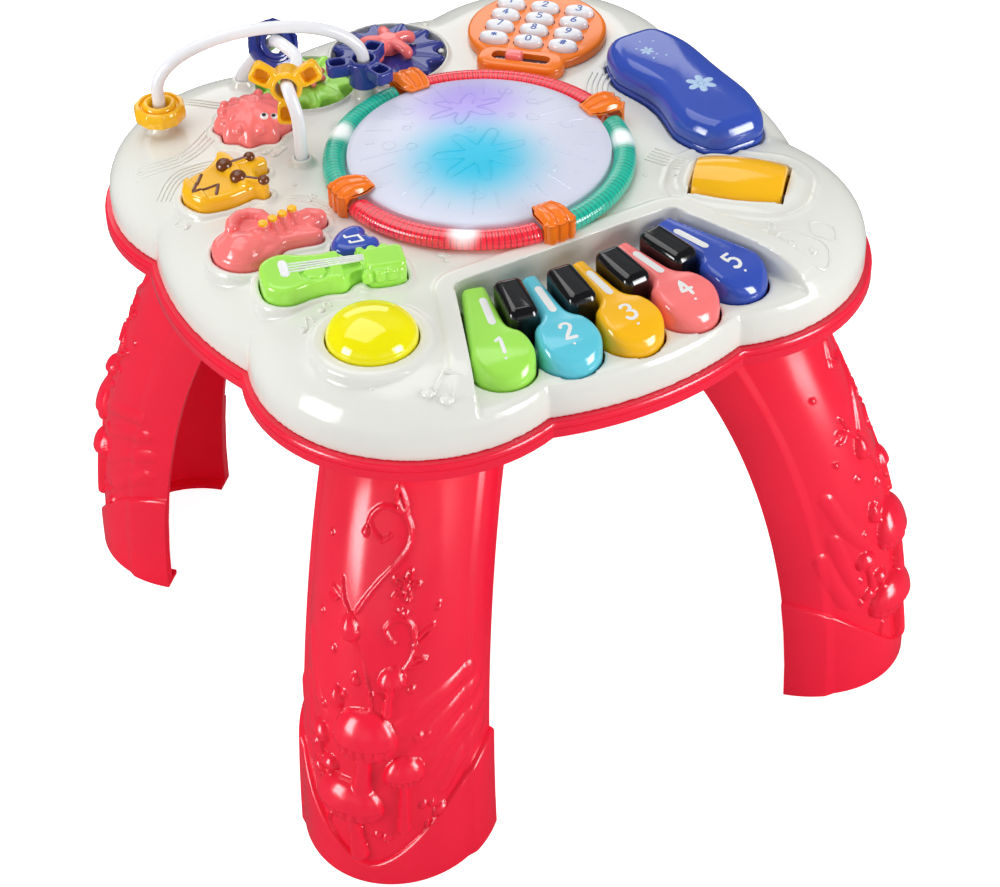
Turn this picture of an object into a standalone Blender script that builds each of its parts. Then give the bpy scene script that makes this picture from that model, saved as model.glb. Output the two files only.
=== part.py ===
"""Musical activity table on four arched legs.

The lobed table top carries a keyboard, a lit drum, a phone with number keys, instrument
buttons, a spinning roller, two meshing gears and two bead wires. Lengths are in metres, +Z is
up and the keyboard faces -Y. The origin is on the floor under the middle of the drum.
"""
import bmesh
import bpy
from math import acos, asin, cos, degrees, hypot, pi, radians, sin, sqrt
from mathutils import Matrix, Quaternion, Vector

# General clearances and fineness
GAP = 0.0003
SLIDE_GAP = 0.0005
OVERRUN = 0.004
ROUND_STEPS = 16
BIG_ROUND_STEPS = 32

# Table outline: one circle for the four sides and one for each corner lobe
SIDE_RADIUS = 0.158
LOBE_RADIUS = 0.0774
LOBE_STANDOUT = 0.0287
LOBE_OFFSET = (SIDE_RADIUS + LOBE_STANDOUT - LOBE_RADIUS) / sqrt(2)
LOBE_STEPS = 10
SIDE_STEPS = 4
NOTCH_SOFTENING = 0.012

# Ivory shell
SURFACE_HEIGHT = 0.270
SHELL_DEPTH = 0.0325
JOINT_HEIGHT = SURFACE_HEIGHT - SHELL_DEPTH
SHELL_WALL = 0.0022
SHELL_UPRIGHT = 0.009
EDGE_ROUND_RUN = 0.033
EDGE_STEPS = 3

# Red tray under the shell
BAND_HEIGHT = 0.009
BAND_REACH = 0.0035
BAND_EDGE = 0.0011
TRAY_DEPTH = 0.014
TRAY_WALL = 0.002
PAN_INSET = 0.024
PAN_DRAFT = 0.0006
LIP_HEIGHT = 0.003
LIP_WALL = 0.002

# Arched legs, C-shaped in section and open towards the middle of the table
LEG_WALL = 0.0026
FOOT_BACK_STANDOUT = 0.0110
FOOT_APEX_STANDOUT = 0.0620
FOOT_BACK = SIDE_RADIUS + FOOT_BACK_STANDOUT
FOOT_APEX = SIDE_RADIUS + FOOT_APEX_STANDOUT
FOOT_HALF = 0.0450
LEG_TOP_HALF = 0.0410
ARCH_RUN = 0.130
ARCH_DROP = 0.030
ARCH_RISE = SURFACE_HEIGHT - ARCH_DROP
SHOULDER_SHARE = 0.22
SHOULDER_POWER_SHARE = 8
LEG_BORDER = 0.0014
LEG_BORDER_ANGLE = 62
LEG_BORDER_EDGE_ANGLE = 5
LEG_LEVELS = 4
CUFF_THICKNESS = 0.0024
CUFF_LOW = 0.013
CUFF_HIGH = 0.062
CUFF_EDGE = 0.0022
SOLE_WIDTH = 0.009
SOLE_THICKNESS = 0.0025
LEG_LID = 0.003
LEG_LID_INSET = 0.0008
SNAP_HALF = 0.0050
SNAP_DEPTH = 0.0030
SNAP_HOOK = 0.0008
SNAP_HOOK_LENGTH = 0.0035
SNAP_SPREAD = 0.018
SNAP_INSET = 0.032
SNAP_PLACE = SIDE_RADIUS - SNAP_INSET

# Keyboard well and its fan of keys
WELL_BACK = 0.0795
WELL_BACK_HALF = 0.0605
WELL_FRONT = 0.150
WELL_FRONT_HALF = 0.0865
WELL_CORNER = 0.006
WELL_DEPTH = 0.0145
WELL_FLOOR_HEIGHT = SURFACE_HEIGHT - WELL_DEPTH
WELL_EDGE_RUN = 0.007
WELL_DRAFT = 0.0006
FAN_CENTRE = 0.089
KEY_COUNT = 5
KEY_PITCH_ANGLE = 7.85
KEY_BACK_RADIUS = 0.1805
KEY_LENGTH = 0.0460
KEY_FRONT_RADIUS = KEY_BACK_RADIUS + KEY_LENGTH
KEY_NOSE_RADIUS = 0.0146
KEY_NECK_HALF = 0.0045
KEY_NECK_FRONT_HALF = 0.0069
KEY_END_NECK_HALF = 0.0078
SHOULDER_START = 0.0356
SHOULDER_RISE = 0.0008
SHOULDER_STEPS = 4
KEY_NOSE_STEPS = 8
KEY_SINK = 0.0020
KEY_THICKNESS = 0.0200
KEY_TOP = SURFACE_HEIGHT - KEY_SINK
KEY_BOTTOM = KEY_TOP - KEY_THICKNESS
KEY_EDGE = 0.0024
KEY_NOSE_DROP = 0.0045
KEY_CLEARANCE = 0.0007
KEY_TAIL_LENGTH = 0.0125
KEY_HINGE_RADIUS = KEY_BACK_RADIUS - KEY_TAIL_LENGTH
KEY_HINGE_LIFT = 0.0023
KEY_HINGE_HEIGHT = KEY_BOTTOM + KEY_HINGE_LIFT
KEY_BARREL_RADIUS = 0.0022
KEY_BARREL_HALF = 0.0055
KEY_TAIL_HALF = 0.0040
KEY_TAIL_THICKNESS = 0.0024
RAIL_FRONT_DROP = 0.0008
KEY_TAIL_OVERLAP = 0.006
BLACK_HALF = 0.0070
BLACK_LENGTH = 0.0315
BLACK_SETBACK = 0.0030
BLACK_BACK_RADIUS = KEY_BACK_RADIUS + BLACK_SETBACK
BLACK_RISE = 0.0045
BLACK_THICKNESS = 0.0175
BLACK_TOP = SURFACE_HEIGHT + BLACK_RISE
BLACK_BOTTOM = BLACK_TOP - BLACK_THICKNESS
BLACK_CORNER = 0.0035
BLACK_POST_HALF = 0.0045
BLACK_POST_START = 0.005
BLACK_POST_LENGTH = 0.016
CARRIER_DEPTH = 0.0300
CARRIER_BOTTOM = SURFACE_HEIGHT - CARRIER_DEPTH
CARRIER_WEB = 0.0025
CARRIER_BAR_HEIGHT = 0.0052
CARRIER_BAR_TOP = CARRIER_BOTTOM + CARRIER_BAR_HEIGHT
CARRIER_HALF_ANGLE = 21
CARRIER_PAD_ANGLE = 1.6
RAIL_HALF = 0.0042

# Lit drum with its ring of four tubes and the orange clip ring
PAD_RADIUS = 0.0633
PAD_EDGE_RISE = 0.0085
PAD_EDGE_TOP = SURFACE_HEIGHT + PAD_EDGE_RISE
PAD_CROWN = 0.0065
PAD_WALL = 0.0020
PAD_FLANGE = 0.0020
PAD_FLANGE_THICKNESS = 0.0018
PAD_CROWN_STEPS = 2
PAD_TRAVEL = 0.0015
PAD_STEM_RADIUS = 0.0040
TUBE_CLEARANCE = 0.0007
TUBE_WIDTH = 0.0109
TUBE_RISE = 0.0086
TUBE_INNER = PAD_RADIUS + TUBE_CLEARANCE
TUBE_OUTER = TUBE_INNER + TUBE_WIDTH
TUBE_TOP = SURFACE_HEIGHT + TUBE_RISE
TUBE_STEPS = 7
TUBE_SECTION_STEPS = 5
CLIP_RING_THICKNESS = 0.0011
CLIP_HALF = 0.0082
CLIP_THICKNESS = 0.0036
CLIP_REACH = 0.0093
CLIP_RISE = 0.0138
CLIP_OUTER = TUBE_OUTER + CLIP_THICKNESS
CLIP_INNER = PAD_RADIUS - CLIP_REACH
CLIP_TOP = SURFACE_HEIGHT + CLIP_RISE
CLIP_WALL = 0.0026

# Rims and seats moulded in the shell round its pieces
COLLAR_HEIGHT = 0.0016
COLLAR_WIDTH = 0.0040
COLLAR_SINK = 0.0090
RIM_STEPS = 18
BUTTON_GAP = 0.0004
BUTTON_FLANGE = 0.0012
BUTTON_FLANGE_THICKNESS = 0.0016
BUTTON_TRAVEL = 0.0020
BUTTON_EDGE = 0.0016
FIGURE_STEPS = 1

# Yellow dome button
DOME_PLACE = (-0.1085, -0.0965)
DOME_RADIUS = 0.0205
DOME_HEIGHT = 0.0125
DOME_COLLAR = 0.0080
DOME_STEPS = 3

# Roller on its axle, in the lobe to the right of the keyboard
ROLLER_PLACE = (0.0965, -0.0790)
ROLLER_TURN = -43
ROLLER_HALF_LENGTH = 0.0215
ROLLER_RADIUS = 0.0175
ROLLER_END_RADIUS = 0.0150
ROLLER_SINK = 0.0060
ROLLER_CENTRE_HEIGHT = SURFACE_HEIGHT - ROLLER_SINK
ROLLER_BORE = 0.0024
ROLLER_AXLE_RADIUS = 0.0020
ROLLER_END_GAP = 0.0012
ROLLER_COLLAR = 0.0085
ROLLER_STEPS = 4
AXLE_EAR = 0.004
AXLE_EAR_HALF = 0.006

# Heart, guitar, trumpet, drum and turtle buttons: places, turns and sizes
HEART_PLACE = (-0.0832, -0.0303)
HEART_TURN = -12
HEART_SIZE = 0.0210
HEART_RISE = 0.0065
GUITAR_PLACE = (-0.1035, -0.0490)
GUITAR_TURN = -16
GUITAR_LENGTH = 0.0660
GUITAR_WIDTH = 0.0290
GUITAR_RISE = 0.0100
GUITAR_STRING_RADIUS = 0.0006
GUITAR_STRING_COUNT = 4
TRUMPET_PLACE = (-0.1150, -0.0057)
TRUMPET_TURN = 4
TRUMPET_LENGTH = 0.0590
TRUMPET_WIDTH = 0.0420
TRUMPET_RISE = 0.0075
VALVE_COUNT = 4
VALVE_RADIUS = 0.0023
VALVE_RISE = 0.0135
DRUM_PLACE = (-0.1140, 0.0440)
DRUM_TURN = -20
DRUM_LENGTH = 0.0400
DRUM_WIDTH = 0.0400
DRUM_RISE = 0.0085
STICK_RADIUS = 0.0014
STICK_BALL_RADIUS = 0.0036
TURTLE_PLACE = (-0.0790, 0.0850)
TURTLE_RADIUS = 0.0180
TURTLE_RISE = 0.0150
TURTLE_SCALLOPS = 9
TURTLE_SCALLOP_DEPTH = 0.0012
TURTLE_EYE_RADIUS = 0.0021
TURTLE_SHELL_DISC = 0.0062

# Phone: number pad with its switch tab, and the handset
KEYPAD_PLACE = (0.0830, 0.0870)
KEYPAD_RADIUS = 0.0355
KEYPAD_LIFT = 0.0005
KEYPAD_THICKNESS = 0.0050
KEYPAD_BASE = SURFACE_HEIGHT + KEYPAD_LIFT
KEYPAD_TOP = KEYPAD_BASE + KEYPAD_THICKNESS
KEYPAD_TURN = -45
NUMBER_COLUMNS = 3
NUMBER_ROWS = 4
NUMBER_COLUMN_PITCH = 0.0180
NUMBER_ROW_PITCH = 0.0115
NUMBER_HALF_LENGTH = 0.0075
NUMBER_HALF_WIDTH = 0.0045
NUMBER_FLANGE = 0.0008
NUMBER_RISE = 0.0035
NUMBER_TOP = KEYPAD_TOP + NUMBER_RISE
NUMBER_TRAVEL = 0.0015
TAB_REACH = 0.0412
TAB_LENGTH = 0.0450
TAB_WIDTH = 0.0180
TAB_THICKNESS = 0.0060
TAB_TOP = KEYPAD_BASE + TAB_THICKNESS
SLOT_LENGTH = 0.0300
SLOT_WIDTH = 0.0075
SLOT_DEPTH = 0.0030
SLIDER_LENGTH = 0.0085
SLIDER_RISE = 0.0025
SLIDER_TRAVEL = 0.0070
HANDSET_PLACE = (0.1135, -0.0035)
HANDSET_TURN = 90
HANDSET_SPREAD = 0.0275
HANDSET_LOBE = 0.0240
HANDSET_WAIST_IN = 0.0175
HANDSET_WAIST_OUT = 0.0220
HANDSET_SINK = 0.0040
HANDSET_LOWER_THICKNESS = 0.0065
HANDSET_UPPER_THICKNESS = 0.0135
HANDSET_BOTTOM = SURFACE_HEIGHT - HANDSET_SINK
HANDSET_SEAM = HANDSET_BOTTOM + HANDSET_LOWER_THICKNESS
HANDSET_TOP = HANDSET_SEAM + HANDSET_UPPER_THICKNESS
HANDSET_EDGE = 0.0085
HANDSET_CRADLE_GAP = 0.0008
HANDSET_STEPS = 28

# Gears at the back
GEAR_MIDDLE = (-0.0148, 0.1090)
GEAR_SPREAD = 0.0484
GEAR_TURN = 3
GEAR_RUNNING_GAP = 0.0010
LIME_TEETH = 10
BLUE_TEETH = 12
TOOTH_HEIGHT = 0.0024
GEAR_TOOTH_STEPS = 4
GEAR_SINK = 0.0057
GEAR_THICKNESS = 0.0082
GEAR_BASE = SURFACE_HEIGHT - GEAR_SINK
GEAR_TOP = GEAR_BASE + GEAR_THICKNESS
GEAR_EDGE = 0.0020
GEAR_POST_RADIUS = 0.0032
GEAR_POST_SHORTFALL = 0.0007
GEAR_POST_TOP = GEAR_TOP - GEAR_POST_SHORTFALL
GEAR_BORE = 0.0036
GEAR_RECESS_GAP = 0.0010
GEAR_RIM = 0.0018
GEAR_CAP_HEIGHT = 0.0085
CROWN_RADIUS = 0.0105
CROWN_POINTS = 8
FLOWER_RADIUS = 0.0160
FLOWER_ARMS = 5

# Bead wires
WIRE_RADIUS = 0.0031
WIRE_SIDES = 8
WIRE_SINK = 0.0080
WIRE_END = SURFACE_HEIGHT - WIRE_SINK
WIRE_COLLAR_RADIUS = 0.0055
WIRE_COLLAR_RISE = 0.0042
WIRE_COLLAR_TOP = SURFACE_HEIGHT + WIRE_COLLAR_RISE
PROPELLER_STAND = 0.0024
WIRE_HOLE_GAP = 0.0003
LONG_WIRE_START = (-0.1170, 0.1095)
LONG_WIRE_END = (-0.0185, 0.0825)
LONG_WIRE_STRAIGHT = 0.0210
LONG_WIRE_ARCH = 0.0255
LONG_WIRE_UPRIGHT = SURFACE_HEIGHT + LONG_WIRE_STRAIGHT
LONG_WIRE_TOP = LONG_WIRE_UPRIGHT + LONG_WIRE_ARCH
SHORT_WIRE_START = (-0.0725, 0.0445)
SHORT_WIRE_END = (-0.0660, 0.1240)
SHORT_WIRE_WAVE = (
    (-0.0725, 0.0445, 0.0060), (-0.0730, 0.0448, 0.0260), (-0.0740, 0.0505, 0.0380),
    (-0.0710, 0.0585, 0.0370), (-0.0650, 0.0670, 0.0350), (-0.0565, 0.0780, 0.0365),
    (-0.0590, 0.0910, 0.0390), (-0.0568, 0.1040, 0.0315), (-0.0600, 0.1150, 0.0200),
    (-0.0660, 0.1240, 0.0060))
SHORT_PROPELLER_POINT = 3
SHORT_PROPELLER_TURN = 30
SHORT_RING_POINT = 7
WIRE_ARCH_STEPS = 12
WIRE_WAVE_STEPS = 2
BEAD_BORE = 0.0052
BEAD_HANG = 0.0009
RING_BEAD_RADIUS = 0.0122
RING_BEAD_HALF = 0.0050
RING_BEAD_NUBS = 10
RING_BEAD_NUB = 0.0012
HUB_RADIUS = 0.0078
HUB_LENGTH = 0.0150
BLADE_REACH = 0.0185
BLADE_HALF = 0.0053
BLADE_DEPTH = 0.0070
BLADE_WALL = 0.0016
BLADE_FLOOR = 0.0020
BLADE_CORNER = 0.0022
PROPELLER_BLADES = 3
PROPELLER_TURN = 42

# Battery box in the tray, its door, the cells, the circuit board and the speaker
BOX_PLACE = (-0.0380, 0.0)
CELL_RADIUS = 0.00725
CELL_LENGTH = 0.0490
CELL_NIB_RADIUS = 0.0025
CELL_NIB = 0.0015
CELL_COUNT = 3
CELL_SPACING = 0.0150
BOX_ROOM = 0.0545
BOX_WIDTH = 0.0480
BOX_WALL = 0.0050
BOX_ROOF = 0.0020
DOOR_THICKNESS = 0.0016
DOOR_LEDGE = 0.0030
DOOR_TAB = 0.0130
DOOR_SCREW_RADIUS = 0.0014
DOOR_SCREW_HEAD_RADIUS = 0.0028
DOOR_SCREW_HEAD = 0.0010
DOOR_SCREW_LENGTH = 0.0090
BOARD_HALF_LENGTH = 0.0500
BOARD_HALF_WIDTH = 0.0415
BOARD_THICKNESS = 0.0016
BOARD_DEPTH = 0.0170
BOARD_TOP = SURFACE_HEIGHT - BOARD_DEPTH
BOARD_BOSS_RADIUS = 0.0035
BOARD_CHIP = 0.0060
BOARD_CHIP_RISE = 0.0012
SPEAKER_PLACE = (0.0560, 0.0)
SPEAKER_RADIUS = 0.0250
SPEAKER_RIM = 0.0030
SPEAKER_MAGNET_RADIUS = 0.0140
SPEAKER_HEIGHT = 0.0160
SPEAKER_SEAT_WALL = 0.0020
SPEAKER_SEAT_HEIGHT = 0.0040
GRILLE_HOLE_RADIUS = 0.0022
GRILLE_HOLES = 6
GRILLE_CIRCLE = 0.0140

# Colours
IVORY = (0.84, 0.82, 0.74)
CORAL_RED = (0.86, 0.04, 0.10)
WHITE = (0.90, 0.90, 0.92)
BLACK = (0.015, 0.015, 0.017)
LIME = (0.38, 0.75, 0.06)
CYAN = (0.12, 0.60, 0.70)
AMBER = (0.95, 0.48, 0.01)
YELLOW = (0.92, 0.84, 0.01)
PINK = (0.92, 0.18, 0.19)
BLUE = (0.04, 0.09, 0.50)
ORANGE = (0.90, 0.22, 0.015)
TEAL = (0.03, 0.55, 0.42)
MILKY = (0.62, 0.70, 0.88)
GREEN_BOARD = (0.02, 0.22, 0.08)
STEEL = (0.60, 0.60, 0.62)
COPPER_TOP = (0.55, 0.35, 0.12)
PLASTIC_ROUGHNESS = 0.28
METAL_ROUGHNESS = 0.35


def clear_scene():
    """Start from an empty scene."""
    for item in list(bpy.data.objects):
        bpy.data.objects.remove(item, do_unlink=True)


def material(name, colour, roughness=PLASTIC_ROUGHNESS, metallic=0.0):
    """One Principled material for one piece."""
    new = bpy.data.materials.new(name)
    new.use_nodes = True
    shader = new.node_tree.nodes["Principled BSDF"]
    shader.inputs["Base Color"].default_value = (*colour, 1.0)
    shader.inputs["Roughness"].default_value = roughness
    shader.inputs["Metallic"].default_value = metallic
    return new


def place_mesh(name, mesh, colour=None, at=(0, 0, 0), turn=0, roughness=PLASTIC_ROUGHNESS, metallic=0.0):
    """Put a mesh in the scene as a named piece, or as a hidden tool when it has no colour."""
    piece = bpy.data.objects.new(name, mesh)
    bpy.context.scene.collection.objects.link(piece)
    piece.location = at
    piece.rotation_euler = (0, 0, radians(turn))
    if colour is None:
        piece.hide_render = True
        piece.display_type = "WIRE"
    else:
        piece.data.materials.append(material(name, colour, roughness, metallic))
    return piece


def mesh_from(name, vertices, faces):
    """A mesh with all its faces turned outwards and smooth between its sharp edges."""
    work = bmesh.new()
    made = [work.verts.new(point) for point in vertices]
    for face in faces:
        work.faces.new([made[index] for index in face])
    bmesh.ops.recalc_face_normals(work, faces=work.faces)
    mesh = bpy.data.meshes.new(name)
    work.to_mesh(mesh)
    work.free()
    mesh.shade_smooth()
    mesh.set_sharp_from_angle(angle=radians(35))
    return mesh


def loft(name, rings, closed=False):
    """Join rings of equally many points into one body, capped at both ends or closed on itself."""
    count = len(rings[0])
    vertices = [point for ring in rings for point in ring]
    faces = []
    spans = len(rings) if closed else len(rings) - 1
    for level in range(spans):
        low = level * count
        high = ((level + 1) % len(rings)) * count
        for index in range(count):
            after = (index + 1) % count
            faces.append((low + index, low + after, high + after, high + index))
    if not closed:
        faces.append(tuple(range(count)))
        faces.append(tuple(range((len(rings) - 1) * count, len(rings) * count)))
    return mesh_from(name, vertices, faces)


def flat_ring(outline, z):
    """A level copy of a plan outline."""
    return [(x, y, z) for x, y in outline]


def prism(name, outline, low, high):
    """An upright body with the given plan outline."""
    return loft(name, [flat_ring(outline, low), flat_ring(outline, high)])


def circle(radius, steps=ROUND_STEPS, centre=(0, 0), start=0):
    """Points round a circle."""
    return [(centre[0] + radius * cos(2 * pi * step / steps + start),
             centre[1] + radius * sin(2 * pi * step / steps + start)) for step in range(steps)]


def turned(name, profile, steps=ROUND_STEPS, centre=(0, 0)):
    """A body turned about the vertical through its centre, from its profile of radius and height."""
    return loft(name, [flat_ring(circle(radius, steps, centre), z) for radius, z in profile])


def turned_ring(name, profile, steps=ROUND_STEPS, centre=(0, 0)):
    """A turned body with a bore: its closed profile never meets the axis."""
    rings = []
    for step in range(steps):
        angle = 2 * pi * step / steps
        rings.append([(centre[0] + r * cos(angle), centre[1] + r * sin(angle), z) for r, z in profile])
    return loft(name, rings, closed=True)


def swept_arc(name, profile, start, end, steps, centre=(0, 0)):
    """A closed profile of radius and height swept round part of a turn."""
    rings = []
    for step in range(steps + 1):
        angle = radians(start + (end - start) * step / steps)
        rings.append([(centre[0] + r * cos(angle), centre[1] + r * sin(angle), z) for r, z in profile])
    return loft(name, rings)


def boolean(target, tool, operation):
    """Add one exact Boolean and keep the tool as a hidden guide."""
    step = target.modifiers.new(tool.name, "BOOLEAN")
    step.operation = operation
    step.solver = "EXACT"
    step.object = tool
    return target


def cut(target, tool):
    return boolean(target, tool, "DIFFERENCE")


def fuse(target, tool):
    return boolean(target, tool, "UNION")


def offset_outline(outline, distance):
    """Move each point of a plan outline outwards along the mean normal of its two edges."""
    count = len(outline)
    area = sum(outline[i][0] * outline[(i + 1) % count][1] - outline[(i + 1) % count][0] * outline[i][1]
               for i in range(count))
    sign = 1 if area > 0 else -1
    moved = []
    for index, (x, y) in enumerate(outline):
        before = outline[index - 1]
        after = outline[(index + 1) % count]
        first = Vector((x - before[0], y - before[1])).normalized()
        second = Vector((after[0] - x, after[1] - y)).normalized()
        along = (first + second).normalized()
        spread = max(along.dot(first), 0.5)
        moved.append((x + sign * along.y * distance / spread, y - sign * along.x * distance / spread))
    return moved


def envelope(outline, distance, steps=ROUND_STEPS):
    """The outermost reach, in even directions, of circles of this radius along an outline."""
    dense = []
    for index, (x, y) in enumerate(outline):
        before = outline[index - 1]
        dense += [((x + before[0]) / 2, (y + before[1]) / 2), (x, y)]
    middle_x = sum(x for x, y in outline) / len(outline)
    middle_y = sum(y for x, y in outline) / len(outline)
    reached = []
    for step in range(steps):
        turn = 2 * pi * step / steps
        c, s = cos(turn), sin(turn)
        best = 0.0
        for x, y in dense:
            along = (x - middle_x) * c + (y - middle_y) * s
            off = (x - middle_x) * s - (y - middle_y) * c
            if abs(off) < distance:
                best = max(best, along + sqrt(distance ** 2 - off ** 2))
        reached.append((middle_x + best * c, middle_y + best * s))
    return reached


def smooth_outline(shares, length, width, steps=4):
    """A closed Catmull-Rom curve through points given as shares of a length and a width."""
    points = [Vector((u * length, v * width)) for u, v in shares]
    count = len(points)
    outline = []
    for index in range(count):
        a, b, c, d = (points[(index + k) % count] for k in (-1, 0, 1, 2))
        for step in range(steps):
            t = step / steps
            place = 0.5 * (2 * b + (c - a) * t + (2 * a - 5 * b + 4 * c - d) * t * t
                           + (3 * b - a - 3 * c + d) * t * t * t)
            outline.append((place.x, place.y))
    return outline


def rounded_box_outline(half_length, half_width, corner, steps=4):
    """A rectangle in plan with round corners."""
    outline = []
    for quarter in range(4):
        sign_x = 1 if quarter in (0, 3) else -1
        sign_y = 1 if quarter in (0, 1) else -1
        for step in range(steps + 1):
            angle = pi / 2 * (quarter + step / steps)
            outline.append((sign_x * (half_length - corner) + corner * cos(angle),
                            sign_y * (half_width - corner) + corner * sin(angle)))
    return outline


def moved_outline(outline, place, turn=0):
    """Turn a plan outline and move it to its place."""
    c, s = cos(radians(turn)), sin(radians(turn))
    return [(place[0] + x * c - y * s, place[1] + x * s + y * c) for x, y in outline]


def lobed_outline(inset, soften=0.0):
    """The table's plan outline moved inwards: side circle and corner circles, notch to notch."""
    side = SIDE_RADIUS - inset
    lobe = LOBE_RADIUS - inset
    reach = hypot(LOBE_OFFSET, LOBE_OFFSET)
    notch = acos((side ** 2 + reach ** 2 - lobe ** 2) / (2 * side * reach))
    outline = []
    for corner in range(4):
        diagonal = pi / 4 + corner * pi / 2
        turns = [notch * (2 * step / LOBE_STEPS - 1) for step in range(LOBE_STEPS)]
        turns += [notch + (pi / 2 - 2 * notch) * step / SIDE_STEPS for step in range(SIDE_STEPS)]
        for turn in turns:
            near = turn if turn < pi / 4 else pi / 2 - turn
            inside = max(lobe ** 2 - (reach * sin(near)) ** 2, 0)
            lobe_reach = reach * cos(near) + sqrt(inside)
            blend = max(soften - abs(lobe_reach - side), 0) / soften if soften else 0
            radius = max(lobe_reach, side) + blend * blend * soften / 4
            outline.append((radius * cos(diagonal + turn), radius * sin(diagonal + turn)))
    return outline


def table_levels(inset, bottom, top, run):
    """Levels of a lobed body with an upright foot and an elliptic edge up to its flat top."""
    rise = top - JOINT_HEIGHT - SHELL_UPRIGHT
    levels = [flat_ring(lobed_outline(inset), bottom)]
    for step in range(EDGE_STEPS + 1):
        turn = pi / 2 * step / EDGE_STEPS
        in_share = 1 - cos(turn)
        outline = lobed_outline(inset + run * in_share, NOTCH_SOFTENING * in_share)
        levels.append(flat_ring(outline, JOINT_HEIGHT + SHELL_UPRIGHT + rise * sin(turn)))
    return levels


def fan_point(radius, angle):
    """A plan point given from the centre of the key fan; angle 0 points to the front."""
    turn = radians(angle)
    return (radius * sin(turn), FAN_CENTRE - radius * cos(turn))


def well_outline(grow=0.0):
    """The keyboard well in plan, open past the table's front edge."""
    slope = (WELL_FRONT_HALF - WELL_BACK_HALF) / (WELL_FRONT - WELL_BACK)
    end = SIDE_RADIUS + OVERRUN
    end_half = WELL_BACK_HALF + slope * (end - WELL_BACK) + grow
    back_half = WELL_BACK_HALF + grow
    back = -WELL_BACK + grow
    corner = WELL_CORNER + grow
    outline = [(-end_half, -end), (end_half, -end)]
    for step in range(5):
        turn = pi / 2 * step / 4
        outline.append((back_half - corner + corner * cos(turn), back - corner + corner * sin(turn)))
    for step in range(5):
        turn = pi / 2 * (1 + step / 4)
        outline.append((corner - back_half + corner * cos(turn), back - corner + corner * sin(turn)))
    return outline


def key_outline(end_side=0):
    """A colour key in plan: x across it, y from its back end; end_side marks an end key's outer side."""
    nose = KEY_BACK_RADIUS - KEY_FRONT_RADIUS
    outline = []
    for step in range(KEY_NOSE_STEPS + 1):
        turn = pi + pi * step / KEY_NOSE_STEPS
        outline.append((KEY_NOSE_RADIUS * cos(turn), nose + KEY_NOSE_RADIUS * sin(turn)))

    def side(sign):
        if end_side == sign:
            span = KEY_NOSE_RADIUS - KEY_END_NECK_HALF
            points = [(KEY_END_NECK_HALF + span * step / SHOULDER_STEPS, nose * step / SHOULDER_STEPS)
                      for step in range(SHOULDER_STEPS)]
        else:
            points = [(KEY_NECK_HALF, 0.0), (KEY_NECK_FRONT_HALF, -SHOULDER_START)]
            start = SHOULDER_START + SHOULDER_RISE
            for step in range(SHOULDER_STEPS):
                along = start - (start + nose) * step / SHOULDER_STEPS
                points.append((sqrt(KEY_NOSE_RADIUS ** 2 - (nose + along) ** 2), -along))
        return [(sign * x, y) for x, y in points]

    right = side(1)
    left = side(-1)
    return outline + right[::-1] + left


def key_mesh(name, end_side):
    """The solid of a colour key, with its rounded top falling to the nose."""
    nose = KEY_BACK_RADIUS - KEY_FRONT_RADIUS
    base = key_outline(end_side)
    levels = ((0, KEY_BOTTOM, 0), (0, KEY_TOP - 2 * KEY_EDGE, 1),
              (KEY_EDGE / 4, KEY_TOP - KEY_EDGE, 1), (KEY_EDGE, KEY_TOP, 1))
    rings = []
    for inset, z, falls in levels:
        ring = []
        for (x, y), (bx, by) in zip(offset_outline(base, -inset), base):
            share = max(nose - by, 0) / KEY_NOSE_RADIUS
            ring.append((x, y, z - falls * KEY_NOSE_DROP * share))
        rings.append(ring)
    return loft(name, rings)


def colour_key(name, index, colour):
    """One colour key with its tail and hinge barrel; its origin is on the hinge axis."""
    position = index - (KEY_COUNT - 1) / 2
    angle = KEY_PITCH_ANGLE * position
    end_side = 0
    if index == 0:
        end_side = -1
    if index == KEY_COUNT - 1:
        end_side = 1
    back = KEY_HINGE_RADIUS - KEY_BACK_RADIUS
    shift = Matrix.Translation((0, back, -KEY_HINGE_HEIGHT))
    mesh = key_mesh(name, end_side)
    mesh.transform(shift)
    hinge = fan_point(KEY_HINGE_RADIUS, angle)
    at = (*hinge, KEY_HINGE_HEIGHT)
    key = place_mesh(name, mesh, colour, at, angle)
    tail_outline = [(-KEY_TAIL_HALF, back - KEY_TAIL_OVERLAP), (KEY_TAIL_HALF, back - KEY_TAIL_OVERLAP),
                    (KEY_TAIL_HALF, 0), (-KEY_TAIL_HALF, 0)]
    tail = place_mesh(name + "_tail", prism(name + "_tail", tail_outline, 0, KEY_TAIL_THICKNESS),
                      None, at, angle)
    barrel_mesh = turned(name + "_barrel", [(KEY_BARREL_RADIUS, -KEY_BARREL_HALF),
                                            (KEY_BARREL_RADIUS, KEY_BARREL_HALF)], 8)
    barrel_mesh.transform(Matrix.Rotation(pi / 2, 4, "Y"))
    barrel = place_mesh(name + "_barrel", barrel_mesh, None, at, angle)
    fuse(key, tail)
    fuse(key, barrel)
    return key


def fan_sector(inner, outer, half_angle_inner, half_angle_outer, steps=8):
    """A sector of the key fan in plan."""
    outline = [fan_point(inner, half_angle_inner * (2 * s / steps - 1)) for s in range(steps + 1)]
    outline += [fan_point(outer, half_angle_outer * (1 - 2 * s / steps)) for s in range(steps + 1)]
    return outline


def black_outline():
    """A black key in plan, from its back end."""
    half = BLACK_LENGTH / 2
    return [(x, y - half) for x, y in rounded_box_outline(BLACK_HALF, half, BLACK_CORNER, 2)]


def black_key_centres():
    return [KEY_PITCH_ANGLE * (index - (KEY_COUNT - 2) / 2) for index in range(KEY_COUNT - 1)]


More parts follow.
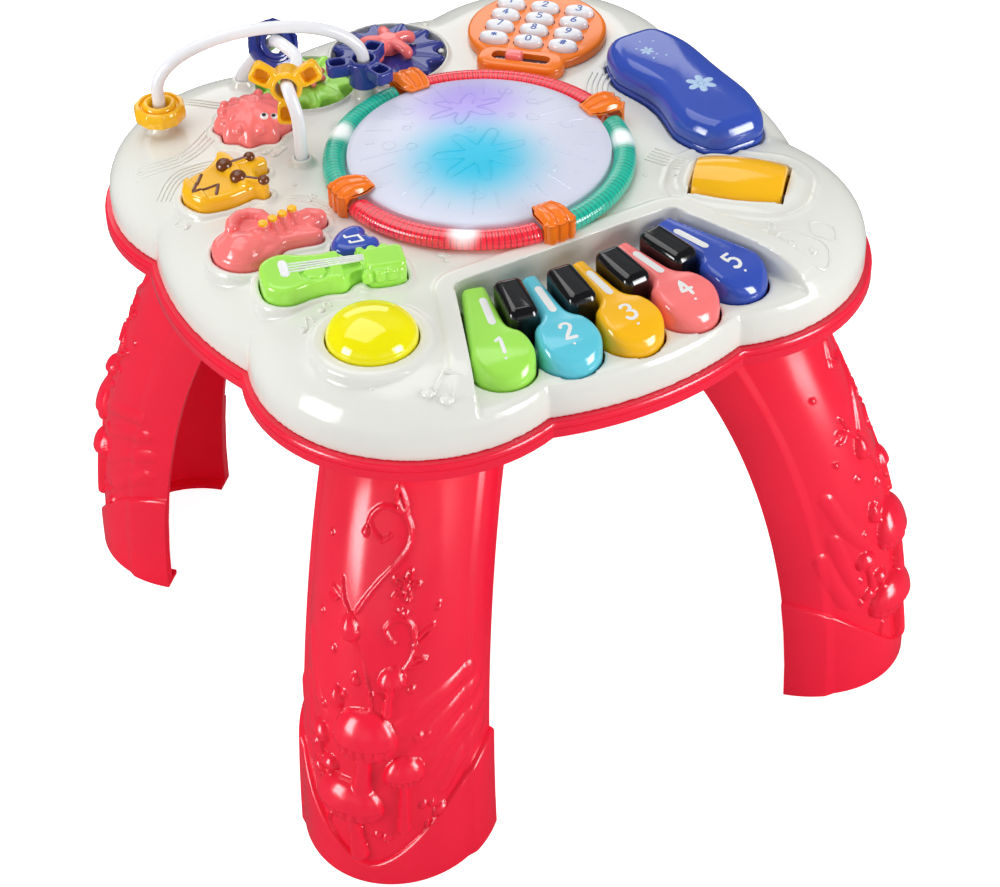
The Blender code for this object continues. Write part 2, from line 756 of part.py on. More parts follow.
def black_keys():
    """The moulding behind the colour keys: hinge rail, web, four black keys and two end pads."""
    centre = (0, FAN_CENTRE)
    barrel = KEY_BARREL_RADIUS + GAP
    low = CARRIER_BOTTOM
    web = low + CARRIER_WEB
    black_front = BLACK_BACK_RADIUS + BLACK_POST_START + BLACK_POST_LENGTH
    profile = [(KEY_HINGE_RADIUS - RAIL_HALF, low), (black_front, low), (black_front, CARRIER_BAR_TOP),
               (BLACK_BACK_RADIUS + BLACK_POST_START, CARRIER_BAR_TOP),
               (BLACK_BACK_RADIUS + BLACK_POST_START, web), (KEY_HINGE_RADIUS + RAIL_HALF, web),
               (KEY_HINGE_RADIUS + RAIL_HALF, KEY_HINGE_HEIGHT - RAIL_FRONT_DROP)]
    lip = asin(RAIL_FRONT_DROP / barrel)
    for step in range(5):
        turn = lip + (pi - lip) * step / 4
        profile.append((KEY_HINGE_RADIUS + barrel * cos(turn), KEY_HINGE_HEIGHT - barrel * sin(turn)))
    profile.append((KEY_HINGE_RADIUS - RAIL_HALF, KEY_HINGE_HEIGHT))
    start, end = -90 - CARRIER_HALF_ANGLE, -90 + CARRIER_HALF_ANGLE
    carrier = place_mesh("black_keys", swept_arc("black_keys", profile, start, end, 10, centre), BLACK)
    underside = WELL_FLOOR_HEIGHT - SHELL_WALL - GAP
    for number, angle in enumerate(black_key_centres()):
        at = (*fan_point(BLACK_BACK_RADIUS, angle), 0)
        outline = black_outline()
        top = BLACK_TOP
        rings = [flat_ring(outline, BLACK_BOTTOM), flat_ring(outline, top - BLACK_CORNER),
                 flat_ring(offset_outline(outline, -BLACK_CORNER / 4), top - BLACK_CORNER / 3),
                 flat_ring(offset_outline(outline, -BLACK_CORNER / 2), top)]
        body = place_mesh(f"black_body_{number}", loft(f"black_body_{number}", rings), None, at, angle)
        back = -BLACK_POST_START - SLIDE_GAP
        post = [(-BLACK_POST_HALF, back - BLACK_POST_LENGTH + 2 * SLIDE_GAP),
                (BLACK_POST_HALF, back - BLACK_POST_LENGTH + 2 * SLIDE_GAP),
                (BLACK_POST_HALF, back), (-BLACK_POST_HALF, back)]
        stem = place_mesh(f"black_post_{number}", prism(f"black_post_{number}", post, web,
                                                        BLACK_BOTTOM + BLACK_CORNER), None, at, angle)
        fuse(carrier, body)
        fuse(carrier, stem)
    for side in (-1, 1):
        middle = side * (CARRIER_HALF_ANGLE - CARRIER_PAD_ANGLE / 2 - CARRIER_PAD_ANGLE / 8)
        angles = (middle - CARRIER_PAD_ANGLE / 2, middle + CARRIER_PAD_ANGLE / 2)
        inner = BLACK_BACK_RADIUS + BLACK_POST_START + SLIDE_GAP
        outer = black_front - SLIDE_GAP
        outline = [fan_point(inner, angles[0]), fan_point(outer, angles[0]),
                   fan_point(outer, angles[1]), fan_point(inner, angles[1])]
        name = "carrier_pad_left" if side < 0 else "carrier_pad_right"
        fuse(carrier, place_mesh(name, prism(name, outline, web, underside)))
    return carrier


def button_seat(name, outline, collar):
    """A soft raised rim for the shell round a button's outline, and the hole inside it."""
    top = SURFACE_HEIGHT + COLLAR_HEIGHT
    outer = envelope(outline, collar, RIM_STEPS)
    inner = envelope(outline, collar * 0.6, RIM_STEPS)
    rings = [flat_ring(outer, SURFACE_HEIGHT - COLLAR_SINK), flat_ring(outer, SURFACE_HEIGHT + GAP),
             flat_ring(inner, top)]
    rim = place_mesh(name + "_rim", loft(name + "_rim", rings))
    hole = place_mesh(name + "_hole", prism(name + "_hole", offset_outline(outline, BUTTON_GAP),
                                            SURFACE_HEIGHT - COLLAR_SINK - OVERRUN, top + OVERRUN))
    return rim, hole


def scaled_rings(outline, levels):
    """Rings of one outline about its own origin, each level a share of its size and a height."""
    return [[(x * share, y * share, z) for x, y in outline] for share, z in levels]


def button_flange(button, outline, at, turn):
    """A retaining flange under the shell, wider than the button's hole."""
    under = SURFACE_HEIGHT - COLLAR_SINK - GAP
    foot = under - BUTTON_FLANGE_THICKNESS
    name = button.name + "_flange"
    plate = offset_outline(outline, BUTTON_FLANGE)
    fuse(button, place_mesh(name, prism(name, plate, foot, under), None, at, turn))


def flanged_button(name, outline, place, turn, rise, colour, crown_steps=4, flat_share=0.0):
    """A press button: straight sides, a crowned face and a flange below."""
    foot = SURFACE_HEIGHT - COLLAR_SINK - BUTTON_FLANGE_THICKNESS
    skirt = SURFACE_HEIGHT + COLLAR_HEIGHT + BUTTON_TRAVEL / 2
    rings = [flat_ring(outline, foot), flat_ring(outline, skirt)]
    crown = SURFACE_HEIGHT + rise - skirt
    for step in range(1, crown_steps + 1):
        turn_angle = pi / 2 * step / (crown_steps + 0.5)
        share = flat_share + (1 - flat_share) * cos(turn_angle)
        rings += scaled_rings(outline, [(share, skirt + crown * sin(turn_angle))])
    button = place_mesh(name, loft(name, rings), colour, (*place, 0), turn)
    button_flange(button, outline, (*place, 0), turn)
    return button


HEART_OUTLINE_SHARES = (
    (0.00, -0.50), (0.24, -0.28), (0.44, -0.02), (0.50, 0.22), (0.40, 0.44), (0.20, 0.48), (0.00, 0.32),
    (-0.20, 0.48), (-0.40, 0.44), (-0.50, 0.22), (-0.44, -0.02), (-0.24, -0.28))

GUITAR_OUTLINE_SHARES = (
    (-0.50, 0.00), (-0.47, 0.34), (-0.34, 0.50), (-0.18, 0.40), (-0.06, 0.36), (0.05, 0.38), (0.12, 0.22),
    (0.20, 0.18), (0.24, 0.36), (0.36, 0.40), (0.48, 0.34), (0.50, 0.00), (0.48, -0.34), (0.36, -0.40),
    (0.24, -0.36), (0.20, -0.18), (0.12, -0.22), (0.05, -0.38), (-0.06, -0.36), (-0.18, -0.40),
    (-0.34, -0.50), (-0.47, -0.34))

TRUMPET_OUTLINE_SHARES = (
    (-0.49, -0.05), (-0.44, -0.29), (-0.29, -0.43), (-0.10, -0.38), (0.03, -0.29), (0.17, -0.33),
    (0.31, -0.39), (0.37, -0.31), (0.34, -0.19), (0.47, -0.14), (0.51, 0.00), (0.44, 0.10), (0.24, 0.10),
    (0.10, 0.14), (0.12, 0.33), (0.03, 0.48), (-0.08, 0.45), (-0.15, 0.29), (-0.27, 0.29), (-0.42, 0.19))

DRUM_OUTLINE_SHARES = (
    (-0.46, -0.30), (-0.28, -0.48), (0.00, -0.46), (0.22, -0.36), (0.34, -0.30), (0.46, -0.34),
    (0.52, -0.24), (0.42, -0.14), (0.38, 0.02), (0.42, 0.14), (0.54, 0.22), (0.50, 0.34), (0.36, 0.32),
    (0.24, 0.22), (0.10, 0.40), (-0.02, 0.50), (-0.10, 0.34), (-0.24, 0.16), (-0.40, 0.04), (-0.50, -0.12))


def figure_button(name, shares, length, width, place, turn, rise, colour):
    """A moulded figure: its plan outline with a flange below and a rounded upper edge."""
    outline = smooth_outline(shares, length, width, FIGURE_STEPS)
    foot = SURFACE_HEIGHT - COLLAR_SINK - BUTTON_FLANGE_THICKNESS
    top = SURFACE_HEIGHT + rise
    edge = BUTTON_EDGE
    rings = [flat_ring(outline, foot), flat_ring(outline, top - edge),
             flat_ring(offset_outline(outline, -edge * 0.8), top)]
    button = place_mesh(name, loft(name, rings), colour, (*place, 0), turn)
    button_flange(button, outline, (*place, 0), turn)
    return button, outline


def ball_mesh(name, radius, centre, flatten=1.0, steps=8):
    """A small ball, given flats at its poles."""
    profile = []
    rings = 4
    for step in range(rings + 1):
        turn = radians(-80 + 160 * step / rings)
        profile.append((radius * cos(turn), centre[2] + flatten * radius * sin(turn)))
    return turned(name, profile, steps, centre[:2])


def rod_mesh(name, start, end, radius, sides=6):
    """A straight round rod between two points."""
    return tube(name, [Vector(start), Vector(end)], radius, sides)


def tube(name, points, radius, sides):
    """A round tube along a chain of points, capped square at both ends."""
    points = [Vector(point) for point in points]
    tangents = []
    for index, point in enumerate(points):
        before = points[max(index - 1, 0)]
        after = points[min(index + 1, len(points) - 1)]
        tangents.append((after - before).normalized())
    start = Vector((1, 0, 0)) if abs(tangents[0].x) < 0.9 else Vector((0, 1, 0))
    side = (start - tangents[0] * start.dot(tangents[0])).normalized()
    rings = []
    for point, tangent in zip(points, tangents):
        side = (side - tangent * side.dot(tangent)).normalized()
        up = tangent.cross(side)
        rings.append([tuple(point + radius * (cos(2 * pi * s / sides) * side + sin(2 * pi * s / sides) * up))
                      for s in range(sides)])
    return loft(name, rings)


def guitar_button():
    """The guitar with a raised bridge, four strings and two notches at each side of its head."""
    guitar, outline = figure_button("guitar_button", GUITAR_OUTLINE_SHARES, GUITAR_LENGTH, GUITAR_WIDTH,
                                    GUITAR_PLACE, GUITAR_TURN, GUITAR_RISE, LIME)
    at = (*GUITAR_PLACE, 0)
    top = SURFACE_HEIGHT + GUITAR_RISE
    bridge_x = -0.30 * GUITAR_LENGTH
    bridge_half = 0.20 * GUITAR_WIDTH
    bridge = rounded_box_outline(GUITAR_STRING_RADIUS * 3, bridge_half, GUITAR_STRING_RADIUS, 2)
    bridge = moved_outline(bridge, (bridge_x, 0))
    fuse(guitar, place_mesh("guitar_bridge", prism("guitar_bridge", bridge, top - GUITAR_STRING_RADIUS * 2,
                                                   top + GUITAR_STRING_RADIUS * 2), None, at, GUITAR_TURN))
    for number in range(GUITAR_STRING_COUNT):
        across = bridge_half * 0.7 * (2 * number / (GUITAR_STRING_COUNT - 1) - 1)
        string = rod_mesh(f"guitar_string_{number}", (bridge_x, across, top + GUITAR_STRING_RADIUS / 2),
                          (0.27 * GUITAR_LENGTH, across * 0.6, top + GUITAR_STRING_RADIUS / 2),
                          GUITAR_STRING_RADIUS, 6)
        fuse(guitar, place_mesh(f"guitar_string_{number}", string, None, at, GUITAR_TURN))
    return guitar, outline


def trumpet_button():
    """The trumpet with a domed bell and a row of valves."""
    trumpet, outline = figure_button("trumpet_button", TRUMPET_OUTLINE_SHARES, TRUMPET_LENGTH, TRUMPET_WIDTH,
                                     TRUMPET_PLACE, TRUMPET_TURN, TRUMPET_RISE, PINK)
    at = (*TRUMPET_PLACE, 0)
    bell_height = SURFACE_HEIGHT + COLLAR_HEIGHT + BUTTON_TRAVEL + BUTTON_EDGE / 2
    bell_centre = (-0.27 * TRUMPET_LENGTH, -0.13 * TRUMPET_WIDTH, bell_height)
    bell = ball_mesh("trumpet_bell", 0.205 * TRUMPET_LENGTH, bell_centre, 0.68, 12)
    fuse(trumpet, place_mesh("trumpet_bell", bell, None, at, TRUMPET_TURN))
    for number in range(VALVE_COUNT):
        share = number / (VALVE_COUNT - 1)
        x = (-0.02 + 0.34 * share) * TRUMPET_LENGTH
        y = (0.02 - 0.03 * share) * TRUMPET_WIDTH
        profile = [(VALVE_RADIUS, SURFACE_HEIGHT), (VALVE_RADIUS,
                                                    SURFACE_HEIGHT + VALVE_RISE - VALVE_RADIUS / 4),
                   (VALVE_RADIUS * 0.75, SURFACE_HEIGHT + VALVE_RISE)]
        valve = turned(f"trumpet_valve_{number}", profile, 6, (x, y))
        fuse(trumpet, place_mesh(f"trumpet_valve_{number}", valve, None, at, TRUMPET_TURN))
    return trumpet, outline


def drum_button():
    """The drum with its zigzag band and two ball-ended sticks laid on its head."""
    drum, outline = figure_button("drum_button", DRUM_OUTLINE_SHARES, DRUM_LENGTH, DRUM_WIDTH,
                                  DRUM_PLACE, DRUM_TURN, DRUM_RISE, AMBER)
    at = (*DRUM_PLACE, 0)
    top = SURFACE_HEIGHT + DRUM_RISE
    sticks = (((0.02, 0.18), (0.44, 0.26)), ((0.06, -0.10), (0.43, -0.24)))
    for number, (inner_share, outer_share) in enumerate(sticks):
        ends = [(u * DRUM_LENGTH, v * DRUM_WIDTH, top) for u, v in (inner_share, outer_share)]
        rod = rod_mesh(f"drum_stick_{number}", ends[0], ends[1], STICK_RADIUS)
        fuse(drum, place_mesh(f"drum_stick_{number}", rod, None, at, DRUM_TURN))
        for end, point in enumerate(ends):
            ball = ball_mesh(f"drum_ball_{number}{end}", STICK_BALL_RADIUS * (1 if end == 0 else 0.7),
                             point, 0.8)
            fuse(drum, place_mesh(f"drum_ball_{number}{end}", ball, None, at, DRUM_TURN))
    return drum, outline


def turtle_outline():
    """A circle with shallow scallops."""
    outline = []
    steps = TURTLE_SCALLOPS * 2
    for step in range(steps):
        turn = 2 * pi * step / steps
        radius = TURTLE_RADIUS + TURTLE_SCALLOP_DEPTH * cos(TURTLE_SCALLOPS * turn)
        outline.append((radius * cos(turn), radius * sin(turn)))
    return outline


def turtle_button():
    """The domed animal button with a coiled disc on its back and two small eyes."""
    outline = turtle_outline()
    turtle = flanged_button("turtle_button", outline, TURTLE_PLACE, 0, TURTLE_RISE, PINK, 3)
    at = (*TURTLE_PLACE, 0)
    top = SURFACE_HEIGHT + TURTLE_RISE
    disc_centre = (-0.20 * TURTLE_RADIUS, 0.38 * TURTLE_RADIUS)
    disc = turned("turtle_disc", [(TURTLE_SHELL_DISC, top - TURTLE_SHELL_DISC),
                                  (TURTLE_SHELL_DISC, top - TURTLE_EYE_RADIUS / 2),
                                  (TURTLE_SHELL_DISC * 0.8, top)], 12, disc_centre)
    fuse(turtle, place_mesh("turtle_disc", disc, None, at))
    for number, share in enumerate((-1, 1)):
        place = (0.52 * TURTLE_RADIUS + 0.12 * share * TURTLE_RADIUS, (-0.10 + 0.14 * share) * TURTLE_RADIUS,
                 SURFACE_HEIGHT + TURTLE_RISE * 0.86)
        eye = ball_mesh(f"turtle_eye_{number}", TURTLE_EYE_RADIUS, place)
        fuse(turtle, place_mesh(f"turtle_eye_{number}", eye, None, at))
    return turtle, outline


def dome_button():
    """The large yellow press dome."""
    outline = circle(DOME_RADIUS, 22)
    dome = flanged_button("dome_button", outline, DOME_PLACE, 0, COLLAR_HEIGHT + DOME_HEIGHT, YELLOW,
                          DOME_STEPS)
    return dome, outline


def roller_radius(share):
    """The roller's radius along its length: an arc that bulges in the middle."""
    return ROLLER_RADIUS - (ROLLER_RADIUS - ROLLER_END_RADIUS) * share * share


def roller_pieces():
    """The barrel-shaped roller with its bore, and the axle that it turns on."""
    profile = [(ROLLER_BORE, -ROLLER_HALF_LENGTH)]
    for step in range(ROLLER_STEPS + 1):
        share = 2 * step / ROLLER_STEPS - 1
        profile.append((roller_radius(share), share * ROLLER_HALF_LENGTH))
    profile.append((ROLLER_BORE, ROLLER_HALF_LENGTH))
    lay = Matrix.Rotation(pi / 2, 4, "Y")
    at = (*ROLLER_PLACE, ROLLER_CENTRE_HEIGHT)
    roller_mesh = turned_ring("roller", profile, 20)
    roller_mesh.transform(lay)
    place_mesh("roller", roller_mesh, AMBER, at, ROLLER_TURN)
    reach = ROLLER_HALF_LENGTH + ROLLER_END_GAP + AXLE_EAR
    axle_mesh = turned("roller_axle", [(ROLLER_AXLE_RADIUS, -reach), (ROLLER_AXLE_RADIUS, reach)], 8)
    axle_mesh.transform(lay)
    place_mesh("roller_axle", axle_mesh, STEEL, at, ROLLER_TURN, METAL_ROUGHNESS, 1.0)


def roller_seat(shell):
    """The raised oval round the roller, its trough, and the two ears that hold the axle."""
    turn = ROLLER_TURN
    oval = rounded_box_outline(ROLLER_HALF_LENGTH + ROLLER_COLLAR, ROLLER_RADIUS + ROLLER_COLLAR * 0.6,
                               ROLLER_RADIUS, 4)
    oval = moved_outline(oval, ROLLER_PLACE, turn)
    top = SURFACE_HEIGHT + 2 * COLLAR_HEIGHT
    rings = [flat_ring(oval, SURFACE_HEIGHT - SHELL_WALL / 2),
             flat_ring(offset_outline(oval, -COLLAR_WIDTH / 2), top - COLLAR_HEIGHT / 2),
             flat_ring(offset_outline(oval, -COLLAR_WIDTH), top)]
    fuse(shell, place_mesh("roller_rim", loft("roller_rim", rings)))
    ear_reach = ROLLER_HALF_LENGTH + ROLLER_END_GAP
    at = (*ROLLER_PLACE, 0)
    for side in (-1, 1):
        near, far = side * ear_reach, side * (ear_reach + AXLE_EAR + LIP_WALL)
        low = ROLLER_CENTRE_HEIGHT - AXLE_EAR_HALF
        ear = [(near, -AXLE_EAR_HALF), (far, -AXLE_EAR_HALF), (far, AXLE_EAR_HALF), (near, AXLE_EAR_HALF)]
        name = "axle_ear_left" if side < 0 else "axle_ear_right"
        fuse(shell, place_mesh(name, prism(name, ear, low, SURFACE_HEIGHT - SHELL_WALL / 2), None, at, turn))
    reach = ROLLER_HALF_LENGTH + ROLLER_END_GAP
    half = ROLLER_RADIUS + SLIDE_GAP
    trough = []
    steps = 4
    for step in range(steps + 1):
        share = 2 * step / steps - 1
        trough.append((share * reach, -roller_radius(share) - SLIDE_GAP))
    for step in range(steps + 1):
        share = 1 - 2 * step / steps
        trough.append((share * reach, roller_radius(share) + SLIDE_GAP))
    low = ROLLER_CENTRE_HEIGHT - half
    cut(shell, place_mesh("roller_opening", prism("roller_opening", trough, low, top + OVERRUN), None, at,
                          turn))
    bore_radius = ROLLER_AXLE_RADIUS + GAP
    length = ear_reach + AXLE_EAR + GAP
    bore = turned("axle_bore", [(bore_radius, -length), (bore_radius, length)], 8)
    bore.transform(Matrix.Rotation(pi / 2, 4, "Y"))
    cut(shell, place_mesh("axle_bore", bore, None, (*ROLLER_PLACE, ROLLER_CENTRE_HEIGHT), turn))


def handset_outline(grow=0.0):
    """The handset in plan, long axis X: two lobes joined over a waist, hollower on its inner side."""
    outline = []
    for step in range(HANDSET_STEPS):
        turn = 2 * pi * step / HANDSET_STEPS
        waist = HANDSET_WAIST_OUT if sin(turn) < 0 else HANDSET_WAIST_IN
        along = HANDSET_SPREAD * cos(turn) + HANDSET_LOBE * cos(turn)
        centre_share = 1 - min(abs(along) / (HANDSET_SPREAD + HANDSET_LOBE), 1) ** 2
        bulge = min(1.0, abs(sin(turn)) ** 0.5)
        half = HANDSET_LOBE * bulge
        notch = (HANDSET_LOBE - waist) * max(cos(pi / 2 * min(abs(along) / HANDSET_SPREAD, 1)),
                                             0) * centre_share
        y = (half - notch * bulge) * (1 if sin(turn) >= 0 else -1)
        outline.append((along, y))
    return offset_outline(outline, grow) if grow else outline


def handset_pieces():
    """The handset's lower and upper mouldings, meeting at the seam."""
    outline = handset_outline()
    at = (*HANDSET_PLACE, 0)
    rings = [flat_ring(offset_outline(outline, -HANDSET_EDGE / 3), HANDSET_BOTTOM),
             flat_ring(outline, HANDSET_BOTTOM + HANDSET_EDGE / 3), flat_ring(outline, HANDSET_SEAM - GAP)]
    place_mesh("handset_lower", loft("handset_lower", rings), BLUE, at, HANDSET_TURN)
    rise = HANDSET_TOP - HANDSET_SEAM
    rings = [flat_ring(outline, HANDSET_SEAM)]
    for step in range(4):
        turn = pi / 2 * step / 3
        inset = HANDSET_EDGE * (1 - cos(turn))
        z = HANDSET_SEAM + rise * (0.25 + 0.75 * sin(turn))
        rings.append(flat_ring(offset_outline(outline, -inset), z))
    place_mesh("handset_upper", loft("handset_upper", rings), BLUE, at, HANDSET_TURN)


def handset_seat(shell):
    """The shallow cradle that the handset rests in."""
    outline = moved_outline(handset_outline(HANDSET_CRADLE_GAP + SHELL_WALL), HANDSET_PLACE, HANDSET_TURN)
    floor = HANDSET_BOTTOM - GAP
    tub = place_mesh("cradle_tub", prism("cradle_tub", outline, floor - SHELL_WALL,
                                         SURFACE_HEIGHT - SHELL_WALL / 2))
    fuse(shell, tub)
    outline = moved_outline(handset_outline(HANDSET_CRADLE_GAP), HANDSET_PLACE, HANDSET_TURN)
    cut(shell, place_mesh("cradle", prism("cradle", outline, floor, SURFACE_HEIGHT + OVERRUN)))


def number_places():
    """Where the number keys stand, in the number pad's own turned frame."""
    places = []
    for row in range(NUMBER_ROWS):
        for column in range(NUMBER_COLUMNS):
            x = NUMBER_COLUMN_PITCH * (column - (NUMBER_COLUMNS - 1) / 2)
            y = NUMBER_ROW_PITCH * (row - (NUMBER_ROWS - 1) / 2)
            places.append((x, y))
    return places


def oval_outline(half_length, half_width, steps=8):
    return [(half_length * cos(2 * pi * s / steps),
             half_width * sin(2 * pi * s / steps)) for s in range(steps)]


def tab_outline(grow=0.0):
    outline = rounded_box_outline(TAB_LENGTH / 2 + grow, TAB_WIDTH / 2 + grow, TAB_WIDTH * 0.45, 5)
    return [(x, y - TAB_REACH + TAB_WIDTH / 2) for x, y in outline]


def keypad_pieces():
    """The orange number pad with its switch tab, twelve number keys and the power slider."""
    at = (*KEYPAD_PLACE, 0)
    edge = KEY_EDGE
    disc = circle(KEYPAD_RADIUS, 28)
    rings = [flat_ring(disc, KEYPAD_BASE), flat_ring(disc, KEYPAD_TOP - edge / 2),
             flat_ring(offset_outline(disc, -edge / 2), KEYPAD_TOP)]
    cover = place_mesh("keypad_cover", loft("keypad_cover", rings), ORANGE, at, KEYPAD_TURN)
    tab = tab_outline()
    rings = [flat_ring(tab, KEYPAD_BASE), flat_ring(tab, TAB_TOP - edge),
             flat_ring(offset_outline(tab, -edge), TAB_TOP)]
    fuse(cover, place_mesh("switch_tab", loft("switch_tab", rings), None, at, KEYPAD_TURN))
    slot_y = -TAB_REACH + TAB_WIDTH / 2
    slot = moved_outline(rounded_box_outline(SLOT_LENGTH / 2, SLOT_WIDTH / 2, SLOT_WIDTH * 0.45, 3), (0,
                                                                                                      slot_y))
    floor = TAB_TOP - SLOT_DEPTH
    cut(cover, place_mesh("switch_slot", prism("switch_slot", slot, floor, TAB_TOP + OVERRUN), None, at,
                          KEYPAD_TURN))
    cavity = circle(KEYPAD_RADIUS - SHELL_WALL, 16)
    cut(cover, place_mesh("keypad_cavity", prism("keypad_cavity", cavity, KEYPAD_BASE - OVERRUN,
                                                 KEYPAD_TOP - SHELL_WALL), None, at, KEYPAD_TURN))
    oval = oval_outline(NUMBER_HALF_LENGTH, NUMBER_HALF_WIDTH)
    under = KEYPAD_TOP - SHELL_WALL - GAP
    foot = KEYPAD_BASE + GAP
    for number, (x, y) in enumerate(number_places()):
        hole = moved_outline(offset_outline(oval, BUTTON_GAP), (x, y))
        name = f"number_hole_{number}"
        cut(cover, place_mesh(name, prism(name, hole, KEYPAD_BASE, KEYPAD_TOP + OVERRUN), None, at,
                              KEYPAD_TURN))
        flange = offset_outline(oval, NUMBER_FLANGE)
        rings = [flat_ring(flange, under - SHELL_WALL / 2), flat_ring(oval, under),
                 flat_ring(oval, KEYPAD_TOP + NUMBER_TRAVEL)]
        rings += scaled_rings(oval, [(0.8, NUMBER_TOP)])
        place = moved_outline([(x, y)], KEYPAD_PLACE, KEYPAD_TURN)[0]
        place_mesh(f"number_key_{number + 1:02d}", loft("number_key", rings), WHITE, (*place, 0), KEYPAD_TURN)
    half = SLOT_WIDTH / 2 - SLIDE_GAP
    outline = rounded_box_outline(SLIDER_LENGTH / 2, half, half / 3, 2)
    top = TAB_TOP + SLIDER_RISE
    rings = [flat_ring(outline, floor + GAP), flat_ring(outline, top - half / 3),
             flat_ring(offset_outline(outline, -half / 4), top)]
    place = moved_outline([(-SLIDER_TRAVEL / 2, slot_y)], KEYPAD_PLACE, KEYPAD_TURN)[0]
    place_mesh("power_slider", loft("power_slider", rings), PINK, (*place, 0), KEYPAD_TURN)


def gear_sizes():
    """Centres and pitch radii of the lime and the blue gear, from their tooth counts."""
    teeth = LIME_TEETH + BLUE_TEETH
    pitch_sum = GEAR_SPREAD - GEAR_RUNNING_GAP
    lime_radius = pitch_sum * LIME_TEETH / teeth
    blue_radius = pitch_sum * BLUE_TEETH / teeth
    c, s = cos(radians(GEAR_TURN)), sin(radians(GEAR_TURN))
    half = GEAR_SPREAD / 2
    lime = (GEAR_MIDDLE[0] - half * c, GEAR_MIDDLE[1] - half * s)
    blue = (GEAR_MIDDLE[0] + half * c, GEAR_MIDDLE[1] + half * s)
    return lime, lime_radius, blue, blue_radius


def gear_outline(teeth, pitch_radius, height, phase):
    """Rounded teeth as a wave round the pitch circle; phase 1 starts on a tooth, -1 on a space."""
    steps = teeth * GEAR_TOOTH_STEPS
    outline = []
    for step in range(steps):
        turn = 2 * pi * step / steps
        radius = pitch_radius + phase * height * cos(teeth * turn)
        outline.append((radius * cos(turn), radius * sin(turn)))
    return outline


def gear(name, teeth, pitch_radius, place, turn, phase, colour):
    """A flat gear with rounded teeth, a softened upper edge and a bore for its post."""
    outline = gear_outline(teeth, pitch_radius, TOOTH_HEIGHT, phase)
    soft = gear_outline(teeth, pitch_radius - GEAR_EDGE, TOOTH_HEIGHT * 0.9, phase)
    rings = [flat_ring(outline, GEAR_BASE), flat_ring(outline, GEAR_TOP - GEAR_EDGE), flat_ring(soft,
                                                                                                GEAR_TOP)]
    at = (*place, 0)
    wheel = place_mesh(name, loft(name, rings), colour, at, turn)
    bore = turned(name + "_bore", [(GEAR_BORE, GEAR_BASE - OVERRUN), (GEAR_BORE, GEAR_TOP + OVERRUN)], 12)
    cut(wheel, place_mesh(name + "_bore", bore, None, at, turn))
    return wheel


def star_outline(points, outer, inner, steps):
    """A wavy star with rounded arms."""
    outline = []
    total = points * steps
    for step in range(total):
        turn = 2 * pi * step / total
        share = (0.5 + 0.5 * cos(points * turn)) ** 0.8
        radius = inner + (outer - inner) * share
        outline.append((radius * cos(turn), radius * sin(turn)))
    return outline


def gear_pieces():
    """Two meshing gears with their caps: a spiky crown and a five-armed flower knob."""
    lime, lime_radius, blue, blue_radius = gear_sizes()
    gear("lime_gear", LIME_TEETH, lime_radius, lime, GEAR_TURN, 1, LIME)
    gear("blue_gear", BLUE_TEETH, blue_radius, blue, GEAR_TURN + 180, -1, BLUE)
    low = GEAR_TOP + GAP
    high = low + GEAR_CAP_HEIGHT
    crown = star_outline(CROWN_POINTS, CROWN_RADIUS, CROWN_RADIUS * 0.6, 2)
    rings = [flat_ring(crown, low), flat_ring(crown, low + GEAR_CAP_HEIGHT * 0.25)]
    rings += scaled_rings(crown, [(0.72, low + GEAR_CAP_HEIGHT * 0.75), (0.45, high)])
    place_mesh("crown_cap", loft("crown_cap", rings), PINK, (*lime, 0), GEAR_TURN)
    flower = star_outline(FLOWER_ARMS, FLOWER_RADIUS, FLOWER_RADIUS * 0.42, 4)
    rings = [flat_ring(flower, low), flat_ring(flower, low + GEAR_CAP_HEIGHT * 0.45)]
    rings += scaled_rings(flower, [(0.90, low + GEAR_CAP_HEIGHT * 0.85), (0.60, high)])
    place_mesh("flower_cap", loft("flower_cap", rings), PINK, (*blue, 0), GEAR_TURN)


def gear_pair_outline(grow, steps=28):
    """The outline of the two gears' tip circles together, moved outwards."""
    lime, lime_radius, blue, blue_radius = gear_sizes()
    outline = []
    for step in range(steps):
        turn = 2 * pi * step / steps
        c, s = cos(turn), sin(turn)
        best = 0.0
        for place, radius in ((lime, lime_radius), (blue, blue_radius)):
            reach = radius + TOOTH_HEIGHT + grow
            x, y = place[0] - GEAR_MIDDLE[0], place[1] - GEAR_MIDDLE[1]
            off = x * s - y * c
            if abs(off) < reach:
                best = max(best, x * c + y * s + sqrt(reach ** 2 - off ** 2))
        outline.append((GEAR_MIDDLE[0] + best * c, GEAR_MIDDLE[1] + best * s))
    return outline


def gear_seat(shell):
    """The sunken bed of the two gears, its raised rim and the posts that they turn on."""
    lime, lime_radius, blue, blue_radius = gear_sizes()
    top = SURFACE_HEIGHT + COLLAR_HEIGHT
    floor = GEAR_BASE - GAP
    outer = gear_pair_outline(GEAR_RECESS_GAP + GEAR_RIM)
    rings = [flat_ring(outer, floor - SHELL_WALL), flat_ring(outer, SURFACE_HEIGHT + GAP),
             flat_ring(gear_pair_outline(GEAR_RECESS_GAP + GEAR_RIM / 2), top)]
    fuse(shell, place_mesh("gear_rim", loft("gear_rim", rings)))
    recess = gear_pair_outline(GEAR_RECESS_GAP)
    cut(shell, place_mesh("gear_recess", prism("gear_recess", recess, floor, top + OVERRUN)))
    for name, place in (("lime", lime), ("blue", blue)):
        post = turned(name + "_gear_post", [(GEAR_POST_RADIUS, floor - SHELL_WALL / 2),
                                            (GEAR_POST_RADIUS, GEAR_POST_TOP)], 10, place)
        fuse(shell, place_mesh(name + "_gear_post", post))


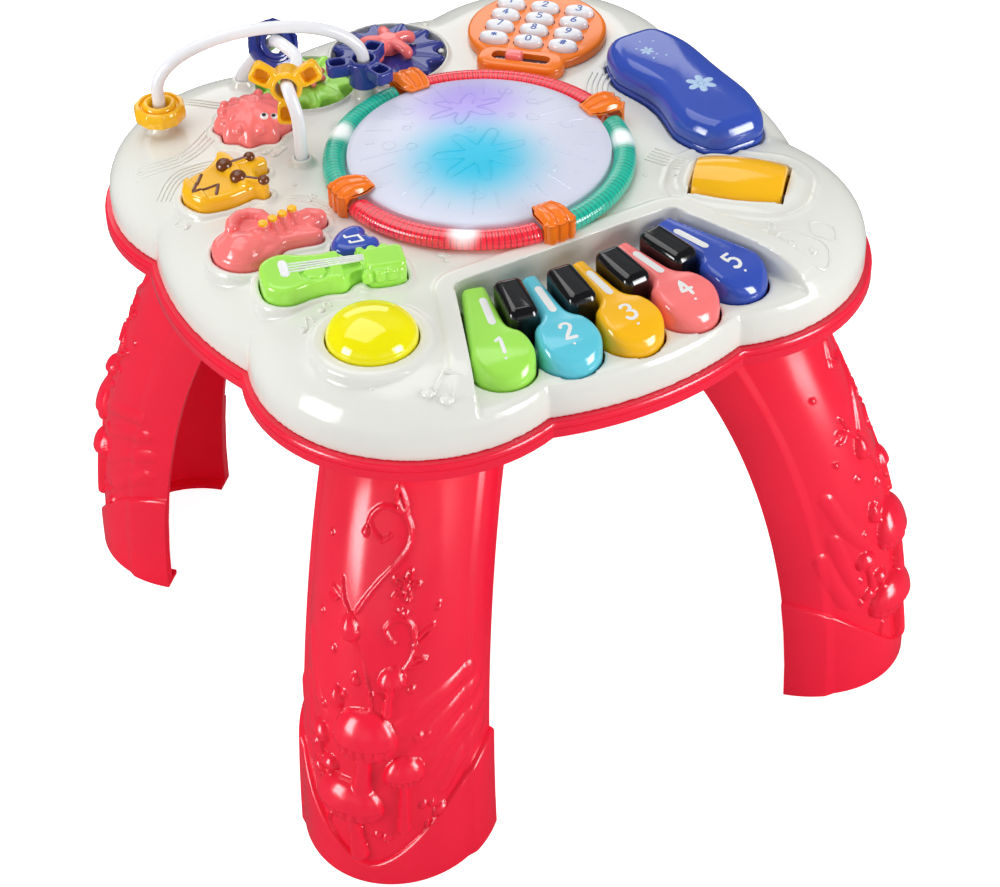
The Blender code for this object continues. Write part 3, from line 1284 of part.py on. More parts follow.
def arch_points(start, end, upright, top, low, steps=WIRE_ARCH_STEPS):
    """A wire's route: up from one foot, over a half ellipse and down to the other foot."""
    middle = ((start[0] + end[0]) / 2, (start[1] + end[1]) / 2)
    points = [Vector((*start, low))]
    for step in range(steps + 1):
        turn = pi * step / steps
        x = middle[0] - (end[0] - start[0]) / 2 * cos(turn)
        y = middle[1] - (end[1] - start[1]) / 2 * cos(turn)
        points.append(Vector((x, y, upright + (top - upright) * sin(turn))))
    points.append(Vector((*end, low)))
    return points


def wave_points():
    """The short wire's route: a smooth curve through its listed points, straight at both feet."""
    stops = [Vector((x, y, SURFACE_HEIGHT + rise)) for x, y, rise in SHORT_WIRE_WAVE]
    points = [Vector((*SHORT_WIRE_START, WIRE_END))]
    for index in range(len(stops) - 1):
        a = stops[max(index - 1, 0)]
        b, c = stops[index], stops[index + 1]
        d = stops[min(index + 2, len(stops) - 1)]
        for step in range(WIRE_WAVE_STEPS):
            t = step / WIRE_WAVE_STEPS
            points.append(0.5 * (2 * b + (c - a) * t + (2 * a - 5 * b + 4 * c - d) * t * t
                                 + (3 * b - a - 3 * c + d) * t * t * t))
    points.append(stops[-1])
    points.append(Vector((*SHORT_WIRE_END, WIRE_END)))
    return points


def wire_pieces():
    """The two white bead wires."""
    arch = arch_points(LONG_WIRE_START, LONG_WIRE_END, LONG_WIRE_UPRIGHT, LONG_WIRE_TOP, WIRE_END)
    place_mesh("long_wire", tube("long_wire", arch, WIRE_RADIUS, WIRE_SIDES), WHITE)
    place_mesh("short_wire", tube("short_wire", wave_points(), WIRE_RADIUS, WIRE_SIDES), WHITE)


def wire_seats(shell):
    """A small collar and blind socket in the shell for each wire foot."""
    for number, place in enumerate((LONG_WIRE_START, LONG_WIRE_END, SHORT_WIRE_START, SHORT_WIRE_END)):
        top = WIRE_COLLAR_TOP + PROPELLER_STAND if place == LONG_WIRE_END else WIRE_COLLAR_TOP
        profile = [(WIRE_COLLAR_RADIUS, WIRE_END - SHELL_WALL), (WIRE_COLLAR_RADIUS, SURFACE_HEIGHT),
                   (WIRE_COLLAR_RADIUS * 0.85, top)]
        fuse(shell, place_mesh(f"wire_collar_{number}", turned(f"wire_collar_{number}", profile, 8, place)))
        hole = WIRE_RADIUS + WIRE_HOLE_GAP
        socket = turned(f"wire_socket_{number}", [(hole, WIRE_END - GAP), (hole, top + OVERRUN)], 8, place)
        cut(shell, place_mesh(f"wire_socket_{number}", socket))


def ring_bead_mesh(name):
    """A ring bead about +Z: nubbed rim, a groove and an inner hub with its bore."""
    steps = RING_BEAD_NUBS * 2
    half = RING_BEAD_HALF
    rings = []
    for step in range(steps):
        turn = 2 * pi * step / steps
        nub = RING_BEAD_NUB * max(cos(RING_BEAD_NUBS * turn), 0)
        outer = RING_BEAD_RADIUS
        profile = [(BEAD_BORE, -half), (outer * 0.62, -half), (outer * 0.72, -half * 0.6),
                   (outer + nub * 0.4, -half * 0.5), (outer + nub * 0.4, half * 0.5),
                   (outer * 0.72, half * 0.6), (outer * 0.62, half), (BEAD_BORE, half)]
        rings.append([(r * cos(turn), r * sin(turn), z) for r, z in profile])
    return loft(name, rings, closed=True)


def propeller_bead(name, colour, at, rotation=(0, 0, 0)):
    """A bead of one hub and three scoop-shaped blades, centred on its hub."""
    half = HUB_LENGTH / 2
    groove = (BEAD_BORE + HUB_RADIUS) / 2
    depth = HUB_LENGTH * 0.12
    profile = [(BEAD_BORE, -half), (HUB_RADIUS, -half), (HUB_RADIUS, half), (groove + depth / 2, half),
               (groove, half - depth), (BEAD_BORE + depth / 2, half - depth / 3), (BEAD_BORE,
                                                                                   half - depth / 3)]
    bead = place_mesh(name, turned_ring(name, profile, 10), colour, at)
    bead.rotation_euler = rotation
    top = half - BLADE_FLOOR / 4
    low = top - BLADE_DEPTH
    start = HUB_RADIUS - BLADE_WALL
    middle = (start + BLADE_REACH) / 2
    for blade in range(PROPELLER_BLADES):
        turn = 360 * blade / PROPELLER_BLADES
        outline = rounded_box_outline((BLADE_REACH - start) / 2, BLADE_HALF, BLADE_CORNER, 1)
        outline = moved_outline([(x + middle, y) for x, y in outline], (0, 0), turn)
        solid = place_mesh(f"{name}_blade_{blade}", prism(f"{name}_blade_{blade}", outline, low, top),
                           None, at)
        solid.rotation_euler = rotation
        fuse(bead, solid)
        inner_start = HUB_RADIUS + BLADE_WALL / 2
        inner_middle = (inner_start + BLADE_REACH - BLADE_WALL) / 2
        inner = rounded_box_outline((BLADE_REACH - BLADE_WALL - inner_start) / 2, BLADE_HALF - BLADE_WALL,
                                    BLADE_CORNER / 2, 1)
        inner = moved_outline([(x + inner_middle, y) for x, y in inner], (0, 0), turn)
        scoop = place_mesh(f"{name}_scoop_{blade}", prism(f"{name}_scoop_{blade}", inner, low + BLADE_FLOOR,
                                                          top + OVERRUN), None, at)
        scoop.rotation_euler = rotation
        cut(bead, scoop)
    return bead


def wave_station(number):
    """A listed point of the short wire and the direction of the wire there."""
    x, y, rise = SHORT_WIRE_WAVE[number]
    along = Vector(SHORT_WIRE_WAVE[number + 1]) - Vector(SHORT_WIRE_WAVE[number - 1])
    return Vector((x, y, SURFACE_HEIGHT + rise)), along.normalized()


def bead_pieces():
    """Four beads: two on the upright feet of the long wire, two on the bend of the short one."""
    at = (*LONG_WIRE_START, WIRE_COLLAR_TOP + GAP + RING_BEAD_HALF)
    place_mesh("yellow_ring_bead", ring_bead_mesh("yellow_ring_bead"), AMBER, at)
    at = (*LONG_WIRE_END, WIRE_COLLAR_TOP + PROPELLER_STAND + GAP + HUB_LENGTH / 2)
    propeller_bead("blue_propeller_bead", BLUE, at, (0, 0, radians(PROPELLER_TURN)))
    point, along = wave_station(SHORT_PROPELLER_POINT)
    facing = (-along).to_track_quat("Z", "Y") @ Quaternion((0, 0, 1), radians(SHORT_PROPELLER_TURN))
    propeller_bead("yellow_propeller_bead", AMBER, point, facing.to_euler())
    point, along = wave_station(SHORT_RING_POINT)
    upright = Vector((0, 0, 1)) - along * along.z
    point -= upright.normalized() * BEAD_HANG
    bead = place_mesh("blue_ring_bead", ring_bead_mesh("blue_ring_bead"), BLUE, point)
    bead.rotation_euler = along.to_track_quat("Z", "Y").to_euler()


def drum_pad():
    """The milky drum pad: a thin dome with a retaining flange and a central stem."""
    under = SURFACE_HEIGHT - SHELL_WALL - GAP
    foot = under - PAD_FLANGE_THICKNESS
    inner_radius = PAD_RADIUS - PAD_WALL

    def crown(radius, edge, height):
        points = []
        for step in range(PAD_CROWN_STEPS + 1):
            share = 1 - step / (PAD_CROWN_STEPS + 0.4)
            points.append((radius * share, edge + height * (1 - share * share)))
        return points

    inner = crown(inner_radius, PAD_EDGE_TOP - PAD_WALL, PAD_CROWN)[::-1]
    outer = crown(PAD_RADIUS, PAD_EDGE_TOP, PAD_CROWN)
    profile = inner + [(inner_radius, foot), (PAD_RADIUS + PAD_FLANGE, foot), (PAD_RADIUS + PAD_FLANGE,
                                                                               under),
                       (PAD_RADIUS, under)] + outer
    pad = place_mesh("drum_pad", turned("drum_pad", profile, BIG_ROUND_STEPS), MILKY)
    stem = turned("drum_stem", [(PAD_STEM_RADIUS, BOARD_TOP + PAD_TRAVEL + GAP),
                                (PAD_STEM_RADIUS, PAD_EDGE_TOP + PAD_CROWN - PAD_WALL / 2)], 8)
    fuse(pad, place_mesh("drum_stem", stem))
    return pad


def tube_profile():
    """The light tube's section: flat below, round above."""
    middle = (TUBE_INNER + TUBE_OUTER) / 2
    half = (TUBE_OUTER - TUBE_INNER) / 2
    base = SURFACE_HEIGHT + CLIP_RING_THICKNESS + 2 * GAP
    side = base + (TUBE_TOP - base) * 0.35
    profile = [(TUBE_INNER, base), (TUBE_OUTER, base)]
    for step in range(TUBE_SECTION_STEPS + 1):
        turn = pi * step / TUBE_SECTION_STEPS
        profile.append((middle + half * cos(turn), side + (TUBE_TOP - side) * sin(turn)))
    return profile


def ring_pieces():
    """Four translucent tubes round the drum, and the orange ring whose claws hold them."""
    clear_angle = degrees(asin((CLIP_HALF + GAP) / TUBE_INNER))
    colours = (("tube_back_right", CORAL_RED), ("tube_back_left", TEAL), ("tube_front_left", CORAL_RED),
               ("tube_front_right", TEAL))
    for quarter, (name, colour) in enumerate(colours):
        start = 90 * quarter + clear_angle
        end = 90 * (quarter + 1) - clear_angle
        place_mesh(name, swept_arc(name, tube_profile(), start, end, TUBE_STEPS), colour)
    base = SURFACE_HEIGHT + GAP
    flat = base + CLIP_RING_THICKNESS
    profile = [(TUBE_INNER + GAP, base), (TUBE_OUTER - GAP, base), (TUBE_OUTER - GAP, flat),
               (TUBE_INNER + GAP, flat)]
    ring = place_mesh("drum_clip_ring", turned_ring("drum_clip_ring", profile, BIG_ROUND_STEPS), ORANGE)
    claw = claw_profile()
    for quarter in range(4):
        rings = [[(r, y, z) for r, z in claw] for y in (-CLIP_HALF, CLIP_HALF)]
        name = f"drum_claw_{quarter}"
        fuse(ring, place_mesh(name, loft(name, rings), None, (0, 0, 0), 90 * quarter))
    return ring


def claw_profile():
    """A claw's side view: up outside the tube, over it and down on to the pad's edge."""
    base = SURFACE_HEIGHT + GAP
    shoulder = (CLIP_OUTER - TUBE_OUTER) + CLIP_WALL
    tip_low = PAD_EDGE_TOP + PAD_CROWN * (1 - (CLIP_INNER / PAD_RADIUS) ** 2) + GAP
    over_low = TUBE_TOP + GAP
    profile = [(TUBE_OUTER - 2 * GAP, base), (CLIP_OUTER, base)]
    for step in range(4):
        turn = pi / 2 * step / 3
        profile.append((CLIP_OUTER - shoulder * (1 - cos(turn)), CLIP_TOP - shoulder * (1 - sin(turn))))
    profile += [(CLIP_INNER + CLIP_WALL, CLIP_TOP + GAP), (CLIP_INNER, tip_low + CLIP_WALL * 0.55),
                (CLIP_INNER, tip_low), (PAD_RADIUS, tip_low), (TUBE_INNER, max(over_low, tip_low)),
                (TUBE_OUTER - shoulder / 3, max(over_low, tip_low)), (TUBE_OUTER - 2 * GAP,
                                                                      over_low - shoulder / 3)]
    return profile


def leg_top():
    """The height where the legs meet the underside of the tray."""
    return JOINT_HEIGHT - BAND_HEIGHT - TRAY_DEPTH - GAP


def leg_section(z, angle, grow, top):
    """A point of the leg's wall: z up the leg, angle round its section, grow outwards from the wall."""
    share = z / top
    drop = ARCH_RUN * (1 - sqrt(1 - (z / ARCH_RISE) ** 2))
    back = FOOT_BACK - drop
    apex = FOOT_APEX - drop * (1 - SHOULDER_SHARE * share ** SHOULDER_POWER_SHARE)
    half = FOOT_HALF + (LEG_TOP_HALF - FOOT_HALF) * share
    turn = radians(angle)
    return (back + (apex + grow - back) * cos(turn), (half + grow) * sin(turn), z)


def leg_mesh(name):
    """The C-shaped leg wall with raised side borders, an S-curved cuff and a foot sole."""
    top = leg_top()
    edge = LEG_BORDER_ANGLE + LEG_BORDER_EDGE_ANGLE
    middle = LEG_BORDER_ANGLE / 2
    angles = (-90, -edge, -LEG_BORDER_ANGLE, -middle, 0, middle, LEG_BORDER_ANGLE, edge, 90)

    def cuff_top(angle):
        return CUFF_LOW + (CUFF_HIGH - CUFF_LOW) * abs(sin(radians(angle))) ** 1.6

    def border(angle):
        share = (abs(angle) - LEG_BORDER_ANGLE) / LEG_BORDER_EDGE_ANGLE
        return LEG_BORDER * min(max(share, 0), 1)

    def ring(height_of, cuff, inner):
        outer = [leg_section(height_of(a), a, border(a) + cuff, top) for a in angles]
        inside = [leg_section(height_of(a), a, -inner, top) for a in reversed(angles)]
        return outer + inside

    rings = [ring(lambda a: 0.0, CUFF_THICKNESS, SOLE_WIDTH),
             ring(lambda a: SOLE_THICKNESS, CUFF_THICKNESS, SOLE_WIDTH),
             ring(lambda a: SOLE_THICKNESS + GAP, CUFF_THICKNESS, LEG_WALL),
             ring(lambda a: cuff_top(a) - CUFF_EDGE, CUFF_THICKNESS, LEG_WALL),
             ring(cuff_top, 0.0, LEG_WALL)]
    for level in range(1, LEG_LEVELS + 1):
        share = level / LEG_LEVELS
        rings.append(ring(lambda a, s=share: cuff_top(a) + (top - cuff_top(a)) * s, 0.0, LEG_WALL))
    return loft(name, rings)


def legs():
    """Four equal legs, each with a lid and two snap hooks that hold it in the tray."""
    top = leg_top()
    names = ("leg_back_right", "leg_back_left", "leg_front_left", "leg_front_right")
    floor_top = top + GAP + TRAY_WALL
    for corner, name in enumerate(names):
        turn = 45 + 90 * corner
        leg = place_mesh(name, leg_mesh(name), CORAL_RED, (0, 0, 0), turn)
        lid_low = top - LEG_LID
        lid_angles = [-90 + 180 * step / 8 for step in range(9)]
        rings = []
        for z in (lid_low, top - LEG_LID_INSET / 4):
            rings.append([leg_section(z, a, -LEG_LID_INSET, top) for a in lid_angles])
        fuse(leg, place_mesh(name + "_lid", loft(name + "_lid", rings), None, (0, 0, 0), turn))
        for side in (-1, 1):
            tab = [(SNAP_DEPTH, lid_low + LEG_LID / 2), (SNAP_DEPTH, floor_top + GAP),
                   (SNAP_DEPTH + SNAP_HOOK, floor_top + GAP), (SNAP_DEPTH / 2, floor_top + SNAP_HOOK_LENGTH),
                   (0, floor_top + SNAP_HOOK_LENGTH), (0, lid_low + LEG_LID / 2)]
            middle = side * SNAP_SPREAD
            ends = (middle - SNAP_HALF, middle + SNAP_HALF)
            rings = [[(SNAP_PLACE + depth, across, z) for depth, z in tab] for across in ends]
            hook = f"{name}_snap_{side + 1}"
            fuse(leg, place_mesh(hook, loft(hook, rings), None, (0, 0, 0), turn))


def box_heights():
    """Heights in the tray: its underside, its floor, the cells' axis and the box's roof."""
    under = JOINT_HEIGHT - BAND_HEIGHT - TRAY_DEPTH
    door_top = under + DOOR_THICKNESS
    axis = door_top + GAP + CELL_RADIUS
    roof = axis + CELL_RADIUS + GAP
    return under, door_top, axis, roof


def centred_box(length, width, place, shift=0.0):
    x, y = place
    return [(x - length / 2 + shift, y - width / 2), (x + length / 2 + shift, y - width / 2),
            (x + length / 2 + shift, y + width / 2), (x - length / 2 + shift, y + width / 2)]


def bottom_tray():
    """The red tray: band, pan, locating lip, battery box, speaker seat and leg sockets."""
    band_low = JOINT_HEIGHT - BAND_HEIGHT
    under, door_top, axis, roof = box_heights()
    floor = under + TRAY_WALL
    seat = JOINT_HEIGHT - GAP
    lip = SHELL_WALL + GAP
    levels = [(PAN_INSET + TRAY_WALL, floor), (PAN_INSET + TRAY_WALL - PAN_DRAFT, band_low + TRAY_WALL),
              (lip + LIP_WALL, band_low + TRAY_WALL), (lip + LIP_WALL, seat + LIP_HEIGHT), (lip,
                                                                                            seat + LIP_HEIGHT),
              (lip, seat), (BAND_EDGE - BAND_REACH, seat), (-BAND_REACH, seat - BAND_EDGE),
              (-BAND_REACH, band_low), (PAN_INSET - PAN_DRAFT, band_low), (PAN_INSET, under)]
    rings = [flat_ring(lobed_outline(inset), z) for inset, z in levels]
    tray = place_mesh("bottom_tray", loft("bottom_tray", rings), CORAL_RED)
    length = BOX_ROOM + DOOR_TAB + 2 * BOX_WALL
    width = BOX_WIDTH + 2 * BOX_WALL
    block = centred_box(length, width, BOX_PLACE, DOOR_TAB / 2)
    fuse(tray, place_mesh("battery_box", prism("battery_box", block, floor - TRAY_WALL / 2, roof + BOX_ROOF)))
    room = centred_box(BOX_ROOM, BOX_WIDTH, BOX_PLACE)
    cut(tray, place_mesh("battery_room", prism("battery_room", room, under - OVERRUN, roof)))
    door = centred_box(BOX_ROOM + DOOR_TAB + 2 * DOOR_LEDGE + 2 * GAP, BOX_WIDTH + 2 * DOOR_LEDGE + 2 * GAP,
                       BOX_PLACE, DOOR_TAB / 2)
    cut(tray, place_mesh("door_opening", prism("door_opening", door, under - OVERRUN, door_top + GAP)))
    screw = door_screw_place()
    hole = DOOR_SCREW_RADIUS + GAP
    pilot = turned("screw_pilot", [(hole, under - OVERRUN), (hole, under + DOOR_SCREW_LENGTH + GAP)], 10,
                   screw)
    cut(tray, place_mesh("screw_pilot", pilot))
    seat_outer = SPEAKER_RADIUS + GAP + SPEAKER_SEAT_WALL
    wall = turned_ring("speaker_seat", [(SPEAKER_RADIUS + GAP, floor - TRAY_WALL / 2), (seat_outer,
                                                                                        floor - TRAY_WALL / 2),
                                        (seat_outer, floor + SPEAKER_SEAT_HEIGHT),
                                        (SPEAKER_RADIUS + GAP,
                                         floor + SPEAKER_SEAT_HEIGHT)], 16, SPEAKER_PLACE)
    fuse(tray, place_mesh("speaker_seat", wall))
    for hole_number in range(GRILLE_HOLES):
        turn = 2 * pi * hole_number / GRILLE_HOLES
        place = (SPEAKER_PLACE[0] + GRILLE_CIRCLE * cos(turn), SPEAKER_PLACE[1] + GRILLE_CIRCLE * sin(turn))
        name = f"grille_hole_{hole_number}"
        cut(tray, place_mesh(name, prism(name, circle(GRILLE_HOLE_RADIUS, 6, place), under - OVERRUN,
                                         floor + OVERRUN)))
    for corner in range(4):
        for side in (-1, 1):
            turn = 45 + 90 * corner
            middle = side * SNAP_SPREAD
            slot = [(SNAP_PLACE - GAP, middle - SNAP_HALF - GAP), (SNAP_PLACE + SNAP_DEPTH + GAP,
                                                                   middle - SNAP_HALF - GAP),
                    (SNAP_PLACE + SNAP_DEPTH + GAP, middle + SNAP_HALF + GAP), (SNAP_PLACE - GAP,
                                                                                middle + SNAP_HALF + GAP)]
            name = f"snap_slot_{corner}_{side + 1}"
            cut(tray, place_mesh(name, prism(name, slot, under - OVERRUN, floor + OVERRUN), None, (0, 0,
                                                                                                   0), turn))
    return tray


def door_screw_place():
    return (BOX_PLACE[0] + BOX_ROOM / 2 + DOOR_TAB / 2 + DOOR_LEDGE / 2, BOX_PLACE[1])


def battery_pieces():
    """The battery door with its captive screw, and the three cells above it."""
    under, door_top, axis, roof = box_heights()
    outline = centred_box(BOX_ROOM + DOOR_TAB + 2 * DOOR_LEDGE, BOX_WIDTH + 2 * DOOR_LEDGE, BOX_PLACE,
                          DOOR_TAB / 2)
    door = place_mesh("battery_door", prism("battery_door", outline, under, door_top), CORAL_RED)
    screw_place = door_screw_place()
    head = DOOR_SCREW_HEAD_RADIUS + GAP
    hole = DOOR_SCREW_RADIUS + GAP
    seat = under + DOOR_SCREW_HEAD
    recess = turned("door_screw_recess", [(head, under - OVERRUN), (head, seat)], 10, screw_place)
    cut(door, place_mesh("door_screw_recess", recess))
    through = turned("door_screw_hole", [(hole, under - OVERRUN), (hole, door_top + OVERRUN)], 10,
                     screw_place)
    cut(door, place_mesh("door_screw_hole", through))
    profile = [(DOOR_SCREW_HEAD_RADIUS, under + GAP / 3), (DOOR_SCREW_HEAD_RADIUS, seat - GAP),
               (DOOR_SCREW_RADIUS, seat - GAP), (DOOR_SCREW_RADIUS, under + DOOR_SCREW_LENGTH)]
    place_mesh("battery_door_screw", turned("battery_door_screw", profile, 10, screw_place), STEEL,
               roughness=METAL_ROUGHNESS, metallic=1.0)
    for cell in range(CELL_COUNT):
        y = CELL_SPACING * (cell - (CELL_COUNT - 1) / 2)
        flip = 1 if cell % 2 == 0 else -1
        half = (CELL_LENGTH + CELL_NIB) / 2
        profile = [(CELL_RADIUS, -half), (CELL_RADIUS, half - CELL_NIB), (CELL_NIB_RADIUS, half - CELL_NIB),
                   (CELL_NIB_RADIUS, half)]
        mesh = turned(f"battery_{cell + 1}", profile, 10)
        mesh.transform(Matrix.Rotation(flip * pi / 2, 4, "Y"))
        place_mesh(f"battery_{cell + 1}", mesh, COPPER_TOP, (BOX_PLACE[0], BOX_PLACE[1] + y, axis),
                   roughness=METAL_ROUGHNESS, metallic=0.6)


def board_boss_places():
    inset = 2 * BOARD_BOSS_RADIUS
    x = BOARD_HALF_LENGTH - inset
    y = BOARD_HALF_WIDTH - inset
    return [(x, y), (-x, y), (-x, -y), (x, -y)]


def electronics():
    """The circuit board under the drum pad and the speaker in its seat."""
    low = BOARD_TOP - BOARD_THICKNESS
    outline = rounded_box_outline(BOARD_HALF_LENGTH, BOARD_HALF_WIDTH, BOARD_BOSS_RADIUS, 2)
    board = place_mesh("main_board", prism("main_board", outline, low, BOARD_TOP), GREEN_BOARD)
    for number in range(4):
        turn = pi / 4 + number * pi / 2
        reach = BOARD_HALF_WIDTH / 2
        place = (reach * cos(turn), reach * sin(turn))
        chip = moved_outline(rounded_box_outline(BOARD_CHIP / 2, BOARD_CHIP / 2, BOARD_CHIP / 8, 1), place)
        name = f"board_light_{number}"
        fuse(board, place_mesh(name, prism(name, chip, low + BOARD_THICKNESS / 2,
                                           BOARD_TOP + BOARD_CHIP_RISE)))
    floor = JOINT_HEIGHT - BAND_HEIGHT - TRAY_DEPTH + TRAY_WALL + GAP
    profile = [(SPEAKER_RADIUS, floor), (SPEAKER_RADIUS, floor + SPEAKER_RIM),
               (SPEAKER_MAGNET_RADIUS, floor + SPEAKER_HEIGHT * 0.55), (SPEAKER_MAGNET_RADIUS,
                                                                        floor + SPEAKER_HEIGHT)]
    place_mesh("speaker", turned("speaker", profile, 16, SPEAKER_PLACE), STEEL, roughness=METAL_ROUGHNESS,
               metallic=0.8)


def board_bosses(tray):
    """Four bosses on the tray's floor that carry the board."""
    floor = JOINT_HEIGHT - BAND_HEIGHT - TRAY_DEPTH + TRAY_WALL
    top = BOARD_TOP - BOARD_THICKNESS - GAP
    for number, place in enumerate(board_boss_places()):
        profile = [(BOARD_BOSS_RADIUS, floor - TRAY_WALL / 2), (BOARD_BOSS_RADIUS, top)]
        fuse(tray, place_mesh(f"board_boss_{number}", turned(f"board_boss_{number}", profile, 8, place)))


def top_shell():
    """The ivory shell: lobed cover with the keyboard well, rims, sockets and every opening."""
    outer = loft("top_shell", table_levels(0.0, JOINT_HEIGHT, SURFACE_HEIGHT, EDGE_ROUND_RUN))
    shell = place_mesh("top_shell", outer, IVORY)
    hollow_levels = table_levels(SHELL_WALL, JOINT_HEIGHT - OVERRUN, SURFACE_HEIGHT - SHELL_WALL,
                                 EDGE_ROUND_RUN)
    hollow = place_mesh("shell_hollow", loft("shell_hollow", hollow_levels))
    tub_low = WELL_FLOOR_HEIGHT - SHELL_WALL
    tub = place_mesh("well_tub", prism("well_tub", well_outline(SHELL_WALL), tub_low,
                                       SURFACE_HEIGHT + OVERRUN))
    cut(hollow, tub)
    cut(shell, hollow)
    low_table = place_mesh("well_floor", loft("well_floor", table_levels(0.0, JOINT_HEIGHT, WELL_FLOOR_HEIGHT,
                                                                         WELL_EDGE_RUN)))
    well_rings = [flat_ring(well_outline(-WELL_DRAFT), WELL_FLOOR_HEIGHT - OVERRUN),
                  flat_ring(well_outline(OVERRUN / 8), SURFACE_HEIGHT + OVERRUN)]
    well = place_mesh("well_space", loft("well_space", well_rings))
    cut(well, low_table)
    cut(shell, well)
    return shell


def key_openings(shell):
    """Openings in the well's floor: one for each key's outline and one under the black keys."""
    low = WELL_FLOOR_HEIGHT - SHELL_WALL - OVERRUN
    high = WELL_FLOOR_HEIGHT + OVERRUN
    reach = degrees(asin((KEY_END_NECK_HALF + KEY_CLEARANCE) / KEY_BACK_RADIUS))
    half = KEY_PITCH_ANGLE * (KEY_COUNT - 1) / 2
    sector = fan_sector(KEY_BACK_RADIUS - KEY_CLEARANCE, BLACK_BACK_RADIUS + BLACK_LENGTH + KEY_CLEARANCE,
                        half + reach, half + reach)
    cut(shell, place_mesh("key_slot", prism("key_slot", sector, low, high)))
    for index in range(KEY_COUNT):
        angle = KEY_PITCH_ANGLE * (index - (KEY_COUNT - 1) / 2)
        end_side = -1 if index == 0 else (1 if index == KEY_COUNT - 1 else 0)
        outline = offset_outline(key_outline(end_side), KEY_CLEARANCE)
        place = fan_point(KEY_BACK_RADIUS, angle)
        name = f"key_opening_{index}"
        cut(shell, place_mesh(name, prism(name, outline, low, high), None, (*place, 0), angle))


def main():
    clear_scene()
    shell = top_shell()
    buttons = []
    heart = smooth_outline(HEART_OUTLINE_SHARES, HEART_SIZE, HEART_SIZE, 2)
    flanged_button("mode_button", heart, HEART_PLACE, HEART_TURN, HEART_RISE, BLUE, 3, 0.35)
    buttons.append(("mode_button", moved_outline(heart, HEART_PLACE, HEART_TURN), COLLAR_WIDTH / 2))
    for maker, place, turn in ((guitar_button, GUITAR_PLACE, GUITAR_TURN),
                               (trumpet_button, TRUMPET_PLACE, TRUMPET_TURN),
                               (drum_button, DRUM_PLACE, DRUM_TURN),
                               (turtle_button, TURTLE_PLACE, 0),
                               (dome_button, DOME_PLACE, 0)):
        piece, outline = maker()
        collar = DOME_COLLAR if maker is dome_button else COLLAR_WIDTH
        buttons.append((piece.name, moved_outline(outline, place, turn), collar))
    seats = [button_seat(name, outline, collar) for name, outline, collar in buttons]
    for rim, hole in seats:
        fuse(shell, rim)
    roller_seat(shell)
    handset_seat(shell)
    gear_seat(shell)
    wire_seats(shell)
    for rim, hole in seats:
        cut(shell, hole)
    pad_hole = turned("pad_hole", [(PAD_RADIUS + BUTTON_GAP, SURFACE_HEIGHT - SHELL_WALL - OVERRUN),
                                   (PAD_RADIUS + BUTTON_GAP, SURFACE_HEIGHT + OVERRUN)], BIG_ROUND_STEPS)
    cut(shell, place_mesh("pad_hole", pad_hole))
    key_openings(shell)
    board_bosses(bottom_tray())
    legs()
    battery_pieces()
    electronics()
    drum_pad()
    ring_pieces()
    for index, (name, colour) in enumerate((("key_lime", LIME), ("key_cyan", CYAN), ("key_amber", AMBER),
                                            ("key_coral", PINK), ("key_blue", BLUE))):
        colour_key(name, index, colour)
    black_keys()
    roller_pieces()
    handset_pieces()
    keypad_pieces()
    gear_pieces()
    wire_pieces()
    bead_pieces()


main()
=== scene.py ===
from math import acos, asin, cos, degrees, hypot, pi, radians, sin, sqrt

import bmesh
import bpy
import numpy as np
from mathutils import Matrix, Quaternion, Vector
from mathutils.bvhtree import BVHTree


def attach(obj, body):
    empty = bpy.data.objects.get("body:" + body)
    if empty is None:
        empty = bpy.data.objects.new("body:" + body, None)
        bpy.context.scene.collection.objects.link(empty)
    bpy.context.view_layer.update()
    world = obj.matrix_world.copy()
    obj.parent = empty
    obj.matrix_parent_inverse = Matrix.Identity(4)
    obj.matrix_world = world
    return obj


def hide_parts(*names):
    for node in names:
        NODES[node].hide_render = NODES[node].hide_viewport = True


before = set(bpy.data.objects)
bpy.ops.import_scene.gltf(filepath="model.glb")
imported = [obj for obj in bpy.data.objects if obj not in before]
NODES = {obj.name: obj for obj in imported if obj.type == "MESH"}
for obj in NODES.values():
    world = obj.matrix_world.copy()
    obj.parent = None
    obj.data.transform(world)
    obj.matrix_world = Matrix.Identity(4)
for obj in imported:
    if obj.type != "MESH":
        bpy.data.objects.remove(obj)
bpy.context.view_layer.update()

MM = 0.001

# Sizes repeated from part.py, in metres
SIDE_RADIUS, LOBE_RADIUS, LOBE_OFFSET, NOTCH_SOFTENING = 0.158, 0.0774, 0.077287, 0.012
SURFACE, JOINT, WALL, UPRIGHT, EDGE_RUN = 0.270, 0.2375, 0.0022, 0.009, 0.033
BAND_HEIGHT, BAND_REACH, BAND_EDGE, TRAY_DEPTH, PAN_INSET = 0.009, 0.0035, 0.0011, 0.014, 0.024
LEG_WALL, FOOT_BACK, FOOT_APEX, FOOT_HALF, LEG_TOP_HALF = 0.0026, 0.1690, 0.2200, 0.0450, 0.0410
ARCH_RUN, ARCH_RISE, LEG_TOP = 0.130, 0.240, 0.2142
CUFF_THICKNESS, CUFF_LOW, CUFF_HIGH, SOLE_WIDTH = 0.0024, 0.013, 0.062, 0.009
WELL_BACK, WELL_BACK_HALF, WELL_FRONT, WELL_FRONT_HALF = 0.0795, 0.0605, 0.150, 0.0865
WELL_CORNER, WELL_FLOOR, WELL_EDGE_RUN = 0.006, 0.2555, 0.007
FAN_CENTRE, KEY_PITCH, KEY_BACK, KEY_FRONT, KEY_NOSE = 0.089, 7.85, 0.1805, 0.2265, 0.0146
KEY_BOTTOM, KEY_TOP, KEY_DROP, KEY_CLEARANCE, KEY_END_HALF = 0.2480, 0.2680, 0.0045, 0.0007, 0.0078
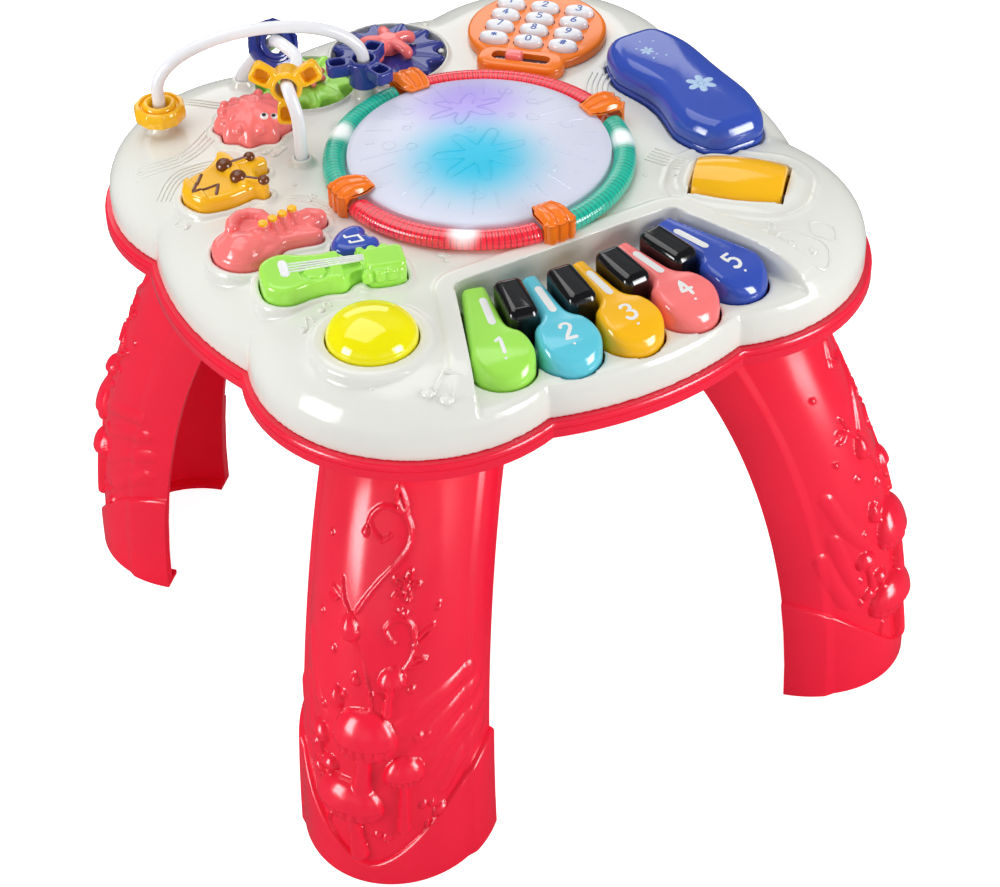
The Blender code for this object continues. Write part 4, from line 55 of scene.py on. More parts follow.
BLACK_HALF, BLACK_LENGTH, BLACK_BACK, BLACK_TOP, BLACK_BOTTOM = 0.0070, 0.0275, 0.1835, 0.2738, 0.2570
BLACK_SLOT = 0.0315
PAD_RADIUS, PAD_EDGE_TOP, PAD_CROWN = 0.0633, 0.2785, 0.0065
TUBE_INNER, TUBE_OUTER, TUBE_TOP, RING_THICKNESS = 0.0640, 0.0749, 0.2786, 0.0011
CLIP_HALF, CLIP_OUTER, CLIP_TOP = 0.0082, 0.0785, 0.2838
COLLAR_HEIGHT, COLLAR_WIDTH, COLLAR_SINK = 0.0016, 0.0040, 0.0090
DOME_PLACE, DOME_RADIUS, DOME_HEIGHT = (-0.1085, -0.0965), 0.0205, 0.0125
ROLLER_PLACE, ROLLER_TURN, ROLLER_HALF, ROLLER_RADIUS, ROLLER_END = (0.0965, -0.0790), -43, 0.0215, 0.0175, 0.0150
ROLLER_HEIGHT, ROLLER_COLLAR = 0.2640, 0.0085
HEART_PLACE, HEART_TURN, HEART_SIZE = (-0.0848, -0.0316), -80, 0.0215
GUITAR_PLACE, GUITAR_TURN, GUITAR_LENGTH, GUITAR_WIDTH = (-0.1035, -0.0490), -16, 0.0660, 0.0290
TRUMPET_PLACE, TRUMPET_TURN, TRUMPET_LENGTH, TRUMPET_WIDTH = (-0.1150, -0.0057), 4, 0.0590, 0.0420
DRUM_PLACE, DRUM_TURN, DRUM_SIZE = (-0.1140, 0.0440), -20, 0.0400
TURTLE_PLACE, TURTLE_RADIUS = (-0.0790, 0.0850), 0.0180
KEYPAD_PLACE, KEYPAD_RADIUS, KEYPAD_BASE, KEYPAD_TOP, KEYPAD_TURN = (0.0830, 0.0870), 0.0355, 0.2705, 0.2755, -45
NUMBER_X, NUMBER_Y, NUMBER_LONG, NUMBER_WIDE, NUMBER_TOP = 0.0180, 0.0115, 0.0075, 0.0045, 0.2790
TAB_REACH, TAB_LENGTH, TAB_WIDTH, TAB_TOP, SLOT_LENGTH, SLOT_WIDTH = 0.0412, 0.0450, 0.0180, 0.2765, 0.0300, 0.0075
HANDSET_PLACE, HANDSET_SPREAD, HANDSET_LOBE = (0.1135, -0.0035), 0.0275, 0.0240
HANDSET_BOTTOM, HANDSET_SEAM, HANDSET_TOP, HANDSET_EDGE = 0.2660, 0.2725, 0.2860, 0.0085
GEAR_MIDDLE, GEAR_SPREAD, GEAR_TURN, GEAR_GAP = (-0.0148, 0.1090), 0.0484, 3, 0.0010
TOOTH, GEAR_BASE, GEAR_TOP = 0.0024, 0.2643, 0.2725
CAP_LOW, CAP_HEIGHT = 0.2728, 0.0085
WIRE, WIRE_END, WIRE_COLLAR, WIRE_COLLAR_TOP, BORE = 0.0031, 0.2620, 0.0055, 0.2742, 0.0052
LONG_A, LONG_B, LONG_TOP, LONG_UPRIGHT = (-0.1170, 0.1095), (-0.0185, 0.0825), 0.3165, 0.2910
SHORT_A, SHORT_B = (-0.0725, 0.0445), (-0.0660, 0.1240)
SHORT_WAVE = (
    (-0.0725, 0.0445, 0.2760), (-0.0730, 0.0448, 0.2960), (-0.0740, 0.0505, 0.3080), (-0.0710, 0.0585, 0.3070),
    (-0.0650, 0.0670, 0.3050), (-0.0565, 0.0780, 0.3065), (-0.0590, 0.0910, 0.3090), (-0.0568, 0.1040, 0.3015),
    (-0.0600, 0.1150, 0.2900), (-0.0660, 0.1240, 0.2760))
RING_BEAD, RING_HALF, HUB, HUB_LENGTH, BLADE = 0.0122, 0.0050, 0.0078, 0.0150, 0.0185
BLADE_HALF, BLADE_DEPTH, PROPELLER_TURN, SHORT_PROPELLER_TURN, BEAD_HANG = 0.0053, 0.0070, 42, 30, 0.0009
PROPELLER_STAND = 0.0024
SCREW_PLACE, SPEAKER_PLACE, CELLS_X = (-0.00275, 0.0), (0.0560, 0.0), -0.0380
CELL_RADIUS, CELL_ROOM, CELL_ROWS, DOOR_TONGUE, DOOR_SHIFT = 0.00725, 0.0545, 0.0480, 0.0130, 0.0065
HOOK_ACROSS, HOOK_DEPTH = 0.018, 0.126


# Materials
def rgb(r, g, b):
    """A colour from its sRGB values of 0 to 255."""
    return tuple(c / 255 / 12.92 if c <= 10 else ((c / 255 + 0.055) / 1.055) ** 2.4 for c in (r, g, b))


def shade(colour, share):
    return tuple(min(c * share, 1.0) for c in colour)


def link(tree, out, into):
    tree.links.new(out, into)


def math_node(tree, operation, a, b=None):
    node = tree.nodes.new("ShaderNodeMath")
    node.operation = operation
    for index, value in enumerate((a, b)):
        if value is None:
            continue
        if isinstance(value, (int, float)):
            node.inputs[index].default_value = value
        else:
            link(tree, value, node.inputs[index])
    return node.outputs[0]


def ramp_node(tree, factor, stops):
    node = tree.nodes.new("ShaderNodeValToRGB")
    node.color_ramp.interpolation = "EASE"
    while len(node.color_ramp.elements) < len(stops):
        node.color_ramp.elements.new(0.5)
    for element, (place, colour) in zip(node.color_ramp.elements, stops):
        element.position = place
        element.color = (*colour, 1.0)
    link(tree, factor, node.inputs["Fac"])
    return node.outputs["Color"]


def noise_node(tree, vector, scale, detail=2.0):
    node = tree.nodes.new("ShaderNodeTexNoise")
    node.inputs["Scale"].default_value = scale
    node.inputs["Detail"].default_value = detail
    link(tree, vector, node.inputs["Vector"])
    return node.outputs["Fac"]


def range_node(tree, value, span, result=(1.0, 0.0), curve="SMOOTHERSTEP"):
    """Carry a value from one span into another, by default falling from 1 to 0."""
    node = tree.nodes.new("ShaderNodeMapRange")
    node.interpolation_type = curve
    for socket, number in zip(("From Min", "From Max", "To Min", "To Max"), (*span, *result)):
        node.inputs[socket].default_value = number
    link(tree, value, node.inputs["Value"])
    return node.outputs["Result"]


def vector_node(tree, operation, vector, other):
    node = tree.nodes.new("ShaderNodeVectorMath")
    node.operation = operation
    link(tree, vector, node.inputs[0])
    node.inputs[1].default_value = other
    return node.outputs["Vector" if operation == "MULTIPLY" else "Value"]


def mix_colour(tree, factor, a, b):
    node = tree.nodes.new("ShaderNodeMix")
    node.data_type = "RGBA"
    link(tree, factor, node.inputs["Factor"])
    for value, socket in ((a, node.inputs["A"]), (b, node.inputs["B"])):
        if isinstance(value, tuple):
            socket.default_value = (*value, 1.0)
        else:
            link(tree, value, socket)
    return node.outputs["Result"]


def plastic(name, colour, roughness=0.2, coat=0.25, vary=0.05, grain=0.05, glow=0.0, under=0.0, paint=None):
    """Moulded plastic: slow cloudy colour drift, uneven gloss and a fine skin; paint adds painted light and shade over
    the colour.
    """
    made = bpy.data.materials.new(name)
    made.use_nodes = True
    tree = made.node_tree
    shader = tree.nodes["Principled BSDF"]
    coords = tree.nodes.new("ShaderNodeTexCoord").outputs["Object"]
    cloud = noise_node(tree, coords, 14.0)
    base = ramp_node(tree, cloud, [(0.3, shade(colour, 1 - vary)), (0.7, shade(colour, 1 + vary))])
    if paint:
        base = paint(tree, coords, base)
    link(tree, base, shader.inputs["Base Color"])
    gloss = noise_node(tree, coords, 60.0)
    rough = range_node(tree, gloss, (0.0, 1.0), (roughness * 0.85, roughness * 1.2), "LINEAR")
    link(tree, rough, shader.inputs["Roughness"])
    skin = tree.nodes.new("ShaderNodeBump")
    skin.inputs["Strength"].default_value = grain
    skin.inputs["Distance"].default_value = 0.0004
    link(tree, noise_node(tree, coords, 700.0, 3.0), skin.inputs["Height"])
    link(tree, skin.outputs["Normal"], shader.inputs["Normal"])
    shader.inputs["Coat Weight"].default_value = coat
    shader.inputs["Coat Roughness"].default_value = 0.04
    shader.inputs["Specular IOR Level"].default_value = 0.55
    if under:
        shader.inputs["Subsurface Weight"].default_value = under
        shader.inputs["Subsurface Radius"].default_value = (0.006, 0.004, 0.003)
        shader.inputs["Subsurface Scale"].default_value = 0.5
    if glow:
        link(tree, base, shader.inputs["Emission Color"])
        shader.inputs["Emission Strength"].default_value = glow
    return made


IVORY = rgb(231, 231, 223)
RED = rgb(244, 28, 60)
WHITE = rgb(240, 240, 244)
BLACK = rgb(20, 20, 22)
LIME = rgb(168, 236, 90)
CYAN = rgb(100, 206, 226)
AMBER = rgb(255, 190, 26)
YELLOW = rgb(246, 236, 4)
PINK = rgb(255, 126, 124)
BLUE = rgb(56, 84, 184)
NAVY = rgb(44, 56, 140)
ORANGE = rgb(255, 128, 34)
BROWN = rgb(112, 58, 24)

M_IVORY = plastic("ivory_shell", IVORY, 0.16, 0.0, 0.012, 0.03)
M_RED = plastic("red_shell", RED, 0.2, 0.0, 0.04, 0.05)
M_WHITE = plastic("white_gloss", WHITE, 0.16, 0.0, 0.015, 0.03)
M_BLACK = plastic("black_gloss", BLACK, 0.1, 0.2, 0.2, 0.04)
M_LIME = plastic("lime_gloss", LIME, 0.14, 0.0, 0.03)
M_CYAN = plastic("cyan_gloss", CYAN, 0.12, 0.1, 0.03)
M_AMBER = plastic("amber_gloss", AMBER, 0.13, 0.0, 0.03)
M_YELLOW = plastic("yellow_gloss", YELLOW, 0.08, 0.2, 0.02)
M_PINK = plastic("pink_gloss", PINK, 0.14, 0.0, 0.03)
M_BLUE = plastic("blue_gloss", BLUE, 0.1, 0.1)
M_NAVY = plastic("navy_gloss", NAVY, 0.14, 0.1)
M_ORANGE = plastic("orange_gloss", ORANGE, 0.14, 0.0, 0.03)
M_BROWN = plastic("brown_paint", BROWN, 0.22, 0.1, 0.1)
M_PALE = plastic("pale_blue_print", rgb(176, 204, 236), 0.35, 0.1)
M_INK = plastic("blue_print", rgb(52, 92, 176), 0.35, 0.1)
M_LABEL = plastic("white_print", rgb(238, 238, 236), 0.35, 0.1)
M_DARK = plastic("dark_slot", rgb(58, 58, 66), 0.3, 0.2, 0.15)
M_STEEL = plastic("steel", rgb(150, 152, 156), 0.3, 0.0, 0.1)
M_BOARD = plastic("board_green", rgb(24, 92, 56), 0.4, 0.2, 0.2)
M_CELL = plastic("cell_jacket", rgb(176, 140, 70), 0.3, 0.3, 0.1)
for metal in (M_STEEL, M_CELL):
    metal.node_tree.nodes["Principled BSDF"].inputs["Metallic"].default_value = 0.9


# Mesh building
def mesh_from(name, vertices, faces, smooth=35):
    mesh = bpy.data.meshes.new(name)
    mesh.from_pydata([tuple(v) for v in vertices], [], faces)
    work = bmesh.new()
    work.from_mesh(mesh)
    bmesh.ops.recalc_face_normals(work, faces=work.faces)
    work.to_mesh(mesh)
    work.free()
    mesh.shade_smooth()
    if smooth:
        mesh.set_sharp_from_angle(angle=radians(smooth))
    return mesh


def loft(name, rings, closed=False, smooth=35):
    count = len(rings[0])
    vertices = [point for ring in rings for point in ring]
    faces = []
    for level in range(len(rings) if closed else len(rings) - 1):
        low, high = level * count, ((level + 1) % len(rings)) * count
        for index in range(count):
            after = (index + 1) % count
            faces.append((low + index, low + after, high + after, high + index))
    if not closed:
        faces.append(tuple(range(count)))
        faces.append(tuple(range((len(rings) - 1) * count, len(rings) * count)))
    return mesh_from(name, vertices, faces, smooth)


def flat_ring(outline, z):
    return [(x, y, z) for x, y in outline]


def prism(name, outline, low, high):
    return loft(name, [flat_ring(outline, low), flat_ring(outline, high)])


def circle(radius, steps=64, centre=(0, 0)):
    return [(centre[0] + radius * cos(2 * pi * s / steps), centre[1] + radius * sin(2 * pi * s / steps))
            for s in range(steps)]


def turned(name, profile, steps=64, centre=(0, 0)):
    return loft(name, [flat_ring(circle(radius, steps, centre), z) for radius, z in profile])


def turned_ring(name, profile, steps=64, centre=(0, 0)):
    rings = []
    for step in range(steps):
        a = 2 * pi * step / steps
        rings.append([(centre[0] + r * cos(a), centre[1] + r * sin(a), z) for r, z in profile])
    return loft(name, rings, closed=True)


def offset_outline(outline, distance):
    count = len(outline)
    area = sum(outline[i][0] * outline[(i + 1) % count][1] - outline[(i + 1) % count][0] * outline[i][1]
               for i in range(count))
    sign = 1 if area > 0 else -1
    moved = []
    for index, (x, y) in enumerate(outline):
        before, after = outline[index - 1], outline[(index + 1) % count]
        first = Vector((x - before[0], y - before[1])).normalized()
        second = Vector((after[0] - x, after[1] - y)).normalized()
        along = (first + second).normalized()
        spread = max(along.dot(first), 0.5)
        moved.append((x + sign * along.y * distance / spread, y - sign * along.x * distance / spread))
    return moved


def envelope(outline, distance, steps=72):
    dense = []
    for index, (x, y) in enumerate(outline):
        before = outline[index - 1]
        dense += [((x + before[0]) / 2, (y + before[1]) / 2), (x, y)]
    mx = sum(x for x, y in outline) / len(outline)
    my = sum(y for x, y in outline) / len(outline)
    reached = []
    for step in range(steps):
        c, s = cos(2 * pi * step / steps), sin(2 * pi * step / steps)
        best = 0.0
        for x, y in dense:
            along, off = (x - mx) * c + (y - my) * s, (x - mx) * s - (y - my) * c
            if abs(off) < distance:
                best = max(best, along + sqrt(distance ** 2 - off ** 2))
        reached.append((mx + best * c, my + best * s))
    return reached


def smooth_outline(shares, length, width, steps=6):
    points = [Vector((u * length, v * width)) for u, v in shares]
    return [tuple(p) for p in spline(points, steps, True)]


def spline(points, steps, closed=False):
    """A Catmull-Rom curve through points of any size."""
    count = len(points)
    made = []
    for index in range(count if closed else count - 1):
        if closed:
            a, b, c, d = (points[(index + k) % count] for k in (-1, 0, 1, 2))
        else:
            a, b, c, d = (points[min(max(index + k, 0), count - 1)] for k in (-1, 0, 1, 2))
        for step in range(steps):
            t = step / steps
            made.append(0.5 * (2 * b + (c - a) * t + (2 * a - 5 * b + 4 * c - d) * t * t
                               + (3 * b - a - 3 * c + d) * t * t * t))
    if not closed:
        made.append(points[-1].copy())
    return made


def rounded_box(half_length, half_width, corner, steps=8):
    outline = []
    for quarter in range(4):
        sx, sy = (1 if quarter in (0, 3) else -1), (1 if quarter in (0, 1) else -1)
        for step in range(steps + 1):
            a = pi / 2 * (quarter + step / steps)
            outline.append((sx * (half_length - corner) + corner * cos(a),
                            sy * (half_width - corner) + corner * sin(a)))
    return outline


def moved(outline, place, turn=0):
    c, s = cos(radians(turn)), sin(radians(turn))
    return [(place[0] + x * c - y * s, place[1] + x * s + y * c) for x, y in outline]


def soft_prism(name, outline, low, high, edge, steps=5):
    """An upright body whose top edge is rounded over."""
    rings = [flat_ring(outline, low)]
    for step in range(steps + 1):
        a = pi / 2 * step / steps
        rings.append(flat_ring(offset_outline(outline, -edge * (1 - cos(a))), high - edge * (1 - sin(a))))
    return loft(name, rings)


def tube(name, points, radius, sides=12, taper=None):
    points = [Vector(p) for p in points]
    tangents = []
    for index in range(len(points)):
        before, after = points[max(index - 1, 0)], points[min(index + 1, len(points) - 1)]
        tangents.append((after - before).normalized())
    start = Vector((1, 0, 0)) if abs(tangents[0].x) < 0.9 else Vector((0, 1, 0))
    side = (start - tangents[0] * start.dot(tangents[0])).normalized()
    rings = []
    for index, (point, tangent) in enumerate(zip(points, tangents)):
        side = (side - tangent * side.dot(tangent)).normalized()
        up = tangent.cross(side)
        r = radius if taper is None else radius * taper[index]
        rings.append([tuple(point + r * (cos(2 * pi * s / sides) * side + sin(2 * pi * s / sides) * up))
                      for s in range(sides)])
    return loft(name, rings)


def capsule(name, points, radius, sides=10):
    """A tube with rounded ends."""
    points = [Vector(p) for p in points]
    first = (points[0] - points[1]).normalized()
    last = (points[-1] - points[-2]).normalized()
    steps = 3
    head = [points[0] + first * radius * cos(pi / 2 * k / steps) for k in range(steps)]
    tail = [points[-1] + last * radius * sin(pi / 2 * k / steps) for k in range(1, steps + 1)]
    shares = [max(sin(pi / 2 * k / steps), 0.15) for k in range(steps)]
    taper = shares + [1.0] * len(points) + [max(cos(pi / 2 * k / steps), 0.15) for k in range(1, steps + 1)]
    return tube(name, head + points + tail, radius, sides, taper)


def ball(name, radius, centre, flatten=1.0, steps=20):
    profile = []
    for step in range(9):
        a = radians(-84 + 168 * step / 8)
        profile.append((radius * cos(a), centre[2] + flatten * radius * sin(a)))
    return turned(name, profile, steps, centre[:2])


def put(name, mesh, material):
    """A new piece in the scene; its points are already in their places."""
    piece = bpy.data.objects.new(name, mesh)
    bpy.context.scene.collection.objects.link(piece)
    if material is not None:
        mesh.materials.clear()
        mesh.materials.append(material)
    bpy.context.view_layer.update()
    return piece


def show(piece, body, slot, *replaced):
    """Hand a finished piece to its CAD body and hide the nodes that it stands for; the slot argument is not used."""
    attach(piece, body)
    if replaced:
        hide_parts(*replaced)
    return piece


def transformed(mesh, at=(0, 0, 0), turn=0, rotation=None):
    """Place a mesh's points in the world."""
    matrix = Matrix.Translation(at) @ (rotation.to_matrix().to_4x4() if rotation is not None
                                       else Matrix.Rotation(radians(turn), 4, "Z"))
    mesh.transform(matrix)
    return mesh


def modify(piece, kind, **settings):
    step = piece.modifiers.new(kind.lower(), kind)
    for key, value in settings.items():
        setattr(step, key, value)
    return step


def baked(piece):
    """Apply all of a piece's modifiers."""
    graph = bpy.context.evaluated_depsgraph_get()
    mesh = bpy.data.meshes.new_from_object(piece.evaluated_get(graph))
    piece.modifiers.clear()
    old = piece.data
    piece.data = mesh
    bpy.data.meshes.remove(old)
    return piece


def combine(name, adds, cuts=()):
    """Union and then difference of closed meshes, all in world places."""
    piece = put(name, adds[0], None)
    tools = []
    for mesh, operation in [(m, "UNION") for m in adds[1:]] + [(m, "DIFFERENCE") for m in cuts]:
        tool = put(name + "_tool", mesh, None)
        tools.append(tool)
        modify(piece, "BOOLEAN", operation=operation, solver="MANIFOLD", object=tool)
    bpy.context.view_layer.update()
    baked(piece)
    for tool in tools:
        mesh = tool.data
        bpy.data.objects.remove(tool)
        bpy.data.meshes.remove(mesh)
    return piece


def finished(piece, material, sharp=None):
    """One material and smooth shading, with the edges sharper than an angle kept."""
    piece.data.materials.clear()
    piece.data.materials.append(material)
    piece.data.shade_smooth()
    if sharp:
        piece.data.set_sharp_from_angle(angle=radians(sharp))
    return piece


def remeshed(piece, material, voxel, smooth, keep):
    """Remesh, smooth and thin a piece, so that every edge is soft."""
    modify(piece, "REMESH", mode="VOXEL", voxel_size=voxel, use_smooth_shade=True)
    modify(piece, "SMOOTH", factor=0.5, iterations=smooth)
    modify(piece, "DECIMATE", ratio=keep)
    return finished(baked(piece), material)


def moulded(name, material, adds, cuts, voxel, smooth=3, keep=0.5):
    """One moulded body: parts joined, holes cut, and all of it remeshed."""
    return remeshed(combine(name, adds, cuts), material, voxel, smooth, keep)


def merged(name, meshes):
    """One mesh from several, which it uses up."""
    work = bmesh.new()
    for mesh in meshes:
        work.from_mesh(mesh)
        bpy.data.meshes.remove(mesh)
    made = bpy.data.meshes.new(name)
    work.to_mesh(made)
    work.free()
    made.shade_smooth()
    return made


# Plan outlines shared with part.py, drawn finer
def lobed(inset, soften=0.0, lobe_steps=30, side_steps=26):
    """The table's plan outline moved inwards."""
    side, lobe = SIDE_RADIUS - inset, LOBE_RADIUS - inset
    reach = LOBE_OFFSET * sqrt(2)
    notch = acos((side ** 2 + reach ** 2 - lobe ** 2) / (2 * side * reach))
    outline = []
    for corner in range(4):
        diagonal = pi / 4 + corner * pi / 2
        turns = [notch * (2 * step / lobe_steps - 1) for step in range(lobe_steps)]
        turns += [notch + (pi / 2 - 2 * notch) * step / side_steps for step in range(side_steps)]
        for a in turns:
            near = a if a < pi / 4 else pi / 2 - a
            tip = reach * cos(near) + sqrt(max(lobe ** 2 - (reach * sin(near)) ** 2, 0))
            blend = max(soften - abs(tip - side), 0) / soften if soften else 0
            radius = max(tip, side) + blend * blend * soften / 4
            outline.append((radius * cos(diagonal + a), radius * sin(diagonal + a)))
    return outline


def table_rings(inset, bottom, top, run, steps=14):
    rise = top - JOINT - UPRIGHT
    rings = [flat_ring(lobed(inset), bottom)]
    for step in range(steps + 1):
        a = pi / 2 * step / steps
        rings.append(flat_ring(lobed(inset + run * (1 - cos(a)), NOTCH_SOFTENING * (1 - cos(a))),
                               JOINT + UPRIGHT + rise * sin(a)))
    return rings


def fan_point(radius, angle):
    return (radius * sin(radians(angle)), FAN_CENTRE - radius * cos(radians(angle)))


def well_outline(grow=0.0, steps=8, end=None):
    slope = (WELL_FRONT_HALF - WELL_BACK_HALF) / (WELL_FRONT - WELL_BACK)
    end = SIDE_RADIUS + 0.001 if end is None else end
    end_half = WELL_BACK_HALF + slope * (end - WELL_BACK) + grow
    back_half, back, corner = WELL_BACK_HALF + grow, -WELL_BACK + grow, WELL_CORNER + max(grow, 0)
    outline = [(-end_half, -end), (end_half, -end)]
    for side in (0, 1):
        for step in range(steps + 1):
            a = pi / 2 * (side + step / steps)
            x = (back_half - corner) * (1 if side == 0 else -1) + corner * cos(a)
            outline.append((x, back - corner + corner * sin(a)))
    return outline


# Which side of each colour key is straight, at the ends of the keyboard
END_SIDES = (-1, 0, 0, 0, 1)


def key_outline(end_side, nose_steps=28, shoulder=10):
    nose = KEY_BACK - KEY_FRONT
    outline = [(KEY_NOSE * cos(pi + pi * s / nose_steps), nose + KEY_NOSE * sin(pi + pi * s / nose_steps))
               for s in range(nose_steps + 1)]

    def side(sign):
        if end_side == sign:
            points = [(KEY_END_HALF + (KEY_NOSE - KEY_END_HALF) * s / shoulder, nose * s / shoulder)
                      for s in range(shoulder)]
        else:
            stops = [(0.0045, 0.0), (0.0051, -0.0120), (0.0058, -0.0235), (0.0068, -0.0288), (0.0090, -0.0318),
                     (0.0117, -0.0343), (0.0137, -0.0395), (KEY_NOSE, nose)]
            points = [(p.x, p.y) for p in spline([Vector((*stop, 0)) for stop in stops], 4)[:-1]]
        return [(sign * x, y) for x, y in points]

    return outline + side(1)[::-1] + side(-1)


def handset_outline(grow=0.0, steps=84):
    outline = []
    for step in range(steps):
        a = 2 * pi * step / steps
        waist = 0.0220 if sin(a) < 0 else 0.0175
        along = (HANDSET_SPREAD + HANDSET_LOBE) * cos(a)
        share = 1 - min(abs(along) / (HANDSET_SPREAD + HANDSET_LOBE), 1) ** 2
        bulge = abs(sin(a)) ** 0.5
        notch = (HANDSET_LOBE - waist) * max(cos(pi / 2 * min(abs(along) / HANDSET_SPREAD, 1)), 0) * share
        outline.append((along, (HANDSET_LOBE - notch) * bulge * (1 if sin(a) >= 0 else -1)))
    return offset_outline(outline, grow) if grow else outline


def gear_sizes():
    pitch = GEAR_SPREAD - GEAR_GAP
    c, s, half = cos(radians(GEAR_TURN)), sin(radians(GEAR_TURN)), GEAR_SPREAD / 2
    lime = (GEAR_MIDDLE[0] - half * c, GEAR_MIDDLE[1] - half * s)
    blue = (GEAR_MIDDLE[0] + half * c, GEAR_MIDDLE[1] + half * s)
    return lime, pitch * 10 / 22, blue, pitch * 12 / 22


def gear_pair(grow, steps=120):
    lime, lime_radius, blue, blue_radius = gear_sizes()
    outline = []
    for step in range(steps):
        c, s = cos(2 * pi * step / steps), sin(2 * pi * step / steps)
        best = 0.0
        for place, radius in ((lime, lime_radius), (blue, blue_radius)):
            reach = radius + TOOTH + grow
            x, y = place[0] - GEAR_MIDDLE[0], place[1] - GEAR_MIDDLE[1]
            off = x * s - y * c
            if abs(off) < reach:
                best = max(best, x * c + y * s + sqrt(reach ** 2 - off ** 2))
        outline.append((GEAR_MIDDLE[0] + best * c, GEAR_MIDDLE[1] + best * s))
    return outline


LAID_DOWN = Matrix.Rotation(pi / 2, 4, "Y")
ROLLER_FRAME = (Matrix.Translation((*ROLLER_PLACE, ROLLER_HEIGHT)) @ Matrix.Rotation(radians(ROLLER_TURN), 4, "Z")
                @ LAID_DOWN)


def roller_radius(share):
    return ROLLER_RADIUS - (ROLLER_RADIUS - ROLLER_END) * share * share


HEART = ((0.00, -0.48), (0.26, -0.36), (0.45, -0.08), (0.50, 0.18), (0.42, 0.42), (0.20, 0.50), (0.00, 0.30),
         (-0.20, 0.50), (-0.42, 0.42), (-0.50, 0.18), (-0.45, -0.08), (-0.26, -0.36))
GUITAR = (
    (-0.50, 0.00), (-0.47, 0.34), (-0.34, 0.50), (-0.18, 0.40), (-0.06, 0.36), (0.05, 0.38), (0.12, 0.22),
    (0.20, 0.16), (0.24, 0.28), (0.36, 0.30), (0.48, 0.26), (0.50, 0.00), (0.48, -0.34), (0.36, -0.40),
    (0.24, -0.36), (0.20, -0.18), (0.12, -0.22), (0.05, -0.38), (-0.06, -0.36), (-0.18, -0.40),
    (-0.34, -0.50), (-0.47, -0.34))
TRUMPET = (
    (-0.49, -0.05), (-0.44, -0.29), (-0.29, -0.43), (-0.10, -0.38), (0.03, -0.29), (0.17, -0.33),
    (0.31, -0.39), (0.37, -0.31), (0.34, -0.19), (0.47, -0.14), (0.51, 0.00), (0.44, 0.10), (0.24, 0.10),
    (0.10, 0.14), (0.12, 0.33), (0.03, 0.48), (-0.08, 0.45), (-0.15, 0.29), (-0.27, 0.29), (-0.42, 0.19))
DRUM = (
    (-0.46, -0.30), (-0.28, -0.48), (0.00, -0.46), (0.22, -0.36), (0.34, -0.30), (0.46, -0.34),
    (0.52, -0.24), (0.42, -0.14), (0.38, 0.02), (0.42, 0.14), (0.54, 0.22), (0.50, 0.34), (0.36, 0.32),
    (0.24, 0.22), (0.10, 0.40), (-0.02, 0.50), (-0.10, 0.34), (-0.24, 0.16), (-0.40, 0.04), (-0.50, -0.12))
HEART_PLAN = smooth_outline(HEART, HEART_SIZE, HEART_SIZE)
GUITAR_PLAN = smooth_outline(GUITAR, GUITAR_LENGTH, GUITAR_WIDTH)
TRUMPET_PLAN = smooth_outline(TRUMPET, TRUMPET_LENGTH, TRUMPET_WIDTH)
DRUM_PLAN = smooth_outline(DRUM, DRUM_SIZE, DRUM_SIZE)
TURTLE_PLAN = [((TURTLE_RADIUS + 0.0012 * cos(9 * a)) * cos(a), (TURTLE_RADIUS + 0.0012 * cos(9 * a)) * sin(a))
               for a in (2 * pi * s / 90 for s in range(90))]

# Ivory shell
skin_mesh = loft("skin", table_rings(0.0, JOINT, SURFACE, EDGE_RUN))
skin_work = bmesh.new()
skin_work.from_mesh(skin_mesh)
SKIN = BVHTree.FromBMesh(skin_work)
skin_work.free()
bpy.data.meshes.remove(skin_mesh)


def surf(x, y):
    """The height of the plain shell's outside at a plan point."""
    hit = SKIN.ray_cast(Vector((x, y, 0.4)), Vector((0, 0, -1)))[0]
    return hit.z if hit else JOINT


def relief(name, points, radius, lift=0.0, steps=5):
    """A raised line moulded on the shell along plan points in mm."""
    route = spline([Vector((x * MM, y * MM, 0)) for x, y in points], steps)
    return capsule(name, [(p.x, p.y, surf(p.x, p.y) + lift) for p in route], radius * MM, 10)


def border_strip(path, width, rise):
    """A flat raised border beside a plan path, which follows the shell's height."""
    rings = []
    count = len(path)
    for index, (x, y) in enumerate(path):
        before, after = path[max(index - 1, 0)], path[min(index + 1, count - 1)]
        dx, dy = after[0] - before[0], after[1] - before[1]
        length = hypot(dx, dy)
        nx, ny = dy / length, -dx / length
        ring = []
        for across, height in ((-0.0008, -0.006), (-0.0008, rise), (0.12, rise), (0.70, rise), (0.88, rise * 0.75),
                               (0.97, rise * 0.25), (1.0, -0.0002), (1.0, -0.006)):
            offset = across * width if across > 0 else across
            px, py = x + nx * offset, y + ny * offset
            ring.append((px, py, surf(px, py) + height))
        rings.append(ring)
    return loft("border", rings)


def soft_rim(outline, collar):
    """A soft raised rim for a button, out to the collar and up to its top."""
    rise = COLLAR_HEIGHT
    rings = [flat_ring(envelope(outline, collar), SURFACE - COLLAR_SINK)]
    for share, height in ((1.0, -0.0004), (0.94, 0.0002), (0.84, rise * 0.55), (0.72, rise * 0.88), (0.6, rise)):
        rings.append(flat_ring(envelope(outline, collar * share), SURFACE + height))
    return loft("rim", rings)


